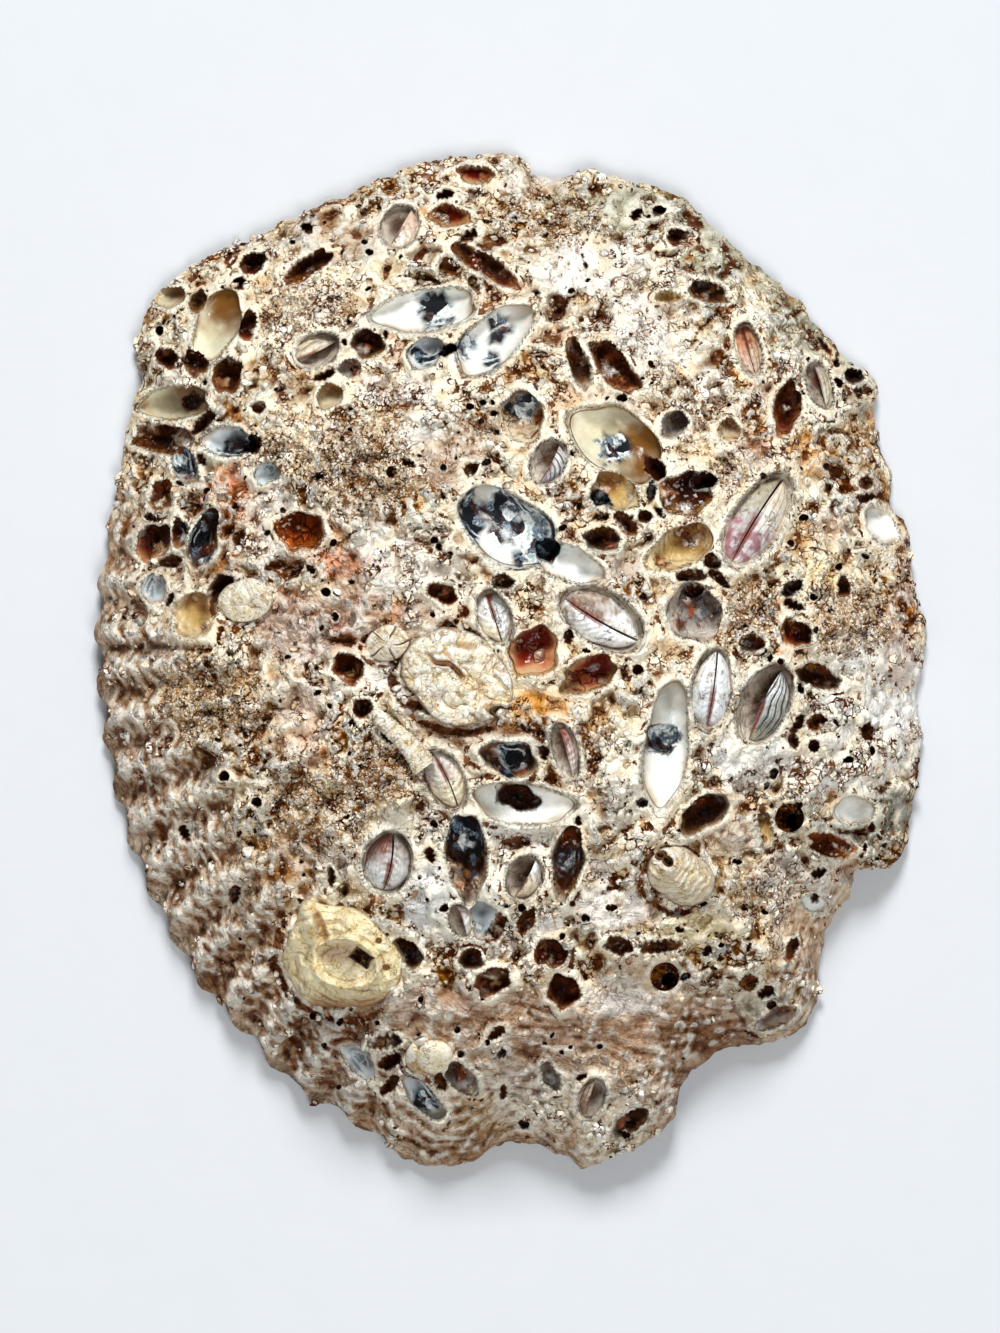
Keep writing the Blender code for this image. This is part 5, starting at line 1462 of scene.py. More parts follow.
# ---- materials ----
class Tree:
    """A short way to write a material's nodes. Sizes are in millimetres."""

    def __init__(self, name):
        self.material = bpy.data.materials.new(name)
        self.material.use_nodes = True
        self.nodes = self.material.node_tree.nodes
        self.links = self.material.node_tree.links
        self.shader = self.nodes["Principled BSDF"]
        self.place = self.nodes.new("ShaderNodeTexCoord").outputs["Object"]

    def put(self, socket, value):
        if isinstance(value, bpy.types.NodeSocket):
            self.links.new(value, socket)
        else:
            socket.default_value = value

    def node(self, kind, values, **settings):
        made = self.nodes.new("ShaderNode" + kind)
        for key, value in settings.items():
            setattr(made, key, value)
        for socket, value in values.items():
            self.put(made.inputs[socket], value)
        return made

    def attribute(self, name):
        made = self.node("Attribute", {}, attribute_name=name)
        return made.outputs["Color" if name == "tint" else "Fac"]

    def math(self, operation, one, other=0.0, clamp=False):
        return self.node("Math", {0: one, 1: other}, operation=operation, use_clamp=clamp).outputs[0]

    def times(self, one, other):
        return self.math("MULTIPLY", one, other)

    def plus(self, one, other):
        return self.math("ADD", one, other)

    def minus(self, one, other, clamp=False):
        return self.math("SUBTRACT", one, other, clamp)

    def rest(self, value, clamp=False):
        """What is left of 1."""
        return self.math("SUBTRACT", 1.0, value, clamp)

    def most(self, one, other):
        return self.math("MAXIMUM", one, other)

    def winding(self, waves):
        """How far noise is from its middle value: near 0 along winding lines."""
        return self.math("ABSOLUTE", self.minus(waves, 0.5))

    def vector(self, operation, one, other, output=0):
        return self.node("VectorMath", {0: one, 1: other}, operation=operation).outputs[output]

    def first(self, colour):
        """A colour's first channel, as a number."""
        return self.node("SeparateColor", {0: colour}).outputs[0]

    def brightness(self, colour):
        return self.node("RGBToBW", {0: colour}).outputs[0]

    def between(self, part, one, other):
        """Mixes two numbers."""
        return self.node("Mix", {0: part, 2: one, 3: other}).outputs[0]

    def span(self, value, low, high, to_low=0.0, to_high=1.0):
        """Maps a range to another, eased and held at its ends."""
        values = {"Value": value, "From Min": low, "From Max": high, "To Min": to_low, "To Max": to_high}
        return self.node("MapRange", values, interpolation_type="SMOOTHSTEP").outputs[0]

    def mix(self, part, one, other, way="MIX"):
        """Mixes two colours, each of them a socket or three numbers."""
        one, other = ((*tone, 1.0) if isinstance(tone, tuple) else tone for tone in (one, other))
        made = self.node("Mix", {0: part, 6: one, 7: other}, data_type="RGBA", blend_type=way)
        return made.outputs[2]

    def noise(self, size, detail=3.0, rough=0.55, bend=0.0, place=None):
        values = {"Vector": place or self.place, "Scale": 1000.0 / size, "Detail": detail,
                  "Roughness": rough, "Distortion": bend}
        return self.node("TexNoise", values).outputs["Fac"]

    def cells(self, size, feature="F1", output="Distance", place=None):
        values = {"Vector": place or self.place, "Scale": 1000.0 / size}
        return self.node("TexVoronoi", values, feature=feature).outputs[output]

    def ramp(self, value, stops):
        made = self.node("ValToRGB", {"Fac": value})
        while len(made.color_ramp.elements) < len(stops):
            made.color_ramp.elements.new(0.5)
        for element, (place, colour) in zip(made.color_ramp.elements, stops):
            element.position = place
            element.color = (*colour, 1.0)
        return made.outputs["Color"]

    def bump(self, height, depth, strength=1.0):
        values = {"Height": height, "Distance": depth * MM, "Strength": strength}
        return self.node("Bump", values).outputs["Normal"]

    def richer(self, colour, saturation):
        """Raises the saturation of the darker colours."""
        amount = self.span(self.brightness(colour), 0.55, 0.12, 1.0, saturation)
        return self.node("HueSaturation", {"Saturation": amount, "Color": colour}).outputs[0]

    def finish(self, colour, roughness, normal=None):
        self.put(self.shader.inputs["Base Color"], colour)
        self.put(self.shader.inputs["Roughness"], roughness)
        if normal is not None:
            self.put(self.shader.inputs["Normal"], normal)
        return self.material


SILVER_BAND, INK_BAND = (0.62, 0.68, 0.70), (0.010, 0.012, 0.014)
FACET_TONES = [
    (0.0, (0.005, 0.006, 0.008)), (0.50, (0.010, 0.012, 0.016)), (0.54, (0.07, 0.022, 0.010)),
    (0.58, (0.04, 0.06, 0.09)), (0.62, (0.20, 0.28, 0.36)), (0.66, (0.02, 0.026, 0.036)),
    (0.72, (0.50, 0.56, 0.58)), (0.78, (0.88, 0.90, 0.88)), (0.86, (0.30, 0.42, 0.40)),
]
SWIRL_PITCH = 0.95


def swirls(tree, uneven):
    """Black, blue and silver mother-of-pearl in broken facets and fine bands that follow a burrow's wall."""
    phase = tree.times(tree.attribute("swirl"), TURN / SWIRL_PITCH)
    phase = tree.plus(phase, tree.times(tree.noise(4.0, 2.0), 6.0))
    wave = tree.math("SINE", phase)
    facets = tree.first(tree.cells(3.0, output="Color", place=uneven))
    facets = tree.plus(tree.times(facets, 0.40), tree.times(tree.noise(2.4, 4.0, 0.6), 0.75))
    base = tree.ramp(facets, FACET_TONES)
    shown = tree.times(
        tree.span(tree.noise(5.0, 2.0), 0.44, 0.54), tree.span(tree.attribute("swirl"), 2.2, 1.5)
    )
    colour = tree.mix(tree.times(tree.span(wave, 0.45, 0.60), shown), base, SILVER_BAND)
    return tree.mix(tree.times(tree.span(wave, -0.45, -0.65), shown), colour, INK_BAND)


FLAKE_SIZE = 1.7
MIDDLE_GREY = (0.5, 0.5, 0.5)
# How dark the crust's flakes and threads are, by their share of grit.
GRIT_DIMMING = [
    (0.33, (0.18, 0.055, 0.014)), (0.39, (0.66, 0.46, 0.28)), (0.46, (1.02, 0.96, 0.85)),
    (0.56, (1.08, 1.10, 1.11)),
]
THREAD_DIMMING = [
    (0.37, (0.26, 0.15, 0.10)), (0.45, (0.70, 0.60, 0.52)), (0.52, (1.0, 0.98, 0.95)),
    (0.62, (1.14, 1.15, 1.14)),
]
RUST_STAIN, SPECK, SPARK = (0.52, 0.25, 0.10), (0.055, 0.011, 0.003), (0.96, 0.90, 0.74)
# Painted shade for the crust's gaps and pores, and its share of a lining's hue.
DARK_GAP_SHADE, PALE_GAP_SHADE, LINING_GAP_SHADE = (0.045, 0.008, 0.0025), (0.21, 0.085, 0.036), (0.22, 0.16, 0.14)
# Painted shade for the hollows, painted highlight for the high places, and the glaze of smooth places.
PAINTED_HOLLOW_SHADE, PAINTED_CREST_LIGHT, GLAZE = (0.085, 0.018, 0.004), (0.87, 0.86, 0.79), (0.70, 0.82, 0.86)


def wandering(tree):
    """The place, moved about by up to a millimetre, so that flakes have uneven sides."""
    waves = tree.node("TexNoise", {"Vector": tree.place, "Scale": 1000.0 / 1.6, "Detail": 3.0})
    wander = tree.vector("SUBTRACT", waves.outputs["Color"], MIDDLE_GREY)
    wander = tree.node("VectorMath", {0: wander, "Scale": 1.6 * MM}, operation="SCALE").outputs[0]
    return tree.vector("ADD", tree.place, wander)


def crust_flakes(tree, uneven):
    """Flakes of crust: their own tone, how each leans, and the distance to their edges."""
    flakes = tree.node("TexVoronoi", {"Vector": uneven, "Scale": 1000.0 / FLAKE_SIZE}, feature="F1")
    tone = tree.first(flakes.outputs["Color"])
    tilt = tree.vector("SUBTRACT", uneven, flakes.outputs["Position"])
    lean = tree.vector("SUBTRACT", flakes.outputs["Color"], MIDDLE_GREY)
    lean = tree.vector("DOT_PRODUCT", tilt, lean, "Value")
    return tone, lean, tree.cells(FLAKE_SIZE, "DISTANCE_TO_EDGE", place=uneven)


def crust_dimming(tree, tone, coarse, fine, fibres, streaky):
    """Dark and pale grit over flakes, or dark and pale threads where the crust is streaky."""
    grit = tree.plus(tree.times(tone, 0.24), tree.times(coarse, 0.42))
    grit = tree.plus(grit, tree.times(fine, 0.34))
    grit = tree.plus(grit, tree.times(tree.smooth, 0.05))
    dim = tree.ramp(grit, GRIT_DIMMING)
    thread_dim = tree.ramp(fibres, THREAD_DIMMING)
    return tree.mix(tree.times(streaky, 0.9), dim, thread_dim)


def crust_cracks(tree, gaps, ragged, streaky):
    """Where gaps between flakes, winding cracks and painted-in crevices show, to be filled with painted
    shade.
    """
    broken = tree.times(tree.span(tree.noise(5.5, 3.0, 0.6), 0.44, 0.56), tree.rest(streaky))
    wide = tree.times(tree.times(broken, tree.rough_part), 0.22)
    gap = tree.span(tree.minus(gaps, wide), -0.02, -0.06)
    crack = tree.winding(tree.noise(6.5, 3.0, 0.5, 0.5))
    thin = tree.winding(tree.noise(3.4, 3.0, 0.5, 0.5))
    crack = tree.most(tree.span(crack, 0.020, 0.008), tree.span(thin, 0.022, 0.008))
    crack = tree.times(crack, tree.span(tree.noise(8.0, 2.0), 0.44, 0.56))
    crack = tree.times(crack, tree.rest(tree.span(tree.smooth, 0.75, 0.85)))
    crack = tree.times(crack, tree.rest(tree.times(streaky, 0.6)))
    gap = tree.most(gap, crack)
    crevice = tree.span(tree.plus(tree.attribute("crevice"), ragged), 1.18, 1.29)
    return tree.most(gap, crevice)


def crust_gap_shade(tree, tint, gloss):
    """Painted shade for the gaps and pores, of the lining's own hue inside burrows."""
    gap_shade = tree.mix(tree.span(tree.noise(3.0, 3.0), 0.40, 0.60), DARK_GAP_SHADE, PALE_GAP_SHADE)
    lined = tree.span(gloss, 0.02, 0.15)
    return tree.mix(lined, gap_shade, tree.mix(1.0, tint, LINING_GAP_SHADE, "MULTIPLY"))


def crust_shade_light_and_glaze(tree, colour, tint, specks, loose, streaky):
    """Hollows darkened with painted shade, high places paled with painted highlight, smooth places glazed,
    and pale sparks on loose grit.
    """
    # Painted shade in the hollows.
    low = tree.times(tree.span(tree.cavity, -0.10, -0.80), 0.85)
    low = tree.times(low, tree.rough_part)
    colour = tree.mix(low, colour, PAINTED_HOLLOW_SHADE)
    # Painted highlight on the high places.
    high = tree.times(tree.span(tree.cavity, 0.08, 0.6), tree.times(tree.rough_part, 0.7))
    colour = tree.mix(high, colour, PAINTED_CREST_LIGHT)
    pale = tree.span(tree.brightness(tint), 0.25, 0.45)
    glaze = tree.times(tree.span(tree.smooth, 0.85, 0.98), tree.span(tree.noise(3.0, 3.0), 0.42, 0.66))
    glaze = tree.times(glaze, pale)
    colour = tree.mix(tree.times(glaze, 0.45), colour, GLAZE, "MULTIPLY")
    sparks = tree.times(tree.span(specks, 0.88, 0.90), loose)
    colour = tree.mix(tree.times(sparks, 0.85), colour, SPARK)
    richness = tree.times(tree.rough_part, tree.rest(tree.times(streaky, 0.75)))
    return tree.mix(richness, colour, tree.richer(colour, 1.40))


def crust_relief(tree, coarse, fine, lean, hollow_spot):
    """The height of flakes, grit and pores, smoothed away with the smooth value."""
    relief = tree.plus(tree.times(coarse, 0.9), tree.times(fine, 0.4))
    relief = tree.plus(relief, tree.times(lean, 2000.0))
    relief = tree.minus(relief, tree.times(hollow_spot, 0.9))
    broad = tree.times(tree.noise(3.6, 3.0, 0.5, 0.6), tree.rest(tree.span(tree.smooth, 0.82, 0.95)))
    relief = tree.times(relief, tree.plus(tree.times(tree.rough_part, 0.95), 0.05))
    return tree.plus(relief, tree.times(broad, 2.2))


def crust_material(name, specular):
    """Flaky, porous limy crust over a painted-in tint, with smooth linings where the smooth value says so."""
    tree = Tree(name)
    tint, tree.smooth = tree.attribute("tint"), tree.attribute("smooth")
    tree.cavity, nacre, gloss = tree.attribute("cavity"), tree.attribute("nacre"), tree.attribute("gloss")
    streaky = tree.attribute("streaky")
    tree.rough_part = tree.rest(tree.smooth, True)
    flow = tree.node("CombineXYZ", {0: tree.attribute("flow_along"), 1: tree.attribute("flow_in")}).outputs[0]

    uneven = wandering(tree)
    flake_tone, lean, gaps = crust_flakes(tree, uneven)
    coarse = tree.noise(2.4, 4.0, 0.65, 0.4)
    fibres = tree.times(tree.noise(1.3, 4.0, 0.65, 0.3, place=flow), 0.6)
    fibres = tree.plus(fibres, tree.times(tree.noise(0.6, 3.0, 0.6, 0.3, place=flow), 0.4))
    fine = tree.noise(0.50, 3.0, 0.6)
    spots = tree.cells(1.15)
    specks = tree.first(tree.cells(0.52, output="Color"))

    coarse = tree.between(streaky, coarse, fibres)
    flake_tone = tree.between(tree.times(streaky, 0.8), flake_tone, fibres)
    dim = crust_dimming(tree, flake_tone, coarse, fine, fibres, streaky)
    colour = tree.mix(1.0, tint, dim, "MULTIPLY")
    colour = tree.mix(tree.rough_part, tint, colour)
    ragged = tree.plus(tree.times(fine, 0.9), tree.times(flake_tone, 0.5))
    rusty = tree.minus(tree.attribute("rust"), tree.times(tree.smooth, 0.10))
    rusty = tree.span(tree.plus(rusty, ragged), 1.13, 1.30)
    rust_colour = tree.mix(1.0, RUST_STAIN, dim, "MULTIPLY")
    colour = tree.mix(tree.times(rusty, 0.85), colour, rust_colour)
    loose = tree.times(tree.rough_part, tree.rest(tree.times(streaky, 0.8)))
    loose = tree.times(loose, tree.span(tree.rough_part, 0.35, 0.65))
    loose = tree.times(loose, tree.span(tree.noise(7.0, 2.0), 0.42, 0.58))
    colour = tree.mix(tree.times(tree.span(specks, 0.08, 0.06), loose), colour, SPECK)
    gap = crust_cracks(tree, gaps, ragged, streaky)
    gap_shade = crust_gap_shade(tree, tint, gloss)
    colour = tree.mix(gap, colour, gap_shade)

    porous = tree.rest(tree.most(streaky, tree.span(tree.smooth, 0.60, 0.85)), True)
    reach = tree.times(tree.times(tree.span(tree.noise(3.4, 2.0), 0.51, 0.65), porous), 0.36)
    hollow_spot = tree.span(tree.minus(spots, reach), -0.03, -0.08)
    # Painted shade in the pores.
    colour = tree.mix(hollow_spot, colour, gap_shade)
    colour = crust_shade_light_and_glaze(tree, colour, tint, specks, loose, streaky)
    colour = tree.mix(nacre, colour, swirls(tree, uneven))

    roughness = tree.span(tree.smooth, 0.2, 0.9, 0.86, 0.30)
    roughness = tree.minus(roughness, tree.times(gloss, 0.16), clamp=True)
    relief = crust_relief(tree, coarse, fine, lean, hollow_spot)
    tree.shader.inputs["Specular IOR Level"].default_value = specular
    return tree.finish(colour, roughness, tree.bump(relief, 1.0, 1.0))


LIME_DIMMING = [
    (0.36, (0.50, 0.33, 0.13)), (0.43, (0.88, 0.77, 0.54)), (0.51, (1.0, 0.99, 0.95)),
    (0.62, (1.10, 1.10, 1.09)),
]
LIME_VEIN, LIME_CREASE = (0.46, 0.28, 0.11), (0.46, 0.25, 0.08)
LIME_PAINTED_SHADE, LIME_PAINTED_LIGHT = (0.055, 0.014, 0.005), (0.94, 0.92, 0.83)


def limy_material():
    """Chalky lime of barnacles and tubes: the painted tint, soft stains, ochre in the creases, painted shade
    in the deepest hollows and painted highlight on the high places.
    """
    tree = Tree("growth_lime")
    tint, smooth, cavity_value = tree.attribute("tint"), tree.attribute("smooth"), tree.attribute("cavity")
    mottle = tree.noise(1.9, 5.0, 0.62, 0.5)
    fine = tree.noise(0.45, 3.0, 0.6)
    shade = tree.plus(tree.times(mottle, 0.6), tree.times(fine, 0.4))
    colour = tree.mix(1.0, tint, tree.ramp(shade, LIME_DIMMING), "MULTIPLY")
    veins = tree.winding(tree.noise(2.6, 3.0, 0.5, 0.6))
    veins = tree.times(tree.span(veins, 0.022, 0.006), tree.span(tree.noise(4.5, 2.0), 0.46, 0.58))
    colour = tree.mix(tree.times(veins, 0.7), colour, LIME_VEIN)
    colour = tree.mix(tree.times(tree.span(cavity_value, -0.03, -0.30), 0.75), colour, LIME_CREASE)
    # Painted shade in the deepest hollows.
    colour = tree.mix(tree.span(cavity_value, -0.30, -0.80), colour, LIME_PAINTED_SHADE)
    pale = tree.span(tree.brightness(tint), 0.15, 0.45)
    # Painted highlight on the high, pale places.
    high = tree.times(tree.span(cavity_value, 0.05, 0.4), tree.times(pale, 0.6))
    colour = tree.mix(high, colour, LIME_PAINTED_LIGHT)
    relief = tree.plus(tree.times(mottle, 0.7), tree.times(fine, 0.35))
    relief = tree.minus(relief, tree.times(veins, 0.25))
    relief = tree.times(relief, tree.minus(1.25, smooth))
    relief = tree.times(relief, pale)
    tree.shader.inputs["Specular IOR Level"].default_value = 0.12
    return tree.finish(colour, 0.72, tree.bump(relief, 1.5, 1.0))


PEARL_BANDS = [
    (0.0, (0.66, 0.70, 0.68)), (0.18, (0.42, 0.62, 0.55)), (0.34, (0.50, 0.58, 0.68)),
    (0.50, (0.72, 0.70, 0.72)), (0.66, (0.72, 0.50, 0.56)), (0.82, (0.64, 0.66, 0.50)),
    (1.0, (0.66, 0.70, 0.68)),
]
PLAIN_PEARL, PEARL_STAIN = (0.76, 0.75, 0.72), (0.42, 0.30, 0.20)
RIM_DARK, RIM_PALE = (0.16, 0.09, 0.06), (0.66, 0.52, 0.38)


def nacre_material():
    """The hollow: bands of silver, pink and green mother-of-pearl, browner on the flat rim."""
    tree = Tree("nacre_inside")
    hollow = tree.attribute("hollow")
    broad = tree.noise(26.0, 3.0, 0.5, 1.2)
    ripples = tree.noise(9.0, 4.0, 0.6, 2.5)
    sheen = tree.node("LayerWeight", {"Blend": 0.4}).outputs["Facing"]
    run = tree.plus(tree.times(ripples, 1.2), tree.times(sheen, 0.25))
    run = tree.math("FRACT", tree.plus(run, broad))
    pearl = tree.mix(0.42, tree.ramp(run, PEARL_BANDS), PLAIN_PEARL)
    stain = tree.span(tree.noise(7.0, 4.0, 0.65), 0.60, 0.72)
    pearl = tree.mix(tree.times(stain, 0.55), pearl, PEARL_STAIN)
    rim = tree.mix(tree.noise(1.6, 4.0, 0.65), RIM_DARK, RIM_PALE)
    colour = tree.mix(tree.span(hollow, 0.15, 0.7), rim, pearl)
    roughness = tree.span(hollow, 0.1, 0.8, 0.75, 0.24)
    tree.shader.inputs["Coat Weight"].default_value = 0.25
    tree.shader.inputs["Coat Roughness"].default_value = 0.15
    return tree.finish(colour, roughness, tree.bump(tree.noise(4.0, 4.0, 0.6), 0.35, 0.6))


# ---- barnacles, tubes and lumps ----
class Seat(Spot):
    """The oval place on the back that a growth is cemented to."""

    def __init__(self, x, y, length, width, heading, sink):
        super().__init__(x, y, length, width, heading)
        self.sink = sink


def polar_grid(rings, sides):
    """Unit disc places, ring by ring from the middle outwards, and its triangles."""
    radii = np.linspace(0.0, 1.0, rings + 1)[1:]
    turns = TURN * np.arange(sides) / sides
    along = np.concatenate([[0.0], np.outer(radii, np.cos(turns)).ravel()])
    across = np.concatenate([[0.0], np.outer(radii, np.sin(turns)).ravel()])
    faces = [(0, 1 + i, 1 + (i + 1) % sides) for i in range(sides)]
    for ring in range(rings - 1):
        inner, outer = 1 + ring * sides, 1 + (ring + 1) * sides
        for i in range(sides):
            j = (i + 1) % sides
            faces += [(inner + i, outer + i, inner + j), (inner + j, outer + i, outer + j)]
    return along, across, np.array(faces)


def spread_of(turn, rows):
    """How far an outline stands out in each direction. Its rows hold a heading and a width, both in degrees,
    and an amount."""
    out = np.ones_like(turn)
    for heading, width, amount in rows:
        gap = np.abs((turn - math.radians(heading) + math.pi) % TURN - math.pi)
        out = out + amount * np.exp(-((gap / math.radians(width)) ** 2))
    return out


def stained(tint, stains):
    """The tint after each of the stains in turn: their colours and how much of each shows."""
    for colour, part in stains:
        tint = blend(tint, colour, part)
    return tint


def build_growth(name, node, slot, seat, shape, outline, mat, rings, sides):
    """A growth on its seat. Its shape gives the height, the tint and the smoothness of each place."""
    along, across, faces = polar_grid(rings, sides)
    turn = np.arctan2(across, along)
    spread = spread_of(turn, outline) * (1.0 + 0.02 * grain(5.0 * np.cos(turn), 5.0 * np.sin(turn), 1.1, 199))
    along, across = along * spread, across * spread
    x, y = seat.plan(along, across)
    away = np.hypot(along, across) / spread
    height, tint, smooth = shape(x - seat.x, y - seat.y, away)
    height = np.maximum(height, 0.3)
    ground = dome(x, y) + crust(x, y) - seat.sink
    skirt = ease(1.0, 0.93, away)
    z = ground + height * skirt - 0.8 * (1 - skirt)
    top = np.stack([x, y, z], axis=1)
    count = len(top)
    edge = np.arange(count - sides, count)
    below = top[edge].copy()
    below[:, 2] -= 0.8
    middle = np.array([[seat.x, seat.y, below[:, 2].mean()]])
    points = np.vstack([top, below, middle])
    low = np.arange(count, count + sides)
    extra = sides + 1
    # Painted shade round the growth's foot, where it meets the crust, and on the hidden points below.
    shade = ease(0.90, 1.0, away)
    attributes = {
        "tint": np.vstack(
            [blend(tint, (0.20, 0.07, 0.03), 0.7 * shade), np.tile((0.14, 0.05, 0.02), (extra, 1))]
        ),
        "cavity": np.concatenate([cavity(top, faces, 3), np.zeros(extra)]),
        "smooth": np.concatenate([np.full(count, smooth), np.zeros(extra)]),
    }
    made = make_mesh(
        name, points, np.vstack([faces, band(edge, low), fan(count + sides, low)]), attributes, mat
    )
    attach(made, "root")
    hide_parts(node)
    return made


def oval(u, v, middle, radii, heading):
    """Distance from the middle of a turned oval: 1 on the oval."""
    c, s = math.cos(math.radians(heading)), math.sin(math.radians(heading))
    run, side = (u - middle[0]) * c + (v - middle[1]) * s, (v - middle[1]) * c - (u - middle[0]) * s
    return np.hypot(run / radii[0], side / radii[1])


def large_barnacle(u, v, away):
    """Ruffled, leafy folds of pale yellow shell round a layered crater with a dark hole."""
    crater = oval(u, v, (0.6, -0.9), (6.2, 4.4), -12.0) + 0.05 * grain(u, v, 2.2, 205)
    slope = np.clip(1.0 - away**2.6, 0.0, 1.0) ** 0.75
    layers = crater + 0.34 * grain(u, v, 7.0, 207) + 0.13 * grain(u, v, 2.8, 208)
    fold = np.abs(2.0 * np.mod(2.1 * layers, 1.0) - 1.0)
    fold = 1.0 - (1.0 - fold) * ease(-0.45, 0.35, grain(u, v, 5.0, 219))
    height = 5.6 * slope + 0.9 * fold**1.6 * ease(0.9, 1.1, crater) * ease(1.0, 0.8, away)
    height = height + 0.8 * layered(u, v, 4.5, 203, 3) * slope
    height = height + 1.1 * np.exp(-((crater - 1.08) / 0.14) ** 2)
    height = height - 2.4 * fade(0.72, 1.0, crater) + 0.5 * np.exp(-((crater - 0.66) / 0.08) ** 2)
    hole_u, hole_v = u - 3.8, v - 0.4
    hole = np.abs(hole_u * 0.82 + hole_v * -0.57) / 2.1
    hole = np.maximum(hole, np.abs(hole_v * 0.82 + hole_u * 0.57) / 1.35) + 0.10 * grain(u, v, 1.5, 206)
    height = height - 4.5 * fade(0.8, 1.1, hole)
    horn = oval(u, v, (-6.6, 7.6), (2.0, 5.4), 8.0)
    leaf = oval(u, v, (-4.2, 6.4), (1.1, 4.6), 22.0)
    height = height + 2.4 * np.clip(1.0 - horn**2, 0.0, 1.0) - 1.6 * np.clip(1.0 - leaf**2, 0.0, 1.0)
    foot = ease(-5.0, -9.5, v) * ease(0.6, 0.9, away) * ease(-9.0, -4.0, u)
    inside = fade(0.62, 0.95, crater)
    small = np.minimum(oval(u, v, (8.7, -1.6), (0.8, 0.7), 0), oval(u, v, (7.2, 3.6), (0.7, 0.7), 0))
    tones = [(0.72, 0.55, 0.26), (0.92, 0.81, 0.52), (0.95, 0.90, 0.70)]
    tint = stained(toned(tones, 0.66 + 0.34 * layered(u, v, 1.8, 209, 3)), [
        ((0.50, 0.25, 0.06), 0.75 * ease(0.30, 0.0, fold) * ease(0.95, 1.1, crater)),
        ((0.45, 0.20, 0.05), 0.7 * np.clip(1.0 - leaf**2, 0.0, 1.0)),
        # Painted shadow along the lower side of the foot.
        ((0.36, 0.13, 0.02), 0.75 * foot),
        ((0.56, 0.40, 0.33), 0.75 * inside * ease(-2.0, 0.6, v)),
        ((0.94, 0.90, 0.74), 0.7 * inside * ease(-0.8, -2.2, v)),
        # Painted shade in the hole.
        ((0.018, 0.004, 0.003), fade(0.85, 1.05, hole)),
        ((0.28, 0.12, 0.03), fade(0.6, 1.0, small)),
    ])
    return height - 0.8 * fade(0.6, 1.0, small), tint, 0.35


def tube_cluster(u, v, away):
    """A popcorn-like cluster of yellowish-white limy knobs, with one open tube."""
    bent_u, bent_v = u + 0.9 * grain(u, v, 3.0, 210), v + 0.9 * grain(u, v, 3.0, 212)
    big, _, number, _ = cells(bent_u, bent_v, 4.6, 211)
    small, small_gap, _, _ = cells(bent_u, bent_v, 2.0, 213)
    knobs = 3.2 * np.sqrt(np.clip(0.62 - big**2, 0.0, 1.0)) + 1.2 * np.sqrt(np.clip(0.5 - small**2, 0.0, 1.0))
    height = 2.4 * np.sqrt(np.clip(1.0 - away**2, 0.0, 1.0)) + knobs * (0.6 + 0.4 * number)
    tube = oval(u, v, (8.1, -6.8), (1.9, 1.15), -8.0)
    height = height + 1.4 * np.exp(-((tube - 1.55) / 0.4) ** 2) - 3.4 * fade(0.75, 1.15, tube)
    crease = oval(
        u + 1.0 * grain(u, v, 4.0, 214), v + 0.8 * grain(u, v, 3.0, 216), (-2.2, 2.0), (5.2, 0.85), -28.0
    )
    height = height - 1.8 * fade(0.3, 1.3, crease)
    tones = [(0.90, 0.79, 0.54), (0.95, 0.91, 0.78), (0.95, 0.94, 0.90)]
    tint = toned(tones, 0.60 + 0.35 * number + 0.3 * layered(u, v, 1.4, 215, 3))
    tint = stained(tint, [
        ((0.90, 0.72, 0.34), 0.5 * (ease(0.1, 0.6, grain(u, v, 6.5, 217)) * ease(4.0, -3.0, v))),
        ((0.56, 0.28, 0.05), 0.85 * ease(0.25, 0.0, small_gap) * ease(0.0, 0.4, grain(u, v, 4.0, 218))),
        ((0.34, 0.13, 0.02), 0.9 * fade(0.5, 1.2, crease)),
        ((0.60, 0.33, 0.10), 0.7 * fade(0.5, 1.1, oval(u, v, (1.6, 6.2), (2.6, 1.0), -6.0))),
        # Painted shade in the open tube.
        ((0.10, 0.07, 0.04), fade(0.8, 1.1, tube)),
    ])
    return height, tint, 0.30


def knob_barnacle(u, v, away):
    """A rounded chalky knob with a keyhole at its upper left."""
    height = 5.8 * np.clip(1.0 - away**2.4, 0.0, 1.0) ** 0.62
    hole = np.minimum(oval(u, v, (-3.9, 4.0), (1.25, 0.95), 20.0), oval(u, v, (-2.6, 2.9), (1.3, 1.0), -50.0))
    rings = oval(u, v, (-2.8, 3.2), (1.0, 1.0), 0.0) + 0.7 * grain(u, v, 3.5, 220)
    height = (
        height + 0.35 * layered(u, v, 2.6, 221, 3)
        + 0.16 * np.sin(TURN * rings / 1.3) * ease(2.2, 3.2, rings)
    )
    height = height - 3.6 * fade(0.75, 1.1, hole) + 0.5 * np.exp(-((hole - 1.6) / 0.4) ** 2)
    fine = layered(u, v, 1.7, 225, 3)
    tint = toned([(0.58, 0.46, 0.31), (0.82, 0.74, 0.58), (0.93, 0.89, 0.78)], 0.62 + 0.4 * fine)
    tint = stained(tint, [
        ((0.50, 0.40, 0.30), 0.5 * ease(0.2, 0.9, np.sin(TURN * rings / 1.3)) * ease(2.2, 3.2, rings)),
        ((0.93, 0.84, 0.80), 0.8 * fade(1.5, 2.2, hole)),
        # Painted shade in the keyhole.
        ((0.020, 0.006, 0.005), fade(0.85, 1.05, hole)),
    ])
    return height, tint, 0.25


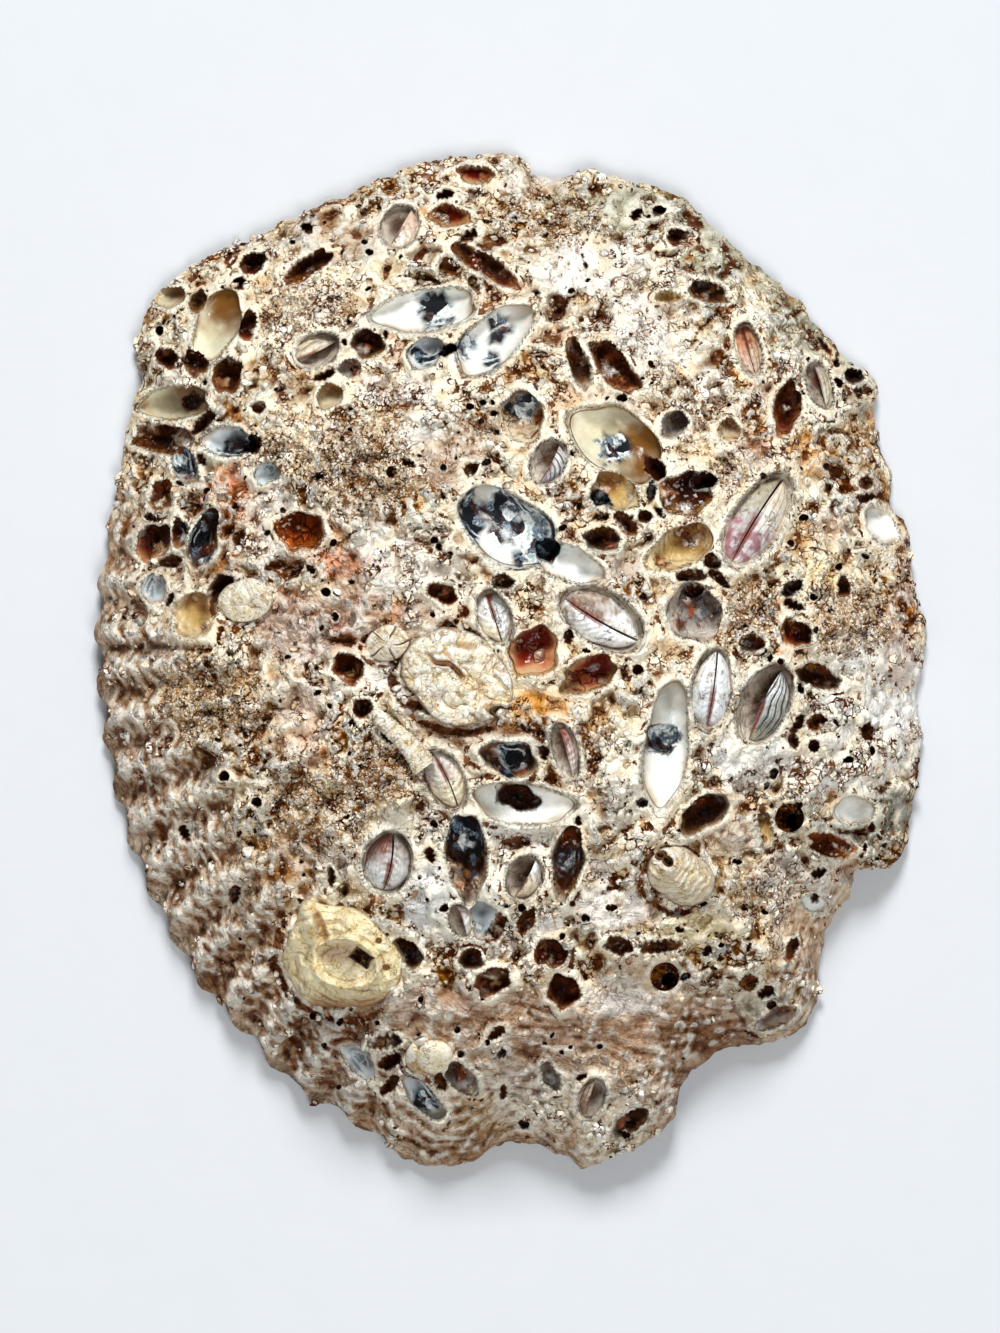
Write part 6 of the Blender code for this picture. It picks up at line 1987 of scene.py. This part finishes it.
def twin_lumps(u, v, away):
    """Two smooth rounded lumps side by side, one yellowish and one grey-white."""
    one = oval(u, v, (1.1, -0.3), (3.9, 3.5), 0.0)
    two = oval(u, v, (-3.9, 0.8), (2.1, 2.5), 0.0)
    three = oval(u, v, (-1.9, 3.0), (1.8, 1.3), 0.0)
    height = 4.4 * np.sqrt(np.clip(1.0 - one**2.4, 0.0, 1.0))
    height = np.maximum(height, 3.0 * np.sqrt(np.clip(1.0 - two**2, 0.0, 1.0)))
    height = np.maximum(height, 2.6 * np.sqrt(np.clip(1.0 - three**2, 0.0, 1.0)))
    height = height + 0.15 * layered(u, v, 2.2, 231, 2)
    fine = layered(u, v, 1.4, 233, 3)
    tint = toned([(0.80, 0.66, 0.42), (0.93, 0.87, 0.68), (0.95, 0.93, 0.84)], 0.72 + 0.25 * fine)
    tint = blend(tint, np.array((0.84, 0.82, 0.78)), 0.8 * (np.minimum(two, three) < one))
    gap = ease(0.85, 1.05, np.minimum(one, np.minimum(two, three)))
    return height, blend(tint, (0.55, 0.38, 0.24), 0.8 * gap), 0.75


def plate_barnacle(u, v, away):
    """A flat white rosette of plates with dark seams."""
    turn = np.arctan2(v, u)
    plates = np.abs(np.sin(2.5 * turn + 0.6 * grain(u, v, 3.0, 241)))
    seam = fade(0.0, 0.22, plates) * ease(0.15, 0.4, away)
    height = 2.2 * np.clip(1.0 - away**2, 0.0, 1.0) ** 0.6 - 0.8 * seam
    tint = toned([(0.80, 0.72, 0.56), (0.94, 0.92, 0.86)], 0.6 + 0.4 * layered(u, v, 1.6, 243, 2))
    tint = blend(tint, (0.10, 0.05, 0.035), fade(0.05, 0.2, plates) * ease(0.15, 0.4, away))
    return height, tint, 0.5


def chalk_mound(u, v, away):
    """A low white lump of old worm tubes."""
    big = cells(u, v, 3.2, 251)[0]
    height = 1.2 * np.clip(1.0 - away**2, 0.0, 1.0) ** 0.5 + 1.6 * np.sqrt(np.clip(0.6 - big**2, 0.0, 1.0))
    tint = toned(
        [(0.74, 0.62, 0.42), (0.93, 0.88, 0.76), (0.95, 0.93, 0.88)],
        0.55 + 0.4 * layered(u, v, 1.7, 253, 3),
    )
    return height, tint, 0.3


def build_growths(mat):
    seats = {name: Seat(*row) for name, row in SEATS.items()}
    leafy = [
        (140.0, 12.0, 0.24), (215.0, 26.0, 0.06), (290.0, 20.0, -0.10), (60.0, 25.0, -0.10),
        (15.0, 20.0, 0.06), (255.0, 10.0, 0.07), (185.0, 9.0, -0.05),
    ]
    lobed = [
        (-10.0, 22.0, 0.04), (50.0, 20.0, -0.10), (110.0, 25.0, 0.02), (235.0, 20.0, -0.12),
        (275.0, 20.0, 0.05),
    ]
    long_knob = [(-38.0, 28.0, 0.10), (142.0, 28.0, 0.06), (52.0, 32.0, -0.20), (232.0, 32.0, -0.20)]
    rows = [
        ("ruffled_barnacle", "barnacle_large", "barnacle", large_barnacle, leafy, 110, 260),
        ("chalk_knob", "barnacle_knob", "barnacle", knob_barnacle, long_knob, 70, 160),
        ("twin_lumps", "barnacle_small", "barnacle", twin_lumps, [], 56, 140),
        ("plate_rosette", "barnacle_plates", "barnacle", plate_barnacle, [(80.0, 20.0, 0.06)], 40, 120),
        ("knobby_cluster", "worm_tube_cluster", "barnacle", tube_cluster, lobed, 110, 260),
        (
            "chalk_mound", "worm_tube_mound", "tube", chalk_mound,
            [(70.0, 20.0, 0.08), (200.0, 25.0, -0.08)], 52, 140,
        ),
    ]
    for name, node, slot, shape, outline, rings, sides in rows:
        build_growth(name, node, slot, seats[node], shape, outline, mat, rings, sides)
    build_tube("limy_tube", "worm_tube", seats["worm_tube"], mat)


def build_tube(name, node, seat, mat):
    """A worm's limy tube with growth rings, curving along its seat to an open end."""
    sections, sides = 90, 40
    run = np.linspace(-0.95, 0.92, sections)
    radius = 2.0 + 0.55 * run + 0.10 * np.sin(TURN * run * 11.0) + 0.07 * np.sin(TURN * run * 4.3)
    radius = radius * np.sqrt(np.clip(ease(-1.08, -0.6, run), 0.05, 1.0))
    inner_run = np.array([0.92, 0.85, 0.7, 0.5])
    inner_radius_part = np.array([0.72, 0.66, 0.6, 0.4])
    turns = TURN * np.arange(sides) / sides
    stations = [(r, size, 0.0) for r, size in zip(run, radius)]
    stations += [(r, size * radius[-1], 1.0) for r, size in zip(inner_run, inner_radius_part)]
    points, tint = [], []
    for along, size, inside in stations:
        sway = 0.22 * math.sin(2.4 * along + 0.4)
        x, y = seat.plan(along, sway + size * np.cos(turns) / seat.half_width)
        middle_x, middle_y = seat.plan(along, sway)
        ground = float(dome(np.array(middle_x), np.array(middle_y)))
        ground += float(crust(np.array([middle_x]), np.array([middle_y]))[0])
        lift = 0.6 + 0.9 * float(ease(-0.2, 1.0, along))
        z = ground + lift + size * np.sin(turns) + 0.12 * grain(x, y, 1.6, 261)
        points.append(np.stack([x, y, z], axis=1))
        shade = 0.62 + 0.4 * layered(x, y, 1.8, 263, 2)
        outside = toned([(0.60, 0.50, 0.38), (0.86, 0.82, 0.72), (0.90, 0.88, 0.82)], shade)
        # Painted shade on the inside of the open end.
        tint.append(blend(outside, (0.05, 0.03, 0.02), min(inside, 1.0) * (along < 0.9)))
    faces = []
    rings = len(points)
    for ring in range(rings - 1):
        a = ring * sides + np.arange(sides)
        b = ring * sides + np.roll(np.arange(sides), -1)
        faces += [np.stack([a, b, a + sides], axis=1), np.stack([b, b + sides, a + sides], axis=1)]
    points = np.vstack(points)
    tint = np.vstack(tint)
    ends = np.vstack([points[:sides].mean(axis=0), points[-sides:].mean(axis=0)])
    count = len(points)
    first = np.arange(sides)
    last = count - sides + first
    faces += [fan(count, first), fan(count + 1, last)[:, [0, 2, 1]]]
    # The end cap deep inside the tube is painted shade.
    tint = np.vstack([tint, [(0.6, 0.5, 0.4), (0.02, 0.01, 0.01)]])
    attributes = {"tint": tint, "smooth": np.full(count + 2, 0.35), "cavity": np.zeros(count + 2)}
    made = make_mesh(name, np.vstack([points, ends]), np.vstack(faces), attributes, mat)
    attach(made, "root")
    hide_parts(node)


# ---- the clams' valves ----
PEARLY, SILVER, GREYISH = (0.88, 0.92, 0.94), (0.64, 0.70, 0.74), (0.46, 0.42, 0.38)
BROWNISH, REDDISH, CREAMY = (0.26, 0.17, 0.12), (0.20, 0.035, 0.015), (0.88, 0.80, 0.60)
INKY, OLIVE = (0.022, 0.028, 0.028), (0.44, 0.40, 0.26)
# Tone at the beak, tone at the far end, stain and how far from the beak it reaches (0 to 1), line tone, line
# spacing in millimetres, line strength, whether the lines follow the seam (or ring the beak), edge tone.
VALVE_LOOKS = {
    "clam_pair_middle_a": (PEARLY, PEARLY, GREYISH, 0.35, SILVER, 1.3, 0.25, False, BROWNISH),
    "clam_pair_middle_b": (GREYISH, PEARLY, BROWNISH, 0.55, CREAMY, 2.6, 0.35, True, CREAMY),
    "clam_pair_window_a": (PEARLY, CREAMY, REDDISH, 0.12, SILVER, 0.9, 0.40, True, CREAMY),
    "clam_pair_window_b": (SILVER, PEARLY, REDDISH, 0.20, GREYISH, 0.9, 0.45, True, CREAMY),
    "clam_pair_right_a": (
        PEARLY, CREAMY, (0.36, 0.16, 0.19), 0.45, (0.42, 0.32, 0.38), 1.5, 0.55, True, CREAMY
    ),
    "clam_pair_right_b": (SILVER, OLIVE, (0.36, 0.16, 0.19), 0.50, GREYISH, 1.4, 0.60, True, CREAMY),
    "clam_pair_left_a": (PEARLY, GREYISH, SILVER, 0.30, GREYISH, 0.8, 0.45, True, BROWNISH),
    "clam_pair_left_b": (PEARLY, REDDISH, SILVER, 0.30, GREYISH, 0.8, 0.45, True, REDDISH),
    "clam_pair_capsule_a": ((0.70, 0.66, 0.60), CREAMY, GREYISH, 0.25, GREYISH, 1.6, 0.25, False, REDDISH),
    "clam_pair_capsule_b": ((0.66, 0.62, 0.58), CREAMY, GREYISH, 0.25, GREYISH, 1.6, 0.25, False, CREAMY),
    "clam_pair_edge_a": (
        (0.55, 0.22, 0.10), (0.76, 0.56, 0.46), REDDISH, 0.30, BROWNISH, 1.0, 0.60, True, CREAMY
    ),
    "clam_pair_edge_b": (
        (0.62, 0.30, 0.14), (0.80, 0.66, 0.54), REDDISH, 0.25, BROWNISH, 1.0, 0.60, True, CREAMY
    ),
    "clam_blade_a": (PEARLY, PEARLY, REDDISH, 0.08, SILVER, 1.8, 0.35, True, BROWNISH),
    "clam_blade_b": (SILVER, PEARLY, BROWNISH, 0.15, GREYISH, 1.4, 0.40, True, CREAMY),
    "clam_banded": ((0.30, 0.33, 0.31), PEARLY, OLIVE, 0.12, INKY, 1.25, 1.00, True, INKY),
    "clam_ringed": (
        (0.46, 0.48, 0.54), (0.80, 0.78, 0.78), (0.30, 0.24, 0.26), 0.20, INKY, 1.35, 0.90, False, SILVER
    ),
    "clam_green": (OLIVE, (0.70, 0.70, 0.58), GREYISH, 0.30, BROWNISH, 0.9, 0.55, True, CREAMY),
    "clam_striated": (
        (0.55, 0.42, 0.42), (0.76, 0.70, 0.66), REDDISH, 0.35, BROWNISH, 0.8, 0.70, True, CREAMY
    ),
    "clam_hooded": (CREAMY, PEARLY, GREYISH, 0.20, GREYISH, 1.5, 0.40, False, CREAMY),
    "clam_small": ((0.72, 0.68, 0.68), PEARLY, (0.40, 0.28, 0.28), 0.30, GREYISH, 0.9, 0.50, True, CREAMY),
    "clam_olive": (CREAMY, (0.60, 0.55, 0.46), BROWNISH, 0.30, BROWNISH, 1.6, 0.50, True, CREAMY),
    "clam_pink": ((0.82, 0.78, 0.68), (0.74, 0.52, 0.40), CREAMY, 0.20, GREYISH, 1.8, 0.30, False, CREAMY),
    "clam_low": ((0.34, 0.22, 0.15), (0.66, 0.56, 0.44), BROWNISH, 0.40, REDDISH, 1.0, 0.60, True, CREAMY),
}
# How much of its burrow's mouth a valve fills, and its height as a share of its width.
VALVE_FIT = 0.90
VALVE_RISE = 0.31
VALVE_DIMMING = [(0.34, (0.62, 0.52, 0.44)), (0.45, (0.94, 0.92, 0.90)), (0.58, (1.08, 1.08, 1.08))]
VALVE_DUST, VALVE_CRACK = (0.30, 0.19, 0.12), (0.12, 0.08, 0.06)


def valve_material():
    """Thin glossy shell over a painted-in tint, a little worn and dusty."""
    tree = Tree("clam_valve")
    tint = tree.attribute("tint")
    mottle = tree.noise(1.5, 5.0, 0.65, 0.5)
    colour = tree.mix(1.0, tint, tree.ramp(mottle, VALVE_DIMMING), "MULTIPLY")
    dust = tree.span(tree.noise(0.7, 3.0), 0.62, 0.68)
    colour = tree.mix(tree.times(dust, 0.6), colour, VALVE_DUST)
    crack = tree.winding(tree.noise(3.2, 3.0, 0.5, 0.5))
    crack = tree.times(tree.span(crack, 0.016, 0.005), tree.span(tree.noise(4.0, 2.0), 0.48, 0.56))
    colour = tree.mix(tree.times(crack, 0.8), colour, VALVE_CRACK)
    relief = tree.minus(tree.plus(mottle, tree.noise(0.6, 3.0)), crack)
    return tree.finish(colour, 0.40, tree.bump(relief, 0.30, 0.7))


def valve_tint(node, x, y, along, out, wide, growth):
    """A valve's colours: beak to far end, stains, growth lines, its red-brown hinge and its edge."""
    beak, far, stain, reach, line, spacing, strength, straight, rim = VALVE_LOOKS[node]
    run = (along + 1.0) / 2
    loose = layered(x, y, 3.0, 273, 3)
    tint = blend(beak, far, ease(0.25, 0.80, run + 0.15 * loose))
    phase = (
        (out * wide if straight else growth) / spacing + 0.35 * grain(x, y, 4.5, 275)
        + 0.10 * grain(x, y, 1.6, 276)
    )
    lines = ease(0.35, 0.85, np.sin(TURN * phase)) + 0.5 * ease(0.5, 0.9, np.sin(2.3 * TURN * phase + 1.0))
    tint = blend(tint, line, np.clip(strength * lines, 0.0, 1.0))
    patch = ease(reach + 0.10, reach - 0.12, run + 0.16 * loose)
    tint = blend(tint, stain, patch * (0.35 + 0.6 * ease(-0.2, 0.3, grain(x, y, 1.8, 277))))
    tint = blend(
        tint,
        REDDISH,
        0.85 * ease(0.16, 0.08, out) * ease(0.62, 0.45, run) * ease(0.0, 0.3, 1.0 - np.abs(along)),
    )
    border = np.minimum((1.0 - out) * wide, 1.4 * (1.0 - np.abs(along)) * wide)
    return blend(tint, rim, 0.85 * ease(0.55, 0.25, border))


def build_valve(node, side, pit, mat):
    """Half of a clam: a bulging thin-edged shell with growth lines, in the CAD valve's place."""
    columns, rows = 90, 36
    t = np.linspace(0.0, 1.0, columns + 1)
    along = -np.cos(math.pi * (0.03 + 0.94 * t))
    out = np.linspace(0.0, 1.0, rows + 1)
    along, out = np.meshgrid(along, out, indexing="ij")
    seam = 0.015 + 0.035 * (along + 1.0) / 2
    sway = 0.16 * math.cos(2.4 * pit.number) * (1.0 - along**2)
    width = (1.0 - along**2) ** np.where(along > 0, 0.50 + 0.25 * along, 0.50) * (1.0 - 0.10 * along)
    width = (width + 0.03 * np.sin(9.0 * along + pit.number) * (1.0 - along**2) - seam) - side * sway
    across = side * (seam + width * out) + sway
    x, y = pit.plan(VALVE_FIT * along, VALVE_FIT * across)
    centre, slope_x, slope_y, depth = lie_of(pit)
    level = centre - depth + PIECE_GAP
    ground = level + slope_x * (x - pit.x) + slope_y * (y - pit.y)
    tallest = VALVE_RISE * 2 * pit.half_width * VALVE_FIT + 0.35 * pit.depth
    bulge = (1.0 - (1.18 * out - 0.30) ** 2) * (1.0 - along**2) ** 0.5
    height = tallest * np.maximum(0.10, bulge)
    growth = np.hypot((along + 0.85) * pit.half_length, 1.5 * across * pit.half_width)
    height = height + 0.10 * np.sin(TURN * growth / 1.3) * (1.0 - along**2)
    height = height + 0.16 * layered(x, y, 2.2, 271, 2) * (1.0 - along**2)
    height = height + 0.30 * ease(0.10, 0.02, out) * (1.0 - along**2)
    tint = valve_tint(node, x, y, along, out, pit.half_width, growth)
    top = np.stack([x, y, ground + height], axis=-1).reshape(-1, 3)
    low = np.stack([x, y, ground], axis=-1).reshape(-1, 3)
    index = np.arange(top.shape[0]).reshape(columns + 1, rows + 1)
    a, b = index[:-1, :-1].ravel(), index[1:, :-1].ravel()
    c, d = index[1:, 1:].ravel(), index[:-1, 1:].ravel()
    upper = np.vstack([np.stack([a, b, c], axis=1), np.stack([a, c, d], axis=1)])
    lower = upper[:, ::-1] + len(top)
    border = np.concatenate([index[:, 0], index[-1, 1:], index[-2::-1, -1], index[0, -2:0:-1]])
    faces = np.vstack([upper, lower, band(border, border + len(top))])
    if side < 0:
        faces = faces[:, ::-1]
    attributes = {"tint": np.tile(tint.reshape(-1, 3), (2, 1))}
    made = make_mesh(node.replace("clam", "valve"), np.vstack([top, low]), faces, attributes, mat)
    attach(made, "root")
    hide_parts(node)


def build_valves():
    mat = valve_material()
    pits = {}
    for k, (name, row) in enumerate(CLAMS.items()):
        pits[name] = Pit(len(BURROWS) + k, *row, "clam", CLAM_SHADE, "clam")
    right_side = ("_b", "clam_green", "clam_striated", "clam_small", "clam_olive", "clam_low")
    for node in VALVE_LOOKS:
        side = 1 if node.endswith(right_side) else -1
        build_valve(node, side, pits[node.removesuffix("_a").removesuffix("_b")], mat)


# ---- crumbs of crust and sand ----
def icosahedron():
    g = (1 + math.sqrt(5)) / 2
    points = [(-1, g, 0), (1, g, 0), (-1, -g, 0), (1, -g, 0), (0, -1, g), (0, 1, g), (0, -1, -g), (0, 1, -g),
              (g, 0, -1), (g, 0, 1), (-g, 0, -1), (-g, 0, 1)]
    faces = [
        (0, 11, 5), (0, 5, 1), (0, 1, 7), (0, 7, 10), (0, 10, 11), (1, 5, 9), (5, 11, 4), (11, 10, 2),
        (10, 7, 6), (7, 1, 8), (3, 9, 4), (3, 4, 2), (3, 2, 6), (3, 6, 8), (3, 8, 9), (4, 9, 5), (2, 4, 11),
        (6, 2, 10), (8, 6, 7), (9, 8, 1),
    ]
    return np.array(points) / math.hypot(1, g), np.array(faces)


def octahedron():
    points = [(1, 0, 0), (-1, 0, 0), (0, 1, 0), (0, -1, 0), (0, 0, 1), (0, 0, -1)]
    faces = [(0, 2, 4), (2, 1, 4), (1, 3, 4), (3, 0, 4), (2, 0, 5), (1, 2, 5), (3, 1, 5), (0, 3, 5)]
    return np.array(points, float), np.array(faces)


def random_turns(draw, count):
    """Random rotation matrices."""
    q = draw.normal(size=(count, 4))
    q /= np.linalg.norm(q, axis=1)[:, None]
    w, x, y, z = q.T
    return np.stack([
        1 - 2 * (y * y + z * z), 2 * (x * y - z * w), 2 * (x * z + y * w),
        2 * (x * y + z * w), 1 - 2 * (x * x + z * z), 2 * (y * z - x * w),
        2 * (x * z - y * w), 2 * (y * z + x * w), 1 - 2 * (x * x + y * y)], axis=1).reshape(count, 3, 3)


def scatter(
    name, template, seed, count, sizes, flatness, weigh, palette, local, smooth, top, faces, state, mat
):
    """One joined mesh of small pieces sitting on the back, thicker where the weighing says."""
    draw = np.random.default_rng(seed)
    corners = top[faces]
    middle = corners.mean(axis=1)
    normal = np.cross(corners[:, 1] - corners[:, 0], corners[:, 2] - corners[:, 0])
    area = np.linalg.norm(normal, axis=1)
    normal /= np.maximum(area, 1e-9)[:, None]
    sunk = state["sunk"][faces].max(axis=1)
    lip = state["lip"][faces].max(axis=1)
    weight = area * weigh(middle[:, 0], middle[:, 1], sunk, lip)
    chosen = draw.choice(len(faces), count, p=weight / weight.sum())
    mixes = draw.dirichlet((1, 1, 1), count)
    spot = (corners[chosen] * mixes[:, :, None]).sum(axis=1)
    size = sizes[0] + (sizes[1] - sizes[0]) * draw.uniform(0.0, 1.0, count) ** 2
    shape, shape_faces = template()
    jitter = 1.0 + draw.uniform(-0.25, 0.25, (count, len(shape)))
    turned = np.einsum("nij,kj->nki", random_turns(draw, count), shape) * jitter[:, :, None]
    turned *= draw.uniform(0.6, 1.2, (count, 1, 3))
    lift = turned @ normal[chosen][:, :, None]
    turned = turned - (1.0 - flatness) * lift * normal[chosen][:, None, :]
    proud = normal[chosen][:, None, :] * (0.25 * size)[:, None, None]
    points = spot[:, None, :] + proud + turned * size[:, None, None]
    tones = np.array(palette)[draw.integers(0, len(palette), count)]
    own = state["tint"][faces[chosen][:, 0]]
    tone = tones * (1 - local) + own * local * draw.uniform(0.85, 1.35, (count, 1))
    tone = np.clip(tone * draw.uniform(0.8, 1.1, (count, 1)), 0.0, 1.0)
    tint = np.repeat(tone, len(shape), axis=0)
    index = (shape_faces[None] + (np.arange(count) * len(shape))[:, None, None]).reshape(-1, 3)
    total = count * len(shape)
    attributes = {"tint": tint, "smooth": np.full(total, 0.45), "cavity": np.full(total, 0.05)}
    made = make_mesh(name, points.reshape(-1, 3), index, attributes, mat, smooth)
    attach(made, "root")
    return made


SAND_TONES = [
    (0.90, 0.87, 0.80), (0.86, 0.76, 0.56), (0.70, 0.52, 0.30), (0.55, 0.38, 0.22), (0.30, 0.17, 0.10),
    (0.92, 0.90, 0.86), (0.62, 0.40, 0.20),
]
CLUMP_TONES = [(0.95, 0.94, 0.90), (0.95, 0.91, 0.80), (0.90, 0.84, 0.72)]
CLUMPS_ON = {"white": 0.9, "cream": 0.25}
CRUMB_TONES = [
    (0.90, 0.84, 0.68), (0.80, 0.68, 0.48), (0.62, 0.46, 0.30), (0.92, 0.90, 0.84), (0.45, 0.28, 0.17)
]


# How much of the loose stuff lies at a place, which may be sunk in a pit or on its lip.
def sand_weight(x, y, sunk, lip):
    total = np.full(np.shape(x), 0.0008)
    for *place, strength in SAND_BEDS:
        near = off_oval(x, y, place) + 0.3 * grain(x, y, 4.0, 301)
        total = total + strength * fade(0.6, 1.1, near)
    return total * (1.0 - 0.9 * sunk) * (1.0 - 0.8 * ease(0.1, 0.4, lip))


def crumb_weight(x, y, sunk, lip):
    clump = ease(-0.3, 0.5, grain(x, y, 5.0, 303)) + 0.15
    clump = clump * (1.0 - 0.9 * fibrous(x, y)) * (1.0 - 0.75 * margin(x, y))
    return clump * (1.0 - sunk) * (1.0 - 0.85 * ease(0.1, 0.4, lip))


def clump_weight(x, y, sunk, lip):
    total = np.full(np.shape(x), 0.02)
    for colour, part in patch_shares(x, y):
        total = total * (1.0 - part) + CLUMPS_ON.get(colour, 0.0) * part
    total = total * ease(0.0, 0.5, grain(x, y, 6.0, 305)) * (1.0 - 0.9 * fibrous(x, y))
    return total * (1.0 - sunk) * fade(0.1, 0.4, lip)


# Name, shape, seed, how many, least and greatest size, flatness, weighing, tones, share of the crust's own
# colour, and whether the pieces are shaded smooth.
SCATTERED = [
    ("white_clumps", icosahedron, 47, 1500, (0.5, 1.5), 0.6, clump_weight, CLUMP_TONES, 0.1, True),
    ("sand_grains", octahedron, 41, 15000, (0.20, 0.55), 0.9, sand_weight, SAND_TONES, 0.25, False),
    ("crust_crumbs", icosahedron, 43, 3600, (0.30, 1.10), 0.5, crumb_weight, CRUMB_TONES, 0.6, True),
]


def scatter_all(top, faces, state, mat):
    for row in SCATTERED:
        scatter(*row, top, faces, state, mat)


# ---- stage ----
PAPER_TONES = (0.624, 0.659, 0.703), (0.648, 0.683, 0.723)
PAPER_HALF_SIDE = 1500.0


def build_stage():
    tree = Tree("paper")
    fibres = tree.noise(9.0, 5.0, 0.6)
    grey = tree.mix(fibres, *PAPER_TONES)
    paper = tree.finish(grey, 0.95, tree.bump(tree.noise(2.5, 4.0, 0.6), 0.12, 0.25))
    corners = [
        (x * PAPER_HALF_SIDE, y * PAPER_HALF_SIDE, 0.0) for x, y in ((-1, -1), (1, -1), (1, 1), (-1, 1))
    ]
    floor = make_mesh("paper_sheet", corners, [(0, 1, 2), (0, 2, 3)], {}, paper)


SKY_TONE, SKY_STRENGTH = (1.0, 0.95, 0.88, 1.0), 0.17
LAMP_AIM = (0.0, 0.0, 0.02)
# The lamps: place and size in metres, power in watts.
LAMPS = {
    "window": ((0.0, 1.95, 2.05), (0.75, 0.75), 81.0),
    "overhead": ((0.40, -1.00, 2.50), (1.2, 1.2), 36.5),
}


def add_lamp(name, place, size, power):
    lamp = bpy.data.lights.new(name, "AREA")
    lamp.shape = "RECTANGLE"
    lamp.size, lamp.size_y = size
    lamp.energy = power
    made = bpy.data.objects.new(name, lamp)
    made.location = place
    made.rotation_euler = (Vector(LAMP_AIM) - Vector(place)).to_track_quat("-Z", "Y").to_euler()
    bpy.context.scene.collection.objects.link(made)


def build_light():
    world = bpy.data.worlds.new("studio")
    world.use_nodes = True
    sky = world.node_tree.nodes["Background"].inputs
    sky["Color"].default_value = SKY_TONE
    sky["Strength"].default_value = SKY_STRENGTH
    bpy.context.scene.world = world
    for name, (place, size, power) in LAMPS.items():
        add_lamp(name, place, size, power)


# The view: its width and centre in millimetres, its shape, and the camera's height in metres.
VIEW_WIDTH = 197.0
VIEW_CENTRE = (-2.17, -0.985)
VIEW_SHAPE = 1333 / 1000
CAMERA_HEIGHT = 3.0


def build_camera():
    camera = bpy.data.cameras.new("camera")
    camera.sensor_width = 36.0
    long_side = VIEW_WIDTH * MM * VIEW_SHAPE
    camera.lens = camera.sensor_width * CAMERA_HEIGHT / long_side
    camera.clip_end = 20.0
    made = bpy.data.objects.new("camera", camera)
    made.location = (VIEW_CENTRE[0] * MM, VIEW_CENTRE[1] * MM, CAMERA_HEIGHT)
    bpy.context.scene.collection.objects.link(made)
    bpy.context.scene.camera = made


def main():
    bpy.context.scene.view_settings.view_transform = "Standard"
    shell_mats = [crust_material("crust", 0.08), crust_material("burrow_lining", 0.22), nacre_material()]
    pits = all_pits()
    shell, top, faces, state = build_shell(pits, shell_mats)
    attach(shell, "root")
    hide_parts("abalone_shell")
    build_growths(limy_material())
    build_valves()
    scatter_all(top, faces, state, shell_mats[0])
    build_stage()
    build_light()
    build_camera()


main()
